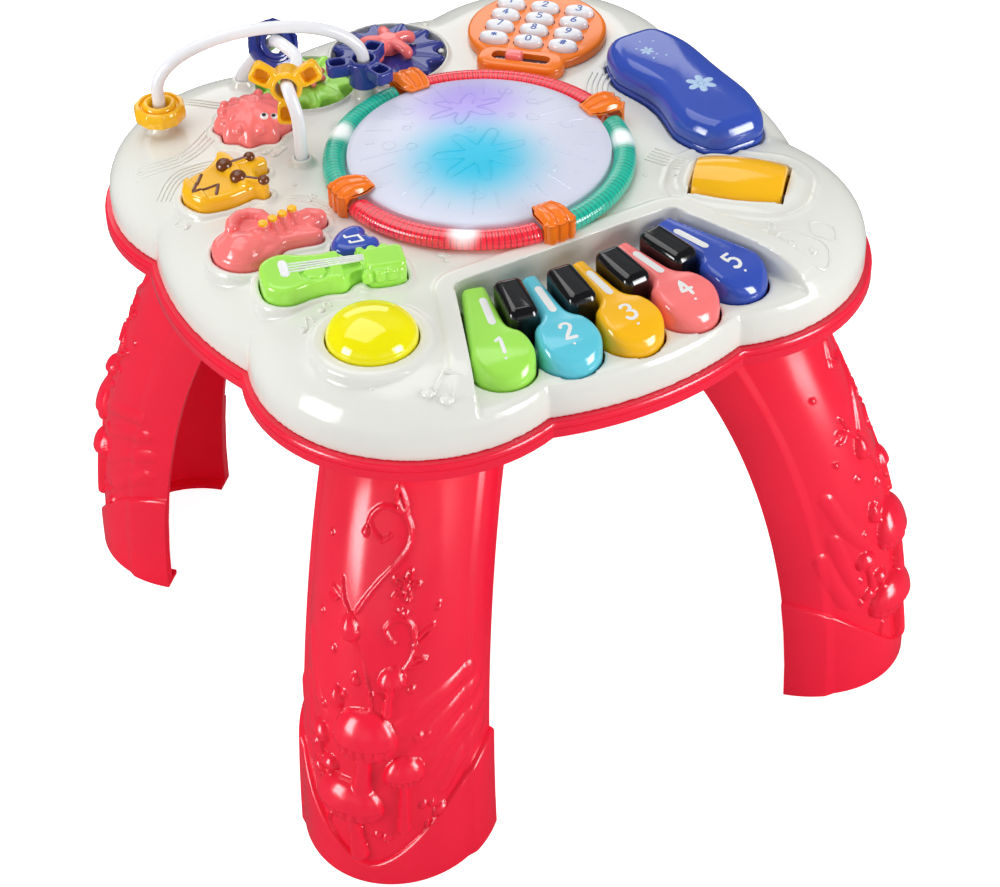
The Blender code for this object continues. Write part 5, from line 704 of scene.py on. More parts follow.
def shell_piece():
    hollow = combine("hollow", [loft("hollow", table_rings(WALL, JOINT - 0.001, SURFACE - WALL, EDGE_RUN))],
                     [prism("tub", well_outline(WALL), WELL_FLOOR - WALL, SURFACE + 0.001)])
    well_mesh = loft("well", [flat_ring(well_outline(-0.0006), WELL_FLOOR - 0.001),
                              flat_ring(well_outline(0.0002), SURFACE + 0.003)])
    well = combine("well", [well_mesh], [loft("low", table_rings(0.0, JOINT, WELL_FLOOR, WELL_EDGE_RUN))])
    buttons = [(moved(HEART_PLAN, HEART_PLACE, HEART_TURN), COLLAR_WIDTH / 2),
               (moved(GUITAR_PLAN, GUITAR_PLACE, GUITAR_TURN), COLLAR_WIDTH),
               (moved(TRUMPET_PLAN, TRUMPET_PLACE, TRUMPET_TURN), COLLAR_WIDTH),
               (moved(DRUM_PLAN, DRUM_PLACE, DRUM_TURN), COLLAR_WIDTH),
               (moved(TURTLE_PLAN, TURTLE_PLACE), COLLAR_WIDTH), (circle(DOME_RADIUS, 72, DOME_PLACE), 0.0080)]
    adds = [soft_rim(outline, collar) for outline, collar in buttons]
    holes = [prism("hole", offset_outline(outline, 0.0006), SURFACE - 0.013, SURFACE + 0.006)
             for outline, _ in buttons]
    # Roller rim, trough, ears and bore
    oval = moved(rounded_box(ROLLER_HALF + ROLLER_COLLAR, ROLLER_RADIUS + ROLLER_COLLAR * 0.6, ROLLER_RADIUS, 12),
                 ROLLER_PLACE, ROLLER_TURN)
    top = SURFACE + 2 * COLLAR_HEIGHT
    adds.append(loft("roller_rim", [
        flat_ring(oval, SURFACE - 0.004), flat_ring(oval, SURFACE - 0.0004),
        flat_ring(offset_outline(oval, -0.0010), SURFACE + 0.0008),
        flat_ring(offset_outline(oval, -0.0022), SURFACE + 0.0011),
        flat_ring(offset_outline(oval, -0.0030), SURFACE + 0.0022),
        flat_ring(offset_outline(oval, -0.0044), top)]))
    outer = moved(rounded_box(ROLLER_HALF + ROLLER_COLLAR + 0.0055, ROLLER_RADIUS + ROLLER_COLLAR * 0.6 + 0.0045,
                              ROLLER_RADIUS + 0.004, 16), ROLLER_PLACE, ROLLER_TURN)
    strip = [Vector((x, y, surf(x, y) - 0.0002)) for x, y in outer]
    adds.append(tube_loop("roller_bead", strip, 0.0011))
    reach = ROLLER_HALF + 0.0012
    shares = [2 * step / 16 - 1 for step in range(17)]
    trough = [(share * reach, -roller_radius(share) - 0.0007) for share in shares]
    trough += [(share * reach, roller_radius(share) + 0.0007) for share in shares[::-1]]
    holes.append(prism("trough", moved(trough, ROLLER_PLACE, ROLLER_TURN), ROLLER_HEIGHT - 0.019, top + 0.002))
    for side in (-1, 1):
        near, far = side * (reach + 0.0003), side * (reach + 0.006)
        ear = moved([(near, -0.006), (far, -0.006), (far, 0.006), (near, 0.006)], ROLLER_PLACE, ROLLER_TURN)
        adds.append(prism("ear", ear, ROLLER_HEIGHT - 0.006, SURFACE - WALL / 2))
    bore = turned("bore", [(0.0024, -reach - 0.0044), (0.0024, reach + 0.0044)], 24)
    bore.transform(ROLLER_FRAME)
    holes.append(bore)
    # Handset cradle
    floor = HANDSET_BOTTOM - 0.0004
    cradle = moved(handset_outline(0.0030), HANDSET_PLACE, 90)
    adds.append(prism("cradle_tub", cradle, floor - WALL, SURFACE - WALL / 2))
    holes.append(prism("cradle", moved(handset_outline(0.0010), HANDSET_PLACE, 90), floor, SURFACE + 0.003))
    # Gear bed
    floor = GEAR_BASE - 0.0003
    adds.append(loft("gear_rim", [
        flat_ring(gear_pair(0.0028), floor - WALL), flat_ring(gear_pair(0.0028), SURFACE),
        flat_ring(gear_pair(0.0024), SURFACE + 0.0010), flat_ring(gear_pair(0.0019), SURFACE + COLLAR_HEIGHT)]))
    holes.append(prism("gear_bed", gear_pair(0.0012), floor, SURFACE + 0.004))
    # Wire collars
    for place in (LONG_A, LONG_B, SHORT_A, SHORT_B):
        high = WIRE_COLLAR_TOP + (PROPELLER_STAND if place == LONG_B else 0)
        collar = [(0.0072, SURFACE - 0.006), (0.0072, SURFACE - 0.0002), (0.0062, SURFACE + 0.0010),
                  (WIRE_COLLAR, SURFACE + 0.0022), (WIRE_COLLAR * 0.92, high - 0.0005), (WIRE_COLLAR * 0.82, high)]
        adds.append(turned("collar", collar, 32, place))
        adds.append(turned("socket", [(WIRE_COLLAR, WIRE_END - WALL), (WIRE_COLLAR, SURFACE)], 24, place))
        bore = [(WIRE + 0.0004, WIRE_END - 0.0004), (WIRE + 0.0004, high + 0.001)]
        holes.append(turned("wire_hole", bore, 24, place))
    pad_hole = [(PAD_RADIUS + 0.0006, SURFACE - 0.004), (PAD_RADIUS + 0.0006, SURFACE + 0.004)]
    holes.append(turned("pad_hole", pad_hole, 120))
    # Openings in the keyboard well's floor
    low, high = WELL_FLOOR - WALL - 0.001, WELL_FLOOR + 0.002
    reach_angle = degrees(asin((KEY_END_HALF + KEY_CLEARANCE) / KEY_BACK))
    half = KEY_PITCH * 2 + reach_angle
    outline = [fan_point(KEY_BACK - 0.0009, half * (2 * s / 16 - 1)) for s in range(17)]
    outline += [fan_point(BLACK_BACK + BLACK_SLOT + 0.0009, half * (1 - 2 * s / 16)) for s in range(17)]
    holes.append(prism("key_slot", outline, low, high))
    for index in range(5):
        angle = KEY_PITCH * (index - 2)
        outline = moved(offset_outline(key_outline(END_SIDES[index]), 0.0010), fan_point(KEY_BACK, angle), angle)
        holes.append(prism("key_hole", outline, low, high))
    # Flat raised border round the keyboard well
    ends = well_outline(0.0004, 10, 0.147)

    def between(a, b, steps):
        return [(a[0] + (b[0] - a[0]) * s / 16, a[1] + (b[1] - a[1]) * s / 16) for s in steps]

    middle = ends[2:]
    back = [((middle[10][0] * (1 - s / 12) + middle[11][0] * s / 12), middle[10][1]) for s in range(1, 12)]
    path = between(ends[1], ends[2], range(16)) + middle[:11] + back + middle[11:]
    path += between(ends[-1], ends[0], range(1, 17))
    border = border_strip(path, 0.0095, 0.0013)
    body = loft("top_shell", table_rings(0.0, JOINT, SURFACE, EDGE_RUN))
    hollow_mesh, well_mesh = hollow.data, well.data
    piece = combine("top_shell", [body, border], [hollow_mesh.copy(), well_mesh.copy()])
    for spare in (hollow, well):
        bpy.data.objects.remove(spare)
    first = piece.data.copy()
    bpy.data.objects.remove(piece)
    piece = combine("top_shell", [first] + adds, holes)
    return piece, shell_relief()


def tube_loop(name, points, radius, sides=10):
    """A closed round bead through points."""
    count = len(points)
    rings = []
    for index, point in enumerate(points):
        along = (points[(index + 1) % count] - points[index - 1]).normalized()
        side = along.cross(Vector((0, 0, 1))).normalized()
        up = side.cross(along)
        rings.append([tuple(point + radius * (cos(2 * pi * s / sides) * side + sin(2 * pi * s / sides) * up))
                      for s in range(sides)])
    return loft(name, rings, closed=True)


def note_glyph(x, y, turn, size, flags=1, double=False):
    """A generic raised musical note: oval head, stem and flag, or two heads under a beam."""
    made = []

    def place(points):
        return moved([(px * size, py * size) for px, py in points], (x, y), turn)

    heads = ((0, 0), (5.5, 0.6)) if double else ((0, 0),)
    for hx, hy in heads:
        cx, cy = place([(hx, hy)])[0]
        made.append(ball("head", 2.0 * size * MM, (cx * MM, cy * MM, surf(cx * MM, cy * MM)), 0.62, 16))
        made.append(relief("stem", place([(hx + 1.6, hy + 0.4), (hx + 1.9, hy + 8.5)]), 0.62 * size, 0, 4))
    if double:
        made.append(relief("beam", place([(1.9, 8.5), (7.4, 9.1)]), 0.95 * size, 0, 4))
    else:
        for flag in range(flags):
            made.append(relief("flag", place([(1.9, 8.4 - 2 * flag), (4.2, 6.9 - 2 * flag), (5.0, 4.6 - 2 * flag)]),
                               0.7 * size, 0, 4))
    return made


def staff(points, lines, pitch, radius=0.5):
    """Parallel raised lines along one plan route in mm."""
    made = []
    route = [Vector((x, y, 0)) for x, y in points]
    for line in range(lines):
        shift = (line - (lines - 1) / 2) * pitch
        moved_route = []
        for index, point in enumerate(route):
            before, after = route[max(index - 1, 0)], route[min(index + 1, len(route) - 1)]
            along = (after - before).normalized()
            moved_route.append((point.x - along.y * shift, point.y + along.x * shift))
        made.append(relief("staff", moved_route, radius))
    return made


# Raised notes, in mm: place, turn, size, number of flags, and whether it is two heads under a beam
NOTES = (
    (-103, -137, -50, 1.45, 1, True), (-131, -74, -20, 1.0), (-118, -66, -20, 0.9, 2), (-80, -68, 10, 0.8, 1, True),
    (-71, -58, -15, 0.7), (-52, -62, 30, 0.75, 2), (84, -118, -40, 0.9), (-140, 30, 40, 1.0),
    (-84, 62, -60, 0.9, 1, True), (-84, 14, -20, 0.7), (74, -64, 25, 0.8), (96, 44, -50, 0.8, 1, True),
    (30, 98, 20, 0.8, 1, True), (40, 128, -25, 0.9))
# Groups of raised lines, in mm: route, number of lines, distance between them and their radius
STAVES = (
    (((-142, 84), (-126, 78), (-112, 82), (-98, 92)), 4, 2.6),
    (((-140, 58), (-128, 66), (-112, 66), (-99, 62)), 4, 2.4),
    (((-106, 134), (-94, 122), (-84, 112), (-72, 106)), 3, 2.4), (((74, -36), (82, -50), (90, -58)), 5, 2.6, 0.6),
    (((78, 20), (84, 30), (92, 38)), 5, 2.6, 0.6), (((-78, 4), (-84, 16), (-92, 22)), 3, 2.2))
# Small round bumps, in mm: place and radius
BUMPS = (
    (90, -131, 2.4), (98, -137, 2.4), (-132, -98, 1.5), (-122, -122, 1.3), (-62, -36, 1.4), (-56, -24, 1.2),
    (-84, 30, 1.4), (-92, 58, 1.3), (62, -50, 1.3), (132, -50, 1.3), (120, -104, 1.5), (28, 140, 1.5),
    (-40, 146, 1.4), (-18, 138, 1.2))


def shell_relief():
    made = [mesh for note in NOTES for mesh in note_glyph(*note)]
    made += [mesh for lines in STAVES for mesh in staff(*lines)]
    # Generic box shapes with round eyes, at the right front
    for x, y, turn, w, h in ((94, -134, -38, 10.5, 6.5), (110, -128, -30, 5, 4)):
        frame_line = moved([(-w, -h), (w, -h), (w, h), (-w, h)], (x, y), turn)
        made.append(relief("frame", frame_line + [frame_line[0]], 0.65, 0, 4))
    for x, y, r in BUMPS:
        made.append(ball("dot", r * MM, (x * MM, y * MM, surf(x * MM, y * MM) - 0.0002), 0.5, 14))
    return made


def joined(piece, meshes):
    """Add closed meshes to a piece's own mesh as they stand."""
    work = bmesh.new()
    work.from_mesh(piece.data)
    for mesh in meshes:
        work.from_mesh(mesh)
        bpy.data.meshes.remove(mesh)
    work.to_mesh(piece.data)
    work.free()
    return piece


shell, shell_lines = shell_piece()
lime_at, lime_pitch, blue_at, blue_pitch = gear_sizes()
for post_at in (lime_at, blue_at):
    shell_lines.append(turned("post", [(0.0032, GEAR_BASE - 0.0020), (0.0032, 0.2716), (0.0030, 0.2718)], 32, post_at))
joined(shell, shell_lines[-2:])
remeshed(shell, M_IVORY, 0.0008, 3, 0.45)
joined(shell, shell_lines[:-2])
show(shell, "table", "ivory_plastic", "top_shell")


# Small raised digits and signs, drawn as strokes in a box 0.6 wide and 1 high
GLYPHS = {
    "0": [[(0.3, 0), (0.15, 0.06), (0.06, 0.25), (0.05, 0.5), (0.06, 0.75), (0.15, 0.94), (0.3, 1), (0.45, 0.94),
           (0.54, 0.75), (0.55, 0.5), (0.54, 0.25), (0.45, 0.06), (0.3, 0)]],
    "1": [[(0.12, 0.78), (0.34, 1), (0.34, 0)]],
    "2": [[(0.05, 0.76), (0.1, 0.9), (0.2, 0.98), (0.32, 1), (0.45, 0.95), (0.53, 0.83), (0.53, 0.68), (0.45, 0.52),
           (0.05, 0), (0.56, 0)]],
    "3": [[(0.06, 0.86), (0.16, 0.97), (0.3, 1), (0.44, 0.95), (0.5, 0.82), (0.47, 0.67), (0.38, 0.57), (0.24, 0.54),
           (0.4, 0.5), (0.51, 0.4), (0.55, 0.27), (0.5, 0.11), (0.38, 0.02), (0.24, 0), (0.1, 0.05), (0.03, 0.15)]],
    "4": [[(0.42, 0), (0.42, 1), (0.03, 0.3), (0.58, 0.3)]],
    "5": [[(0.5, 1), (0.12, 1), (0.08, 0.56), (0.2, 0.62), (0.34, 0.62), (0.47, 0.54), (0.54, 0.4), (0.54, 0.24),
           (0.46, 0.09), (0.33, 0.01), (0.18, 0), (0.05, 0.08)]],
    "6": [[(0.46, 0.98), (0.26, 0.8), (0.12, 0.56), (0.06, 0.3), (0.1, 0.13), (0.2, 0.02), (0.33, 0), (0.46, 0.07),
           (0.54, 0.22), (0.53, 0.38), (0.44, 0.5), (0.3, 0.54), (0.16, 0.48), (0.08, 0.36)]],
    "7": [[(0.04, 1), (0.56, 1), (0.22, 0)]],
    "8": [[(0.3, 0.54), (0.16, 0.62), (0.1, 0.77), (0.16, 0.93), (0.3, 1), (0.44, 0.93), (0.5, 0.77), (0.44, 0.62),
           (0.3, 0.54), (0.13, 0.44), (0.05, 0.27), (0.13, 0.07), (0.3, 0), (0.47, 0.07), (0.55, 0.27), (0.47, 0.44),
           (0.3, 0.54)]],
    "9": [[(0.52, 0.64), (0.44, 0.52), (0.3, 0.46), (0.16, 0.5), (0.07, 0.62), (0.06, 0.78), (0.14, 0.93), (0.27, 1),
           (0.4, 0.98), (0.5, 0.87), (0.54, 0.7), (0.48, 0.44), (0.34, 0.2), (0.14, 0)]],
    "*": [[(0.3, 0.2), (0.3, 0.8)], [(0.06, 0.34), (0.54, 0.66)], [(0.06, 0.66), (0.54, 0.34)]],
    "#": [[(0.18, 0.1), (0.24, 0.9)], [(0.4, 0.1), (0.46, 0.9)], [(0.02, 0.34), (0.56, 0.34)], [(0.06, 0.66),
           (0.6, 0.66)]],
    "O": [[(0.3, 0), (0.05, 0.2), (0.05, 0.8), (0.3, 1), (0.55, 0.8), (0.55, 0.2), (0.3, 0)]],
    "N": [[(0.05, 0), (0.05, 1), (0.55, 0), (0.55, 1)]],
    "F": [[(0.08, 0), (0.08, 1), (0.55, 1)], [(0.08, 0.52), (0.46, 0.52)]]}


def printed(name, strokes, width, height_of, thick=0.00022, lift=0.00003):
    """Flat strokes laid on a surface; height_of gives its height at a plan point."""

    def laid(stroke):
        points = [Vector((x, y, 0)) for x, y in stroke]
        fine = []
        for a, b in zip(points[:-1], points[1:]):
            parts = max(int((b - a).length / 0.0012), 1)
            fine += [a.lerp(b, s / parts) for s in range(parts)]
        fine.append(points[-1])
        mesh = capsule(name, fine, width / 2, 8)
        for vertex in mesh.vertices:
            x, y, z = vertex.co
            vertex.co = (x, y, height_of(x, y) + lift + thick * z / (width / 2))
        return mesh

    return merged(name, (laid(stroke) for stroke in strokes))


def glyph_strokes(text, size, place, turn, spacing=0.78):
    strokes = []
    total = (len(text) - 1) * spacing + 0.6
    for number, letter in enumerate(text):
        for stroke in GLYPHS[letter]:
            flat = [((x + number * spacing - total / 2) * size, (y - 0.5) * size) for x, y in stroke]
            strokes.append(moved(flat, place, turn))
    return strokes


def height_on(piece_mesh, fallback=0.0):
    """A function that gives the top of a mesh at a plan point."""
    work = bmesh.new()
    work.from_mesh(piece_mesh)
    tree = BVHTree.FromBMesh(work)
    work.free()

    def height(x, y):
        hit = tree.ray_cast(Vector((x, y, 0.5)), Vector((0, 0, -1)))[0]
        return hit.z if hit else fallback

    return height


def world_height(piece):
    """The same for a placed piece, in the world."""
    mesh = piece.data.copy()
    mesh.transform(piece.matrix_world)
    height = height_on(mesh, SURFACE)
    bpy.data.meshes.remove(mesh)
    return height


# Red tray
def tray_piece():
    band_low = JOINT - BAND_HEIGHT
    under, thick = band_low - TRAY_DEPTH, 0.002
    floor, seat, lip = under + thick, JOINT - 0.0002, WALL + 0.0002
    levels = [(PAN_INSET + thick, floor), (PAN_INSET + thick - 0.0006, band_low + thick),
              (lip + 0.002, band_low + thick), (lip + 0.002, seat + 0.003), (lip, seat + 0.003), (lip, seat),
              (BAND_EDGE - BAND_REACH, seat),
              (BAND_EDGE * 0.6 - BAND_REACH, seat - 0.0003), (BAND_EDGE * 0.2 - BAND_REACH, seat - 0.0010),
              (-BAND_REACH, seat - 0.0020), (-BAND_REACH, seat - 0.0026), (0.0004 - BAND_REACH, seat - 0.0029),
              (0.0004 - BAND_REACH, seat - 0.0033), (-BAND_REACH, seat - 0.0036),
              (-BAND_REACH, band_low + 0.0012), (0.0003 - BAND_REACH, band_low + 0.0004),
              (0.0012 - BAND_REACH, band_low), (PAN_INSET - 0.0022, band_low), (PAN_INSET - 0.0008, band_low - 0.0006),
              (PAN_INSET - 0.0004, band_low - 0.0020), (PAN_INSET - 0.0002, under + 0.0020),
              (PAN_INSET + 0.0004, under + 0.0006), (PAN_INSET + 0.0020, under)]
    rings = [flat_ring(lobed(inset), z) for inset, z in levels]
    skin = loft("bottom_tray", rings, smooth=40)
    cell_axis = under + 0.0016 + 0.0002 + CELL_RADIUS
    roof = cell_axis + CELL_RADIUS + 0.0002

    def box(length, width, shift=0.0):
        near, far = CELLS_X - length / 2 + shift, CELLS_X + length / 2 + shift
        return [(near, -width / 2), (far, -width / 2), (far, width / 2), (near, width / 2)]

    adds = [prism("box", box(CELL_ROOM + DOOR_TONGUE + 0.010, 0.058, DOOR_SHIFT), floor - 0.001, roof + 0.002),
            turned_ring("seat", [(0.0252, floor - 0.001), (0.0272, floor - 0.001), (0.0272, floor + 0.004),
                                 (0.0252, floor + 0.004)], 64, SPEAKER_PLACE)]
    for x, y in ((0.043, 0.0345), (-0.043, 0.0345), (-0.043, -0.0345), (0.043, -0.0345)):
        adds.append(turned("boss", [(0.0035, floor - 0.001), (0.0035, 0.2512)], 24, (x, y)))
    cuts = [prism("room", box(CELL_ROOM, CELL_ROWS), under - 0.001, roof),
            prism("door", box(CELL_ROOM + DOOR_TONGUE + 0.0064, CELL_ROWS + 0.0064, DOOR_SHIFT),
                  under - 0.001, under + 0.0018)]
    for number in range(6):
        a = 2 * pi * number / 6
        opening = circle(0.0022, 20, (SPEAKER_PLACE[0] + 0.014 * cos(a), 0.014 * sin(a)))
        cuts.append(prism("grille", opening, under - 0.001, floor + 0.001))
    for corner in range(4):
        for side in (-1, 1):
            m = side * HOOK_ACROSS
            slot = [(0.1258, m - 0.0052), (0.1292, m - 0.0052), (0.1292, m + 0.0052), (0.1258, m + 0.0052)]
            cuts.append(prism("slot", moved(slot, (0, 0), 45 + 90 * corner), under - 0.001, floor + 0.001))
    cuts.append(turned("pilot", [(0.0016, under - 0.001), (0.0016, under + 0.0092)], 20, SCREW_PLACE))
    piece = finished(combine("bottom_tray", [skin] + adds, cuts), M_RED, 32)
    show(piece, "table", "red_plastic", "bottom_tray")


tray_piece()


# Legs: one moulded wall with raised plants and mushrooms, made once and turned to the four corners
def leg_point(z, angle, grow):
    share = z / LEG_TOP
    drop = ARCH_RUN * (1 - sqrt(1 - (z / ARCH_RISE) ** 2))
    back = FOOT_BACK - drop
    apex = FOOT_APEX - drop * (1 - 0.22 * share ** 8)
    half = FOOT_HALF + (LEG_TOP_HALF - FOOT_HALF) * share
    return back + (apex + grow - back) * cos(angle), (half + grow) * sin(angle)


# Shapes in mm across and up the leg: caps (place, half width, rise of crown, skirt, height), lines and dots
CAPS = ((-2, 86, 17.5, 17.5, 10, 8.0), (-11.5, 48, 20, 15, 10, 8.0), (19, 67.5, 10.5, 11.5, 6, 6.0),
        (12, 118, 7.2, 8.0, 3.5, 4.6), (-30, 79, 6.5, 7, 4, 4.0), (-22, 66, 5.5, 5.5, 3, 4.0), (38, 40, 5, 5, 3, 2.6))
STALKS = (((-1, 82), (-3, 60), 4.4, 4.6), ((-8, 44), (-5, 19), 4.0, 4.6), ((19, 66), (18.5, 36), 2.6, 3.4),
          ((11, 117), (10, 102), 1.9, 2.6), ((-30, 78), (-28, 64), 1.9, 2.2), ((-22, 65), (-21, 54), 1.8, 2.2),
          ((38, 39), (37, 28), 1.6, 1.8))
BUDS = ((-12.5, 141.5, 5.2, 7.0, 4.4), (-18.5, 105, 4.0, 6.0, 3.6), (-7.5, 117.5, 2.6, 3.2, 2.2),
        (-31, 60, 4.5, 3.6, 3.0))
DOTS = ((-22.5, 127, 2.4), (22, 113.5, 2.2), (26.5, 87.5, 2.6), (31, 88, 2.0), (28.5, 48, 2.4), (33, 47, 1.8),
        (10, 30.5, 2.6), (5, 32, 2.0), (17, 150.5, 1.7), (14, 152.5, 1.3), (-7.5, 184.5, 2.0), (-35, 70, 2.0),
        (-36, 56, 1.8), (-14, 108, 2.0), (-16, 99, 1.8), (-28, 96, 1.8), (16, 162.5, 1.8), (-33, 140, 1.8),
        (34, 150, 1.8), (-30, 176, 1.8))
VINES = (
    ((-9, 149), (-3, 158), (3.5, 166), (11.5, 174), (16, 180), (16.5, 187), (12, 194), (2, 197), (-4.5, 193),
     (-7.5, 185)),
    ((5.5, 184.5), (1.5, 182.5), (-3, 185.5), (-5, 189)), ((14, 192), (8.5, 199), (8.5, 206), (12, 200), (14, 192)),
    ((-13, 147), (-16, 151), (-20, 153.5), (-25, 155)), ((-16, 150), (-18, 156), (-19, 161)),
    ((-20, 153), (-23, 150), (-27, 150)),
    ((-9.5, 136), (-4.5, 127), (-0.5, 114.5), (2, 102)),
    ((12, 137), (9, 140), (7.5, 144.5), (12.5, 148), (19.5, 145.5), (22.5, 138.5), (22, 131), (18.5, 125), (15, 122)),
    ((22, 135), (26, 136), (32, 142), (26, 140), (22.5, 137)), ((20, 126), (24, 128), (29, 127), (24, 125), (20, 125)),
    ((10, 108), (6, 111), (3, 112)), ((24, 24), (30, 30), (30, 36)), ((-20, 24), (-24, 30), (-22, 36)))
FOLDS = (((15, 93), (31, 103), (54, 110)), ((24, 80), (40, 92), (60, 100)), ((32, 68), (46, 80), (64, 88)),
         ((40, 54), (52, 66), (64, 74)), ((-36, 64), (-42, 80), (-46, 98)), ((-28, 90), (-38, 104), (-44, 122)),
         ((-44, 58), (-50, 72), (-54, 88)))


def leg_relief(across, up):
    """The raised plants' height in mm at points given in mm across and up the leg."""
    height = np.zeros_like(across)

    def raise_to(value):
        np.maximum(height, value, out=height)

    for x0, z0, half, crown, skirt, rise in CAPS:
        x, z = (across - x0) / half, up - z0
        top = np.clip(1 - x * x - (np.maximum(z, 0) / crown) ** 2, 0, 1)
        raise_to(np.where(z >= 0, rise * np.sqrt(top), 0))
        low = np.clip(1 - x * x - (np.minimum(z, 0) / skirt) ** 2, 0, 1)
        gills = 1 + 0.10 * np.cos(x * 26)
        raise_to(np.where(z < 0, rise * 0.66 * np.sqrt(low) ** 0.6 * gills, 0))
    for (x0, z0), (x1, z1), wide, rise in STALKS:
        dx, dz = x1 - x0, z1 - z0
        t = np.clip(((across - x0) * dx + (up - z0) * dz) / (dx * dx + dz * dz), 0, 1)
        gap = np.hypot(across - x0 - t * dx, up - z0 - t * dz) / (wide * (0.8 + 0.4 * t * t))
        raise_to(rise * np.sqrt(np.clip(1 - gap ** 2, 0, 1)) ** 0.8)
    for x0, z0, half, tall, rise in BUDS:
        z = (up - z0) / tall
        x = (across - x0) / (half * np.clip(1 - 0.45 * z, 0.3, 1.4))
        raise_to(rise * np.sqrt(np.clip(1 - x * x - z * z, 0, 1)))
    for x0, z0, radius in DOTS:
        gap = np.hypot(across - x0, up - z0) / radius
        raise_to(1.5 * np.sqrt(np.clip(1 - gap ** 2, 0, 1)))
    for lines, radius, rise in ((VINES, 1.05, 1.5), (FOLDS, 4.6, 1.0)):
        for line in lines:
            route = spline([Vector((x, z, 0)) for x, z in line], 5)
            for a, b in zip(route[:-1], route[1:]):
                dx, dz = b.x - a.x, b.y - a.y
                t = np.clip(((across - a.x) * dx + (up - a.y) * dz) / (dx * dx + dz * dz), 0, 1)
                gap = np.hypot(across - a.x - t * dx, up - a.y - t * dz) / radius
                share = np.clip(1 - gap ** 2, 0, 1)
                raise_to(rise * (np.sqrt(share) if radius < 2 else share))
    # Small flower with five petals
    x, z = across - 16, up - 162.5
    petal = 4.6 + 2.6 * np.cos(5 * np.arctan2(z, x))
    raise_to(1.3 * np.sqrt(np.clip(1 - ((np.hypot(x, z) - petal) / 1.0) ** 2, 0, 1)))
    return height


def leg_mesh():
    outer_steps, inner_steps, rows = ((210, 24, 290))
    angles = [-pi / 2 + pi * s / outer_steps for s in range(outer_steps + 1)]
    inner_angles = [pi / 2 - pi * s / inner_steps for s in range(inner_steps + 1)]

    def cuff_top(a):
        return CUFF_LOW + (CUFF_HIGH - CUFF_LOW) * abs(sin(a)) ** 1.6

    def edge(a):
        share = (abs(degrees(a)) - 62) / 5
        return 0.0014 * min(max(share, 0), 1)

    levels = [(0.0, 0.0, CUFF_THICKNESS - 0.0008, SOLE_WIDTH), (0.0, 0.0006, CUFF_THICKNESS - 0.0002, SOLE_WIDTH),
              (0.0, 0.0012, CUFF_THICKNESS, SOLE_WIDTH), (0.0, 0.0025, CUFF_THICKNESS, SOLE_WIDTH),
              (0.0, 0.0027, CUFF_THICKNESS, LEG_WALL), (0.35, 0.0, CUFF_THICKNESS, LEG_WALL),
              (0.7, 0.0, CUFF_THICKNESS, LEG_WALL), (1.0, -0.0024, CUFF_THICKNESS, LEG_WALL),
              (1.0, -0.0016, CUFF_THICKNESS * 0.94, LEG_WALL), (1.0, -0.0009, CUFF_THICKNESS * 0.75, LEG_WALL),
              (1.0, -0.0004, CUFF_THICKNESS * 0.4, LEG_WALL), (1.0, 0.0, 0.0, LEG_WALL)]
    rings = []
    for row in range(len(levels) + rows):
        if row < len(levels):
            share, shift, cuff, inner = levels[row]
            height = lambda a: (cuff_top(a) * share + shift) if share else shift
        else:
            share, cuff, inner = (row - len(levels) + 1) / rows, 0.0, LEG_WALL
            height = lambda a: cuff_top(a) + (LEG_TOP - cuff_top(a)) * share
        outer, inside = [], []
        heights = [height(a) for a in angles]
        scale = 0.5 * (FOOT_HALF + 0.051) / MM
        raised = leg_relief(np.array([scale * a for a in angles]), np.array([z / MM for z in heights]))
        fade = 0.0 if cuff else 1.0
        for a, z, up in zip(angles, heights, raised):
            outer.append((*leg_point(z, a, edge(a) + cuff + fade * float(up) * MM), z))
        for a in inner_angles:
            z = height(a)
            inside.append((*leg_point(z, a, -inner), z))
        rings.append(outer + inside)
    return loft("leg", rings, smooth=0)


def leg_inside():
    """The lid and the two snap hooks at a leg's top."""
    angles = [-pi / 2 + pi * s / 24 for s in range(25)]
    low = LEG_TOP - 0.003
    meshes = [loft("lid", [[(*leg_point(z, a, -0.0008), z) for a in angles] for z in (low, LEG_TOP - 0.0002)])]
    floor_top = LEG_TOP + 0.0002 + 0.002
    for side in (-1, 1):
        tab = [(0.003, low + 0.0015), (0.003, floor_top + 0.0002), (0.0038, floor_top + 0.0002),
               (0.0015, floor_top + 0.0035), (0, floor_top + 0.0035), (0, low + 0.0015)]
        rings = [[(HOOK_DEPTH + depth, across, z) for depth, z in tab]
                 for across in (side * HOOK_ACROSS - 0.005, side * HOOK_ACROSS + 0.005)]
        meshes.append(loft("hook", rings))
    return meshes


LEG_MESH = leg_mesh()
for corner, leg_name in enumerate(("leg_back_right", "leg_back_left", "leg_front_left", "leg_front_right")):
    leg = joined(put(leg_name, LEG_MESH.copy(), None), leg_inside())
    transformed(leg.data, turn=45 + 90 * corner)
    show(finished(leg, M_RED, 50), "table", "red_plastic", leg_name)


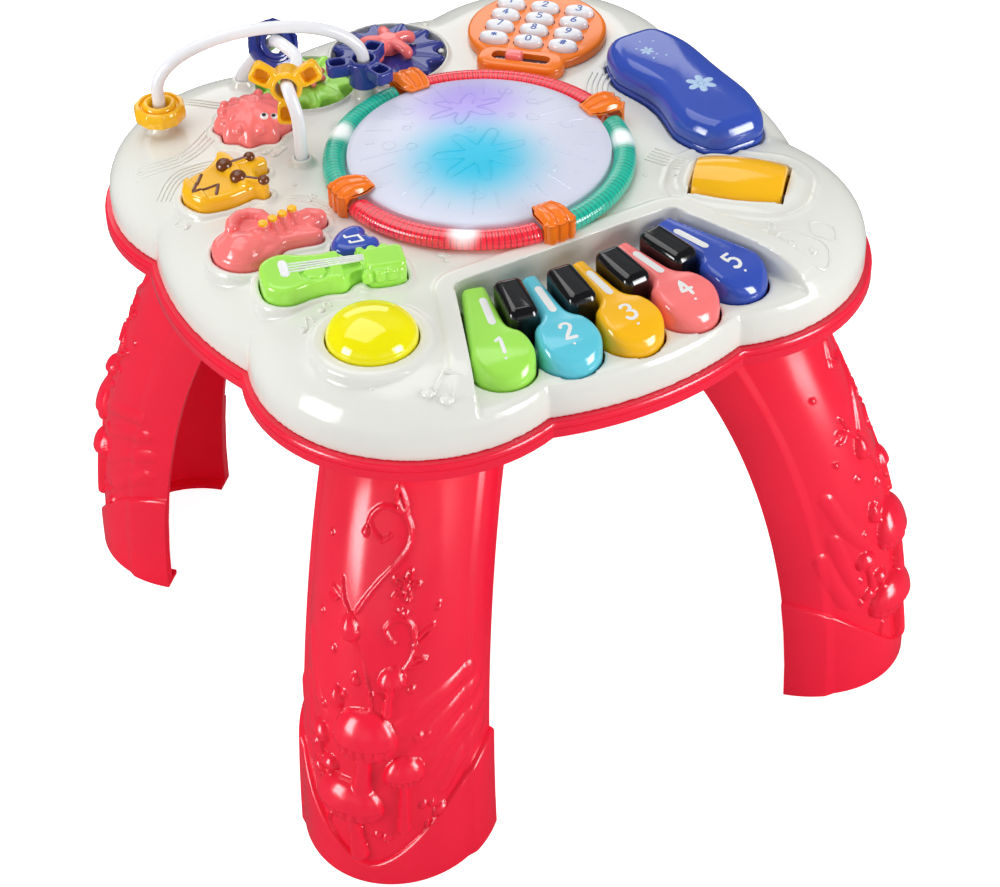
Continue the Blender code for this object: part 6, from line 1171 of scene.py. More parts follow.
# Keys
def colour_key(index, name, material, slot):
    angle = KEY_PITCH * (index - 2)
    nose = KEY_BACK - KEY_FRONT
    base = key_outline(END_SIDES[index])
    edge = 0.0050
    rings = []
    for level in range(9):
        a = pi / 2 * (level - 1) / 7
        inset = 0.0 if level == 0 else edge * (1 - cos(a))
        z = KEY_BOTTOM if level == 0 else KEY_TOP - edge * (1 - sin(a))
        ring = []
        for (x, y), (_, base_y) in zip(offset_outline(base, -inset * 0.72), base):
            share = max(nose - y + 0.006, 0) / KEY_NOSE
            drop = 0 if level == 0 else KEY_DROP * 0.8 * share * share
            ring.append((x, base_y if base_y > -0.0025 else y, z - drop))
        rings.append(ring)
    mesh = loft(name, rings, smooth=40)
    work = bmesh.new()
    work.from_mesh(mesh)

    def crown_rank(face):
        corners = len(face.verts)
        return sum(v.co.z for v in face.verts) / corners + corners * 0.001 if face.normal.z > 0.5 else -1

    top = max(work.faces, key=crown_rank)
    bmesh.ops.triangulate(work, faces=[top], quad_method="BEAUTY", ngon_method="BEAUTY")
    work.to_mesh(mesh)
    work.free()
    hinge, hinge_height = KEY_BACK - 0.1680, 0.2503
    tail = prism("tail", [(-0.004, -0.006), (0.004, -0.006), (0.004, hinge), (-0.004, hinge)],
                 hinge_height, hinge_height + 0.0024)
    barrel = turned("barrel", [(0.0022, -0.0055), (0.0022, 0.0055)], 24)
    barrel.transform(Matrix.Translation((0, hinge, hinge_height)) @ LAID_DOWN)
    place = fan_point(KEY_BACK, angle)
    key = joined(put(name, mesh, material), [tail, barrel])
    transformed(key.data, (*place, 0), angle)
    height = height_on(key.data, KEY_TOP)
    show(key, name, slot, name)
    bar = moved([(0, -0.0100), (0, -0.0270)], place, angle)
    bar_mesh = printed(name + "_bar", [bar], 0.0036, height)
    show(put(name + "_bar", bar_mesh, M_LABEL), name, "white_plastic")
    spot = moved([(0, nose + 0.0028)], place, angle)[0]
    digit = printed(name + "_number", glyph_strokes(str(index + 1), 0.0094, spot, angle), 0.0018, height)
    show(put(name + "_number", digit, M_LABEL), name, "white_plastic")
    dot = moved([(0, nose - 0.0052), (0.0002, nose - 0.0052)], place, angle)
    show(put(name + "_dot", printed(name + "_dot", [dot], 0.0012, height), M_LABEL), name, "white_plastic")


for index, (name, material, slot) in enumerate((
        ("key_lime", M_LIME, "lime_plastic"), ("key_cyan", M_CYAN, "cyan_plastic"),
        ("key_amber", M_AMBER, "amber_plastic"), ("key_coral", M_PINK, "pink_plastic"),
        ("key_blue", M_BLUE, "blue_plastic"))):
    colour_key(index, name, material, slot)


def cad_below(node, height):
    """The part of a CAD node below a height, closed flat."""
    work = bmesh.new()
    work.from_mesh(NODES[node].data)
    bmesh.ops.remove_doubles(work, verts=work.verts, dist=1e-6)
    result = bmesh.ops.bisect_plane(work, geom=work.verts[:] + work.edges[:] + work.faces[:],
                                    plane_co=(0, 0, height), plane_no=(0, 0, 1), clear_outer=True)
    edges = [part for part in result["geom_cut"] if isinstance(part, bmesh.types.BMEdge)]
    bmesh.ops.holes_fill(work, edges=edges)
    mesh = bpy.data.meshes.new(node + "_low")
    work.to_mesh(mesh)
    work.free()
    return mesh


def black_keys():
    front = BLACK_BACK + BLACK_LENGTH
    sector = [fan_point(front, 20 * (2 * s / 24 - 1)) for s in range(25)]
    sector += [fan_point(front + 0.012, 20 * (1 - 2 * s / 24)) for s in range(25)]
    piece = combine("black_keys", [cad_below("black_keys", BLACK_BOTTOM - 0.0001)],
                    [prism("front", sector, 0.2454, BLACK_BOTTOM + 0.001)])
    bodies = []
    for number in range(4):
        angle = KEY_PITCH * (number - 1.5)
        outline = [(x, y - BLACK_LENGTH / 2) for x, y in rounded_box(BLACK_HALF, BLACK_LENGTH / 2, 0.0038, 7)]
        rings = [flat_ring(outline, BLACK_BOTTOM - 0.0001)]
        for step in range(12):
            a = pi / 2 * step / 11
            inset, drop = 0.0042 * (1 - cos(a)), 0.0036 * (1 - sin(a))
            ring = []
            for x, y in offset_outline(outline, -inset):
                fall = max((-y - BLACK_LENGTH * 0.62) / (BLACK_LENGTH * 0.38), 0)
                ring.append((x, y, BLACK_TOP - drop - 0.0022 * fall ** 2))
            rings.append(ring)
        body = loft("black", rings, smooth=40)
        bodies.append(transformed(body, (*fan_point(BLACK_BACK, angle), 0), angle))
    show(finished(joined(piece, bodies), M_BLACK, 50), "table", "black_plastic", "black_keys")


black_keys()


# Lit drum pad: milky skin with a cyan and a violet light under it
def pad_paint(tree, coords, base):
    """Light under the skin: cyan left of the middle, violet behind it, milky towards the rim."""

    def spot(x, y, inner, outer):
        flat = vector_node(tree, "MULTIPLY", coords, (1, 1, 0))
        return range_node(tree, vector_node(tree, "DISTANCE", flat, (x, y, 0)), (inner, outer))

    violet = mix_colour(tree, spot(0.0131, 0.0330, 0.002, 0.046), base, rgb(168, 150, 226))
    return mix_colour(tree, spot(-0.0100, -0.0130, 0.006, 0.050), violet, rgb(36, 190, 222))


M_PAD = plastic("lit_pad", rgb(205, 208, 224), 0.3, 0.0, 0.01, 0.03, glow=0.12, under=0.15, paint=pad_paint)


def pad_height(x, y):
    share = hypot(x, y) / PAD_RADIUS
    return PAD_EDGE_TOP + PAD_CROWN * (1 - share * share) - 0.0002 * max(share - 0.95, 0) / 0.05


def drum_piece():
    under = SURFACE - WALL - 0.0002
    foot, inner_radius = under - 0.0018, PAD_RADIUS - 0.002
    profile = []
    for step in range(12):
        r = inner_radius * (step + 0.4) / 12
        profile.append((r, PAD_EDGE_TOP - 0.002 + PAD_CROWN * (1 - (r / inner_radius) ** 2) - 0.0002))
    profile += [(inner_radius, PAD_EDGE_TOP - 0.003), (inner_radius, foot), (PAD_RADIUS + 0.002, foot),
                (PAD_RADIUS + 0.002, under), (PAD_RADIUS, under), (PAD_RADIUS, PAD_EDGE_TOP - 0.0014),
                (PAD_RADIUS - 0.0002, PAD_EDGE_TOP - 0.0006), (PAD_RADIUS - 0.0008, PAD_EDGE_TOP)]
    for step in range(1, 24):
        r = (PAD_RADIUS - 0.0008) * (1 - step / 24.3)
        profile.append((r, PAD_EDGE_TOP + PAD_CROWN * (1 - (r / PAD_RADIUS) ** 2)))
    stem = turned("stem", [(0.004, 0.2530 + 0.0015 + 0.0004), (0.004, PAD_EDGE_TOP + PAD_CROWN - 0.001)], 24)
    piece = combine("drum_pad", [turned("drum_pad", profile, 144), stem])
    lines = []

    def raised(points, radius, closed, steps):
        route = spline([Vector((x * MM, y * MM, 0)) for x, y in points], steps, closed)
        if closed:
            route.append(route[0].copy())
        laid = [(p.x, p.y, pad_height(p.x, p.y) - 0.00012) for p in route]
        lines.append(capsule("pad_line", laid, radius * MM, 6))

    for step in range(28):
        a = 2 * pi * (step + 0.5) / 28
        start, end = 36 + 7 * (step % 3), 57 - 3 * (step % 2)
        raised([(start * cos(a), start * sin(a)), (end * cos(a), end * sin(a))], 0.42, False, 6)

    def splash(cx, cy, size, arms, turn, stretch):
        points = []
        for step in range(arms * 4):
            a = 2 * pi * step / (arms * 4)
            r = size * (0.66 + 0.34 * cos(arms * a + turn))
            points.append((cx + stretch * r * cos(a), cy + r * sin(a)))
        raised(points, 0.5, True, 4)

    splash(-6, -12, 21, 7, 0.6, 1.15)
    splash(8, 28, 15, 6, 0.2, 1.3)
    for cx, cy, r in ((-34, -6, 4), (-30, 12, 2.6), (-38, 20, 3.4), (-16, 42, 3), (32, 4, 3), (40, 18, 2.6),
                      (34, 34, 3.4), (26, -18, 2.8), (18, -36, 3.6), (-22, -38, 3), (-40, -24, 2.4), (0, 8, 2.2),
                      (24, 10, 1.8), (-24, 28, 2), (44, -8, 3.2), (4, -46, 2.2)):
        raised([(cx + r * cos(2 * pi * s / 8), cy + r * sin(2 * pi * s / 8)) for s in range(8)], 0.4, True, 3)
    show(finished(joined(piece, lines), M_PAD, 45), "drum_pad", "milky_translucent", "drum_pad")


drum_piece()


# Four ribbed light tubes, with painted shade in the grooves between their ribs
def tube_paint(glow_at):
    def paint(tree, coords, base):
        split = tree.nodes.new("ShaderNodeSeparateXYZ")
        link(tree, coords, split.inputs["Vector"])
        angle = math_node(tree, "ARCTAN2", split.outputs["Y"], split.outputs["X"])
        rib = math_node(tree, "FRACT", math_node(tree, "MULTIPLY", angle, 84 / pi))
        from_rib = math_node(tree, "ABSOLUTE", math_node(tree, "SUBTRACT", rib, 0.5))
        # Thin dark lines across the tube between its ribs: painted shade in the rib grooves
        rib_groove_shade = math_node(tree, "LESS_THAN", from_rib, 0.13)
        groove_shade_colour = mix_colour(tree, math_node(tree, "MULTIPLY", rib_groove_shade, 0.45), base, (0.02, 0.02, 0.02))
        shaded = mix_colour(tree, rib_groove_shade, base, groove_shade_colour)
        if glow_at is None:
            return shaded
        away = vector_node(tree, "DISTANCE", coords, (*glow_at, 0.278))
        near = range_node(tree, away, (0.002, 0.011), (0.85, 0.0))
        return mix_colour(tree, near, shaded, (0.98, 0.98, 0.98))

    return paint


def tube_piece(name, quarter, colour, glow_at, slot):
    material = plastic("lit_" + name, colour, 0.1, 0.6, 0.04, 0.02, glow=0.25, under=0.1, paint=tube_paint(glow_at))
    middle, half = (TUBE_INNER + TUBE_OUTER) / 2, (TUBE_OUTER - TUBE_INNER) / 2
    base = SURFACE + RING_THICKNESS + 0.0004
    side = base + (TUBE_TOP - base) * 0.38
    rings, steps = [], 260
    for index in range(steps + 1):
        along = index / steps
        groove = 0.00016 * max(cos(index * pi / 2), 0)
        profile = [(TUBE_INNER + 0.0008, base), (TUBE_OUTER - 0.0008, base), (TUBE_OUTER - groove, base + 0.0008)]
        for step in range(17):
            b = pi * step / 16
            profile.append((middle + (half - groove) * cos(b), side + (TUBE_TOP - side - groove) * sin(b)))
        profile.append((TUBE_INNER + groove, base + 0.0008))
        ring = []
        for r, z in profile:
            clear = asin((CLIP_HALF + 0.0003) / r)
            a = pi / 2 * quarter + clear + (pi / 2 - 2 * clear) * along
            ring.append((r * cos(a), r * sin(a), z))
        rings.append(ring)
    show(put(name, loft(name, rings, smooth=50), material), "table", slot, name)


RED_GLASS, TEAL_GLASS = rgb(236, 44, 62), rgb(30, 176, 150)
tube_piece("tube_back_right", 0, RED_GLASS, None, "red_translucent")
tube_piece("tube_back_left", 1, TEAL_GLASS, (-0.0494, 0.0489), "teal_translucent")
tube_piece("tube_front_left", 2, RED_GLASS, (-0.0400, -0.0567), "red_translucent")
tube_piece("tube_front_right", 3, TEAL_GLASS, (0.0640, -0.0270), "teal_translucent")


def clip_ring():
    base = SURFACE + 0.0002
    flat, ring_inner, ring_outer = base + RING_THICKNESS, TUBE_INNER + 0.0002, TUBE_OUTER - 0.0026
    ring = [(ring_inner, base), (ring_outer, base), (ring_outer, flat), (ring_inner, flat)]
    adds = [turned_ring("ring", ring, 160)]
    over_low = TUBE_TOP + 0.0003
    tip, shoulder = 0.0585, 0.0755
    tip_low = PAD_EDGE_TOP + PAD_CROWN * (1 - (tip / PAD_RADIUS) ** 2) + 0.0006
    arm_low = max(over_low, tip_low)
    outside = [(CLIP_OUTER - 0.0004, base), (CLIP_OUTER, base + 0.004), (CLIP_OUTER, CLIP_TOP - 0.0065),
               (CLIP_OUTER - 0.0012, CLIP_TOP - 0.0030), (CLIP_OUTER - 0.0040, CLIP_TOP - 0.0006),
               (CLIP_OUTER - 0.0085, CLIP_TOP + 0.0004), (0.0655, CLIP_TOP - 0.0002), (0.0615, CLIP_TOP - 0.0012),
               (tip + 0.0006, CLIP_TOP - 0.0030), (tip, tip_low)]
    outside = [(p.x, p.y) for p in spline([Vector((*stop, 0)) for stop in outside], 4)]
    profile = [(TUBE_OUTER + 0.0001, base)] + outside
    profile += [(PAD_RADIUS, tip_low), (TUBE_INNER, arm_low), (TUBE_OUTER - 0.0015, arm_low),
                (TUBE_OUTER + 0.0001, over_low - 0.0015)]
    last = len(outside)
    for quarter in range(4):
        rings = []
        for step in range(41):
            share = 2 * step / 40 - 1
            end = 0.0050 * max((abs(share) - 0.55) / 0.45, 0) ** 2.4
            groove = 0.0009 * max(cos(2 * pi * 1.5 * share + pi), 0) ** 0.6
            ring = []
            for index, (r, z) in enumerate(profile):
                mine = 1 <= index <= last
                rise = min(max((index - 2) / (last * 0.35), 0), 1) if mine else 0
                narrow = 1 - 0.38 * min(max((0.0662 - r) / 0.0077, 0), 1) ** 1.5
                floor = (arm_low if r > PAD_RADIUS else tip_low) + (0.0009 if index < last else 0)
                top = max(z - (end + groove) * rise, floor) if mine and rise else z
                if mine and r > shoulder:
                    r = max(r - (end * 0.7 + groove), TUBE_OUTER + 0.0008)
                ring.append((r, share * CLIP_HALF * narrow, top))
            rings.append(ring)
        adds.append(transformed(loft("claw", rings), turn=90 * quarter))
    show(finished(combine("drum_clip_ring", adds), M_ORANGE, 42), "table", "orange_plastic", "drum_clip_ring")


clip_ring()

# Press buttons
FLANGE_TOP = SURFACE - COLLAR_SINK - 0.0002
FOOT = SURFACE - COLLAR_SINK - 0.0016
FINE = 0.00045


def button_body(name, outline, rise, edge, steps=6):
    flange = prism("flange", offset_outline(outline, 0.0012), FOOT, FLANGE_TOP)
    return [soft_prism(name, outline, FOOT, SURFACE + rise, edge, steps), flange]


def set_button(name, material, slot, at, turn, adds, cuts=(), smooth=4):
    """Mould a button round its own middle, set it in its seat, and return the function of its height."""
    piece = moulded(name, material, adds, cuts, FINE, smooth)
    transformed(piece.data, (*at, 0), turn)
    show(piece, name, slot, name)
    return world_height(piece)


def guitar():
    length, width, rise = GUITAR_LENGTH, GUITAR_WIDTH, 0.0100
    adds = button_body("guitar_button", GUITAR_PLAN, rise, 0.0026)
    top = SURFACE + rise
    # Three tuning pegs on each side of the head, a sound hole and a thinner neck
    peg = [(0.0024, SURFACE + 0.0042), (0.0024, top - 0.0010), (0.0018, top - 0.0002), (0.0008, top)]
    for along in (14.0, 19.5, 25.0):
        for across in (-0.0103, 0.0078):
            adds.append(turned("peg", peg, 24, (along * MM, across)))
    hole = [(0.0050, top - 0.0012), (0.0072, top - 0.0012), (0.0074, top + 0.001), (0.0048, top + 0.001)]
    neck_start, neck_end, neck_half = 0.06 * length, 0.19 * length, 0.6 * width
    neck = [(neck_start, -neck_half), (neck_end, -neck_half), (neck_end, neck_half), (neck_start, neck_half)]
    cuts = [turned_ring("hole", hole, 40, (-0.0085, -0.0035)), prism("neck", neck, top - 0.0022, top + 0.002)]
    head = moved(rounded_box(0.0090, 0.0076, 0.003), (0.36 * length, -0.0014))
    adds.append(soft_prism("head_pad", head, SURFACE, top + 0.0014, 0.0014))
    height = set_button("guitar_button", M_LIME, "lime_plastic", GUITAR_PLACE, GUITAR_TURN, adds, cuts)
    bridge = moved([(-0.33 * length, -0.10 * width), (-0.33 * length, 0.20 * width)], GUITAR_PLACE, GUITAR_TURN)
    show(put("guitar_bridge", printed("guitar_bridge", [bridge], 0.0042, height, 0.0011), M_WHITE), "guitar_button",
         "white_plastic")
    strokes = [moved([(-0.31 * length, across * width), (0.25 * length, (across * 0.6) * width)],
                     GUITAR_PLACE, GUITAR_TURN) for across in (-0.06, 0.01, 0.08, 0.15)]
    strings = printed("guitar_strings", strokes, 0.0009, lambda x, y: top - 0.0001, 0.0006)
    show(put("guitar_strings", strings, M_LABEL), "guitar_button", "white_plastic")


guitar()


def trumpet():
    length, width = TRUMPET_LENGTH, TRUMPET_WIDTH

    def pipe(name, points, radius, sides):
        return capsule(name, [(x, y, SURFACE + z) for x, y, z in points], radius, sides)

    adds = button_body("trumpet_button", TRUMPET_PLAN, 0.0070, 0.0032)
    bell = SURFACE + COLLAR_HEIGHT + 0.002 + 0.0008
    adds.append(ball("bell", 0.186 * length, (-0.27 * length, -0.13 * width, bell), 0.80, 48))
    adds.append(ball("throat", 0.15 * length, (-0.10 * length, -0.10 * width, bell + 0.0002), 0.66, 40))
    # The loop stays clear of the seat's rim when the button is down
    loop = [(-13.5, 9.0), (-11.0, 13.0), (-6.0, 15.4), (-1.0, 14.6), (2.6, 10.4), (3.0, 4.5), (0.5, -1.0)]
    adds.append(pipe("loop", [(x * MM, y * MM, 0.0074) for x, y in loop], 0.0033, 20))
    lead = [(0.0, -0.002, 0.0060), (0.010, -0.001, 0.0062), (0.022, 0.0, 0.0058), (0.0255, -0.003, 0.0055)]
    adds.append(pipe("lead", lead, 0.0038, 20))
    adds.append(pipe("tail", [(0.010, -0.0095, 0.0050), (0.0175, -0.0125, 0.0042)], 0.0026, 16))
    valves = []
    for number in range(4):
        x, y = (-3.4 + 5.6 * number) * MM, (-3.0 + 0.9 * number) * MM
        adds.append(turned("valve", [(0.0027, SURFACE), (0.0026, SURFACE + 0.0100), (0.0024, SURFACE + 0.0124),
                                     (0.0021, SURFACE + 0.0130)], 28, (x, y)))
        side = [(x, y, 0.0100), (x + 0.0008, y - 0.0052, 0.0058), (x + 0.001, y - 0.0070, 0.0040)]
        adds.append(pipe("valve_side", side, 0.0021, 16))
        valves.append((x, y))
    groove = [(-0.0105, 0.0085, 0.0102), (-0.0055, 0.0108, 0.0104), (-0.0012, 0.0085, 0.0102)]
    set_button("trumpet_button", M_PINK, "pink_plastic", TRUMPET_PLACE, TRUMPET_TURN, adds,
               [pipe("groove", groove, 0.0013, 14)])
    for number, place in enumerate(valves):
        x, y = moved([place], TRUMPET_PLACE, TRUMPET_TURN)[0]
        cap = turned("cap", [(0.0021, SURFACE + 0.0122), (0.0023, SURFACE + 0.0134), (0.0021, SURFACE + 0.0141),
                             (0.0014, SURFACE + 0.0143)], 28, (x, y))
        show(put(f"trumpet_valve_{number}", cap, M_AMBER), "trumpet_button", "amber_plastic")


trumpet()


def drum_figure():
    size, rise = DRUM_SIZE, 0.0085
    top = SURFACE + rise
    adds = button_body("drum_button", DRUM_PLAN, rise, 0.0028)
    sticks = (((0.03, 0.14), (0.34, 0.26)), ((0.17, -0.14), (0.46, -0.27)))
    adds += [capsule("stick", [(u * size, v * size, top) for u, v in stick], 0.0021, 16) for stick in sticks]
    head = [(0.10, 0.40), (-0.02, 0.46), (-0.04, 0.30), (0.02, 0.08), (0.10, -0.14), (0.20, -0.30), (0.26, -0.32),
            (0.24, -0.10), (0.20, 0.14)]
    adds.append(soft_prism("head", smooth_outline(head, size, size), SURFACE, top + 0.0016, 0.0014))
    hoop = [(-0.44, -0.28), (-0.40, -0.36), (-0.28, -0.46), (-0.22, -0.44), (-0.30, -0.20), (-0.42, 0.00),
            (-0.48, -0.10)]
    adds.append(soft_prism("hoop", smooth_outline(hoop, size, size), SURFACE, top + 0.0010, 0.0012))
    height = set_button("drum_button", M_AMBER, "amber_plastic", DRUM_PLACE, DRUM_TURN, adds)

    def placed(points):
        return moved([(u * size, v * size) for u, v in points], DRUM_PLACE, DRUM_TURN)

    def painted(name, mesh):
        show(put(name, mesh, M_BROWN), "drum_button", "amber_plastic")

    zigzag = placed([(-0.25, 0.04), (-0.38, -0.34), (-0.07, -0.20), (-0.11, -0.40)])
    painted("drum_zigzag", printed("drum_zigzag", [zigzag], 0.0017, height, 0.0004))
    for number, stick in enumerate(sticks):
        ends = placed(stick)
        for end, (x, y) in enumerate(ends):
            knob = ball("knob", 0.0040 if end == 0 else 0.0028, (x, y, top + 0.0014), 0.8, 28)
            painted(f"drum_knob_{number}_{end}", knob)
        painted(f"drum_rod_{number}", printed("rod", [ends], 0.0016, height, 0.0004))


drum_figure()


def turtle():
    radius, rise = TURTLE_RADIUS, 0.0150
    skirt = SURFACE + COLLAR_HEIGHT + 0.001
    crown = SURFACE + rise - skirt
    rings = [flat_ring(TURTLE_PLAN, FOOT), flat_ring(TURTLE_PLAN, skirt)]
    for step in range(1, 15):
        a = pi / 2 * step / 15
        rings.append([(x * cos(a), y * cos(a), skirt + crown * sin(a)) for x, y in TURTLE_PLAN])
    adds = [loft("turtle", rings), prism("flange", offset_outline(TURTLE_PLAN, 0.0012), FOOT, FLANGE_TOP)]
    top = SURFACE + rise
    disc = (0.02 * radius, 0.10 * radius)
    edge = [(0.0056, top - 0.008), (0.0058, top - 0.0008), (0.0052, top + 0.0001), (0.0040, top + 0.0002)]
    adds.append(turned("disc", edge, 40, disc))
    spiral = []
    for step in range(30):
        a = 4 * pi * step / 29
        r = 0.0006 + 0.0038 * step / 29
        spiral.append((disc[0] + r * cos(a), disc[1] + r * sin(a), top + 0.0002))
    adds.append(capsule("spiral", spiral, 0.0005, 10))
    for number in range(9):
        a = 2 * pi * (number + 0.5) / 9
        place = (0.82 * radius * cos(a), 0.82 * radius * sin(a), skirt + crown * 0.42)
        adds.append(ball("lump", 0.0030, place, 0.9, 20))
    for x, y in ((0.62, 0.30), (0.50, 0.62), (-0.55, 0.55), (-0.72, 0.25), (-0.62, -0.15)):
        adds.append(ball("spike", 0.0024, (x * radius, y * radius, skirt + crown * 0.66), 1.1, 16))
    smile = [(0.40 * radius, -0.82 * radius), (0.12 * radius, -0.88 * radius), (-0.14 * radius, -0.82 * radius)]
    cuts = [capsule("mouth", [(x, y, skirt + crown * 0.78) for x, y in smile], 0.0007, 10)]
    height = set_button("turtle_button", M_PINK, "pink_plastic", TURTLE_PLACE, 0, adds, cuts)
    for number, (dx, dy) in enumerate(((0.08, -0.62), (0.36, -0.62))):
        x, y = TURTLE_PLACE[0] + dx * radius, TURTLE_PLACE[1] + dy * radius
        z = height(x, y)
        eye = ball("eye", 0.0021, (x, y, z - 0.0002), 0.8, 24)
        show(put(f"turtle_eye_{number}", eye, M_WHITE), "turtle_button", "white_plastic")
        pupil = ball("pupil", 0.0011, (x - 0.0003, y - 0.0006, z + 0.0010), 0.8, 20)
        show(put(f"turtle_pupil_{number}", pupil, M_BLACK), "turtle_button", "black_plastic")


turtle()


def heart():
    adds = button_body("mode_button", HEART_PLAN, 0.0065, 0.0040, 8)
    height = set_button("mode_button", M_BLUE, "blue_plastic", HEART_PLACE, HEART_TURN, adds, smooth=5)
    note = [[(-0.0030, -0.0026), (-0.0016, -0.0026)], [(-0.0014, -0.0024), (-0.0012, 0.0034)],
            [(-0.0012, 0.0034), (0.0036, 0.0044)], [(0.0036, 0.0044), (0.0034, -0.0014)],
            [(0.0020, -0.0016), (0.0032, -0.0016)]]
    note = [moved(stroke, HEART_PLACE, HEART_TURN - 20) for stroke in note]
    show(put("mode_mark", printed("mode_mark", note, 0.0013, height), M_LABEL), "mode_button", "white_plastic")


heart()


def dome():
    skirt = SURFACE + COLLAR_HEIGHT + 0.0004
    crown = SURFACE + COLLAR_HEIGHT + DOME_HEIGHT - skirt
    profile = [(DOME_RADIUS + 0.0012, FOOT), (DOME_RADIUS + 0.0012, FLANGE_TOP), (DOME_RADIUS, FLANGE_TOP),
               (DOME_RADIUS, skirt)]
    for step in range(1, 28):
        a = pi / 2 * step / 28.2
        profile.append((DOME_RADIUS * cos(a), skirt + crown * sin(a) ** 0.95))
    show(put("dome_button", turned("dome_button", profile, 96, DOME_PLACE), M_YELLOW), "dome_button", "yellow_plastic",
         "dome_button")


dome()


def roller():
    profile = [(0.0024, -ROLLER_HALF + 0.0004), (ROLLER_END - 0.0016, -ROLLER_HALF),
               (ROLLER_END - 0.0006, -ROLLER_HALF + 0.0004)]
    for step in range(41):
        share = (2 * step / 40 - 1) * 0.965
        profile.append((roller_radius(share), share * ROLLER_HALF))
    profile += [(ROLLER_END - 0.0006, ROLLER_HALF - 0.0004), (ROLLER_END - 0.0016, ROLLER_HALF),
                (0.0024, ROLLER_HALF - 0.0004)]
    mesh = turned_ring("roller", profile, 96)
    mesh.transform(ROLLER_FRAME)
    show(put("roller", mesh, M_AMBER), "roller", "amber_plastic", "roller")


roller()


# Phone
def handset():
    outline = handset_outline()
    levels = ((0.0034, HANDSET_BOTTOM), (0.0018, HANDSET_BOTTOM + 0.0002), (0.0006, HANDSET_BOTTOM + 0.0012),
              (0.0, HANDSET_BOTTOM + 0.0028), (0.0, HANDSET_SEAM - 0.0007), (0.0004, HANDSET_SEAM - 0.0002))
    rings = [flat_ring(offset_outline(outline, -inset), z) for inset, z in levels]
    lower = loft("handset_lower", rings, smooth=50)
    rings = [flat_ring(offset_outline(outline, -0.0004), HANDSET_SEAM), flat_ring(outline, HANDSET_SEAM + 0.0005)]
    rise = HANDSET_TOP - HANDSET_SEAM
    for step in range(14):
        a = pi / 2 * step / 13
        rings.append(flat_ring(offset_outline(outline, -HANDSET_EDGE * (1 - cos(a))),
                               HANDSET_SEAM + rise * (0.22 + 0.78 * sin(a)) - 0.0006 * sin(a)))
    last = rings[-1]
    for share in (0.94, 0.86, 0.76, 0.64, 0.5, 0.3):
        rings.append([(x * share, y * share, HANDSET_TOP + 0.0001 - 0.0007 * share * share) for x, y, _ in last])
    upper = loft("handset_upper", rings, smooth=50)
    for mesh in (lower, upper):
        transformed(mesh, (*HANDSET_PLACE, 0), 90)
    show(put("handset_lower", lower, M_BLUE), "handset", "blue_plastic", "handset_lower")
    show(put("handset_upper", upper, M_BLUE), "handset", "blue_plastic", "handset_upper")
    height = height_on(upper, HANDSET_TOP)
    # Two plain flowers of six petals, and dots round the smaller one
    strokes = []
    for cx, cy, size in ((0.0015, -0.0130, 0.0058), (-0.0045, 0.0265, 0.0028)):
        for petal in range(6):
            a = 2 * pi * petal / 6 + 0.2
            inner = (cx + size * 0.55 * cos(a), cy + size * 0.55 * sin(a))
            strokes.append(([inner, (cx + size * cos(a), cy + size * sin(a))], size * 0.62))
        strokes.append(([(cx, cy), (cx + 0.0001, cy)], size * 0.5))
    for cx, cy in ((-0.0020, 0.0215), (0.0030, 0.0330), (-0.0030, 0.0360), (-0.0080, 0.0310), (0.0012, 0.0180),
                   (-0.0055, 0.0190)):
        strokes.append(([(cx, cy), (cx + 0.0001, cy)], 0.0014))
    prints = merged("handset_print", (
        printed("stroke", [[(HANDSET_PLACE[0] + x, HANDSET_PLACE[1] + y) for x, y in points]], width, height)
        for points, width in strokes))
    show(put("handset_print", prints, M_PALE), "handset", "blue_plastic")


handset()


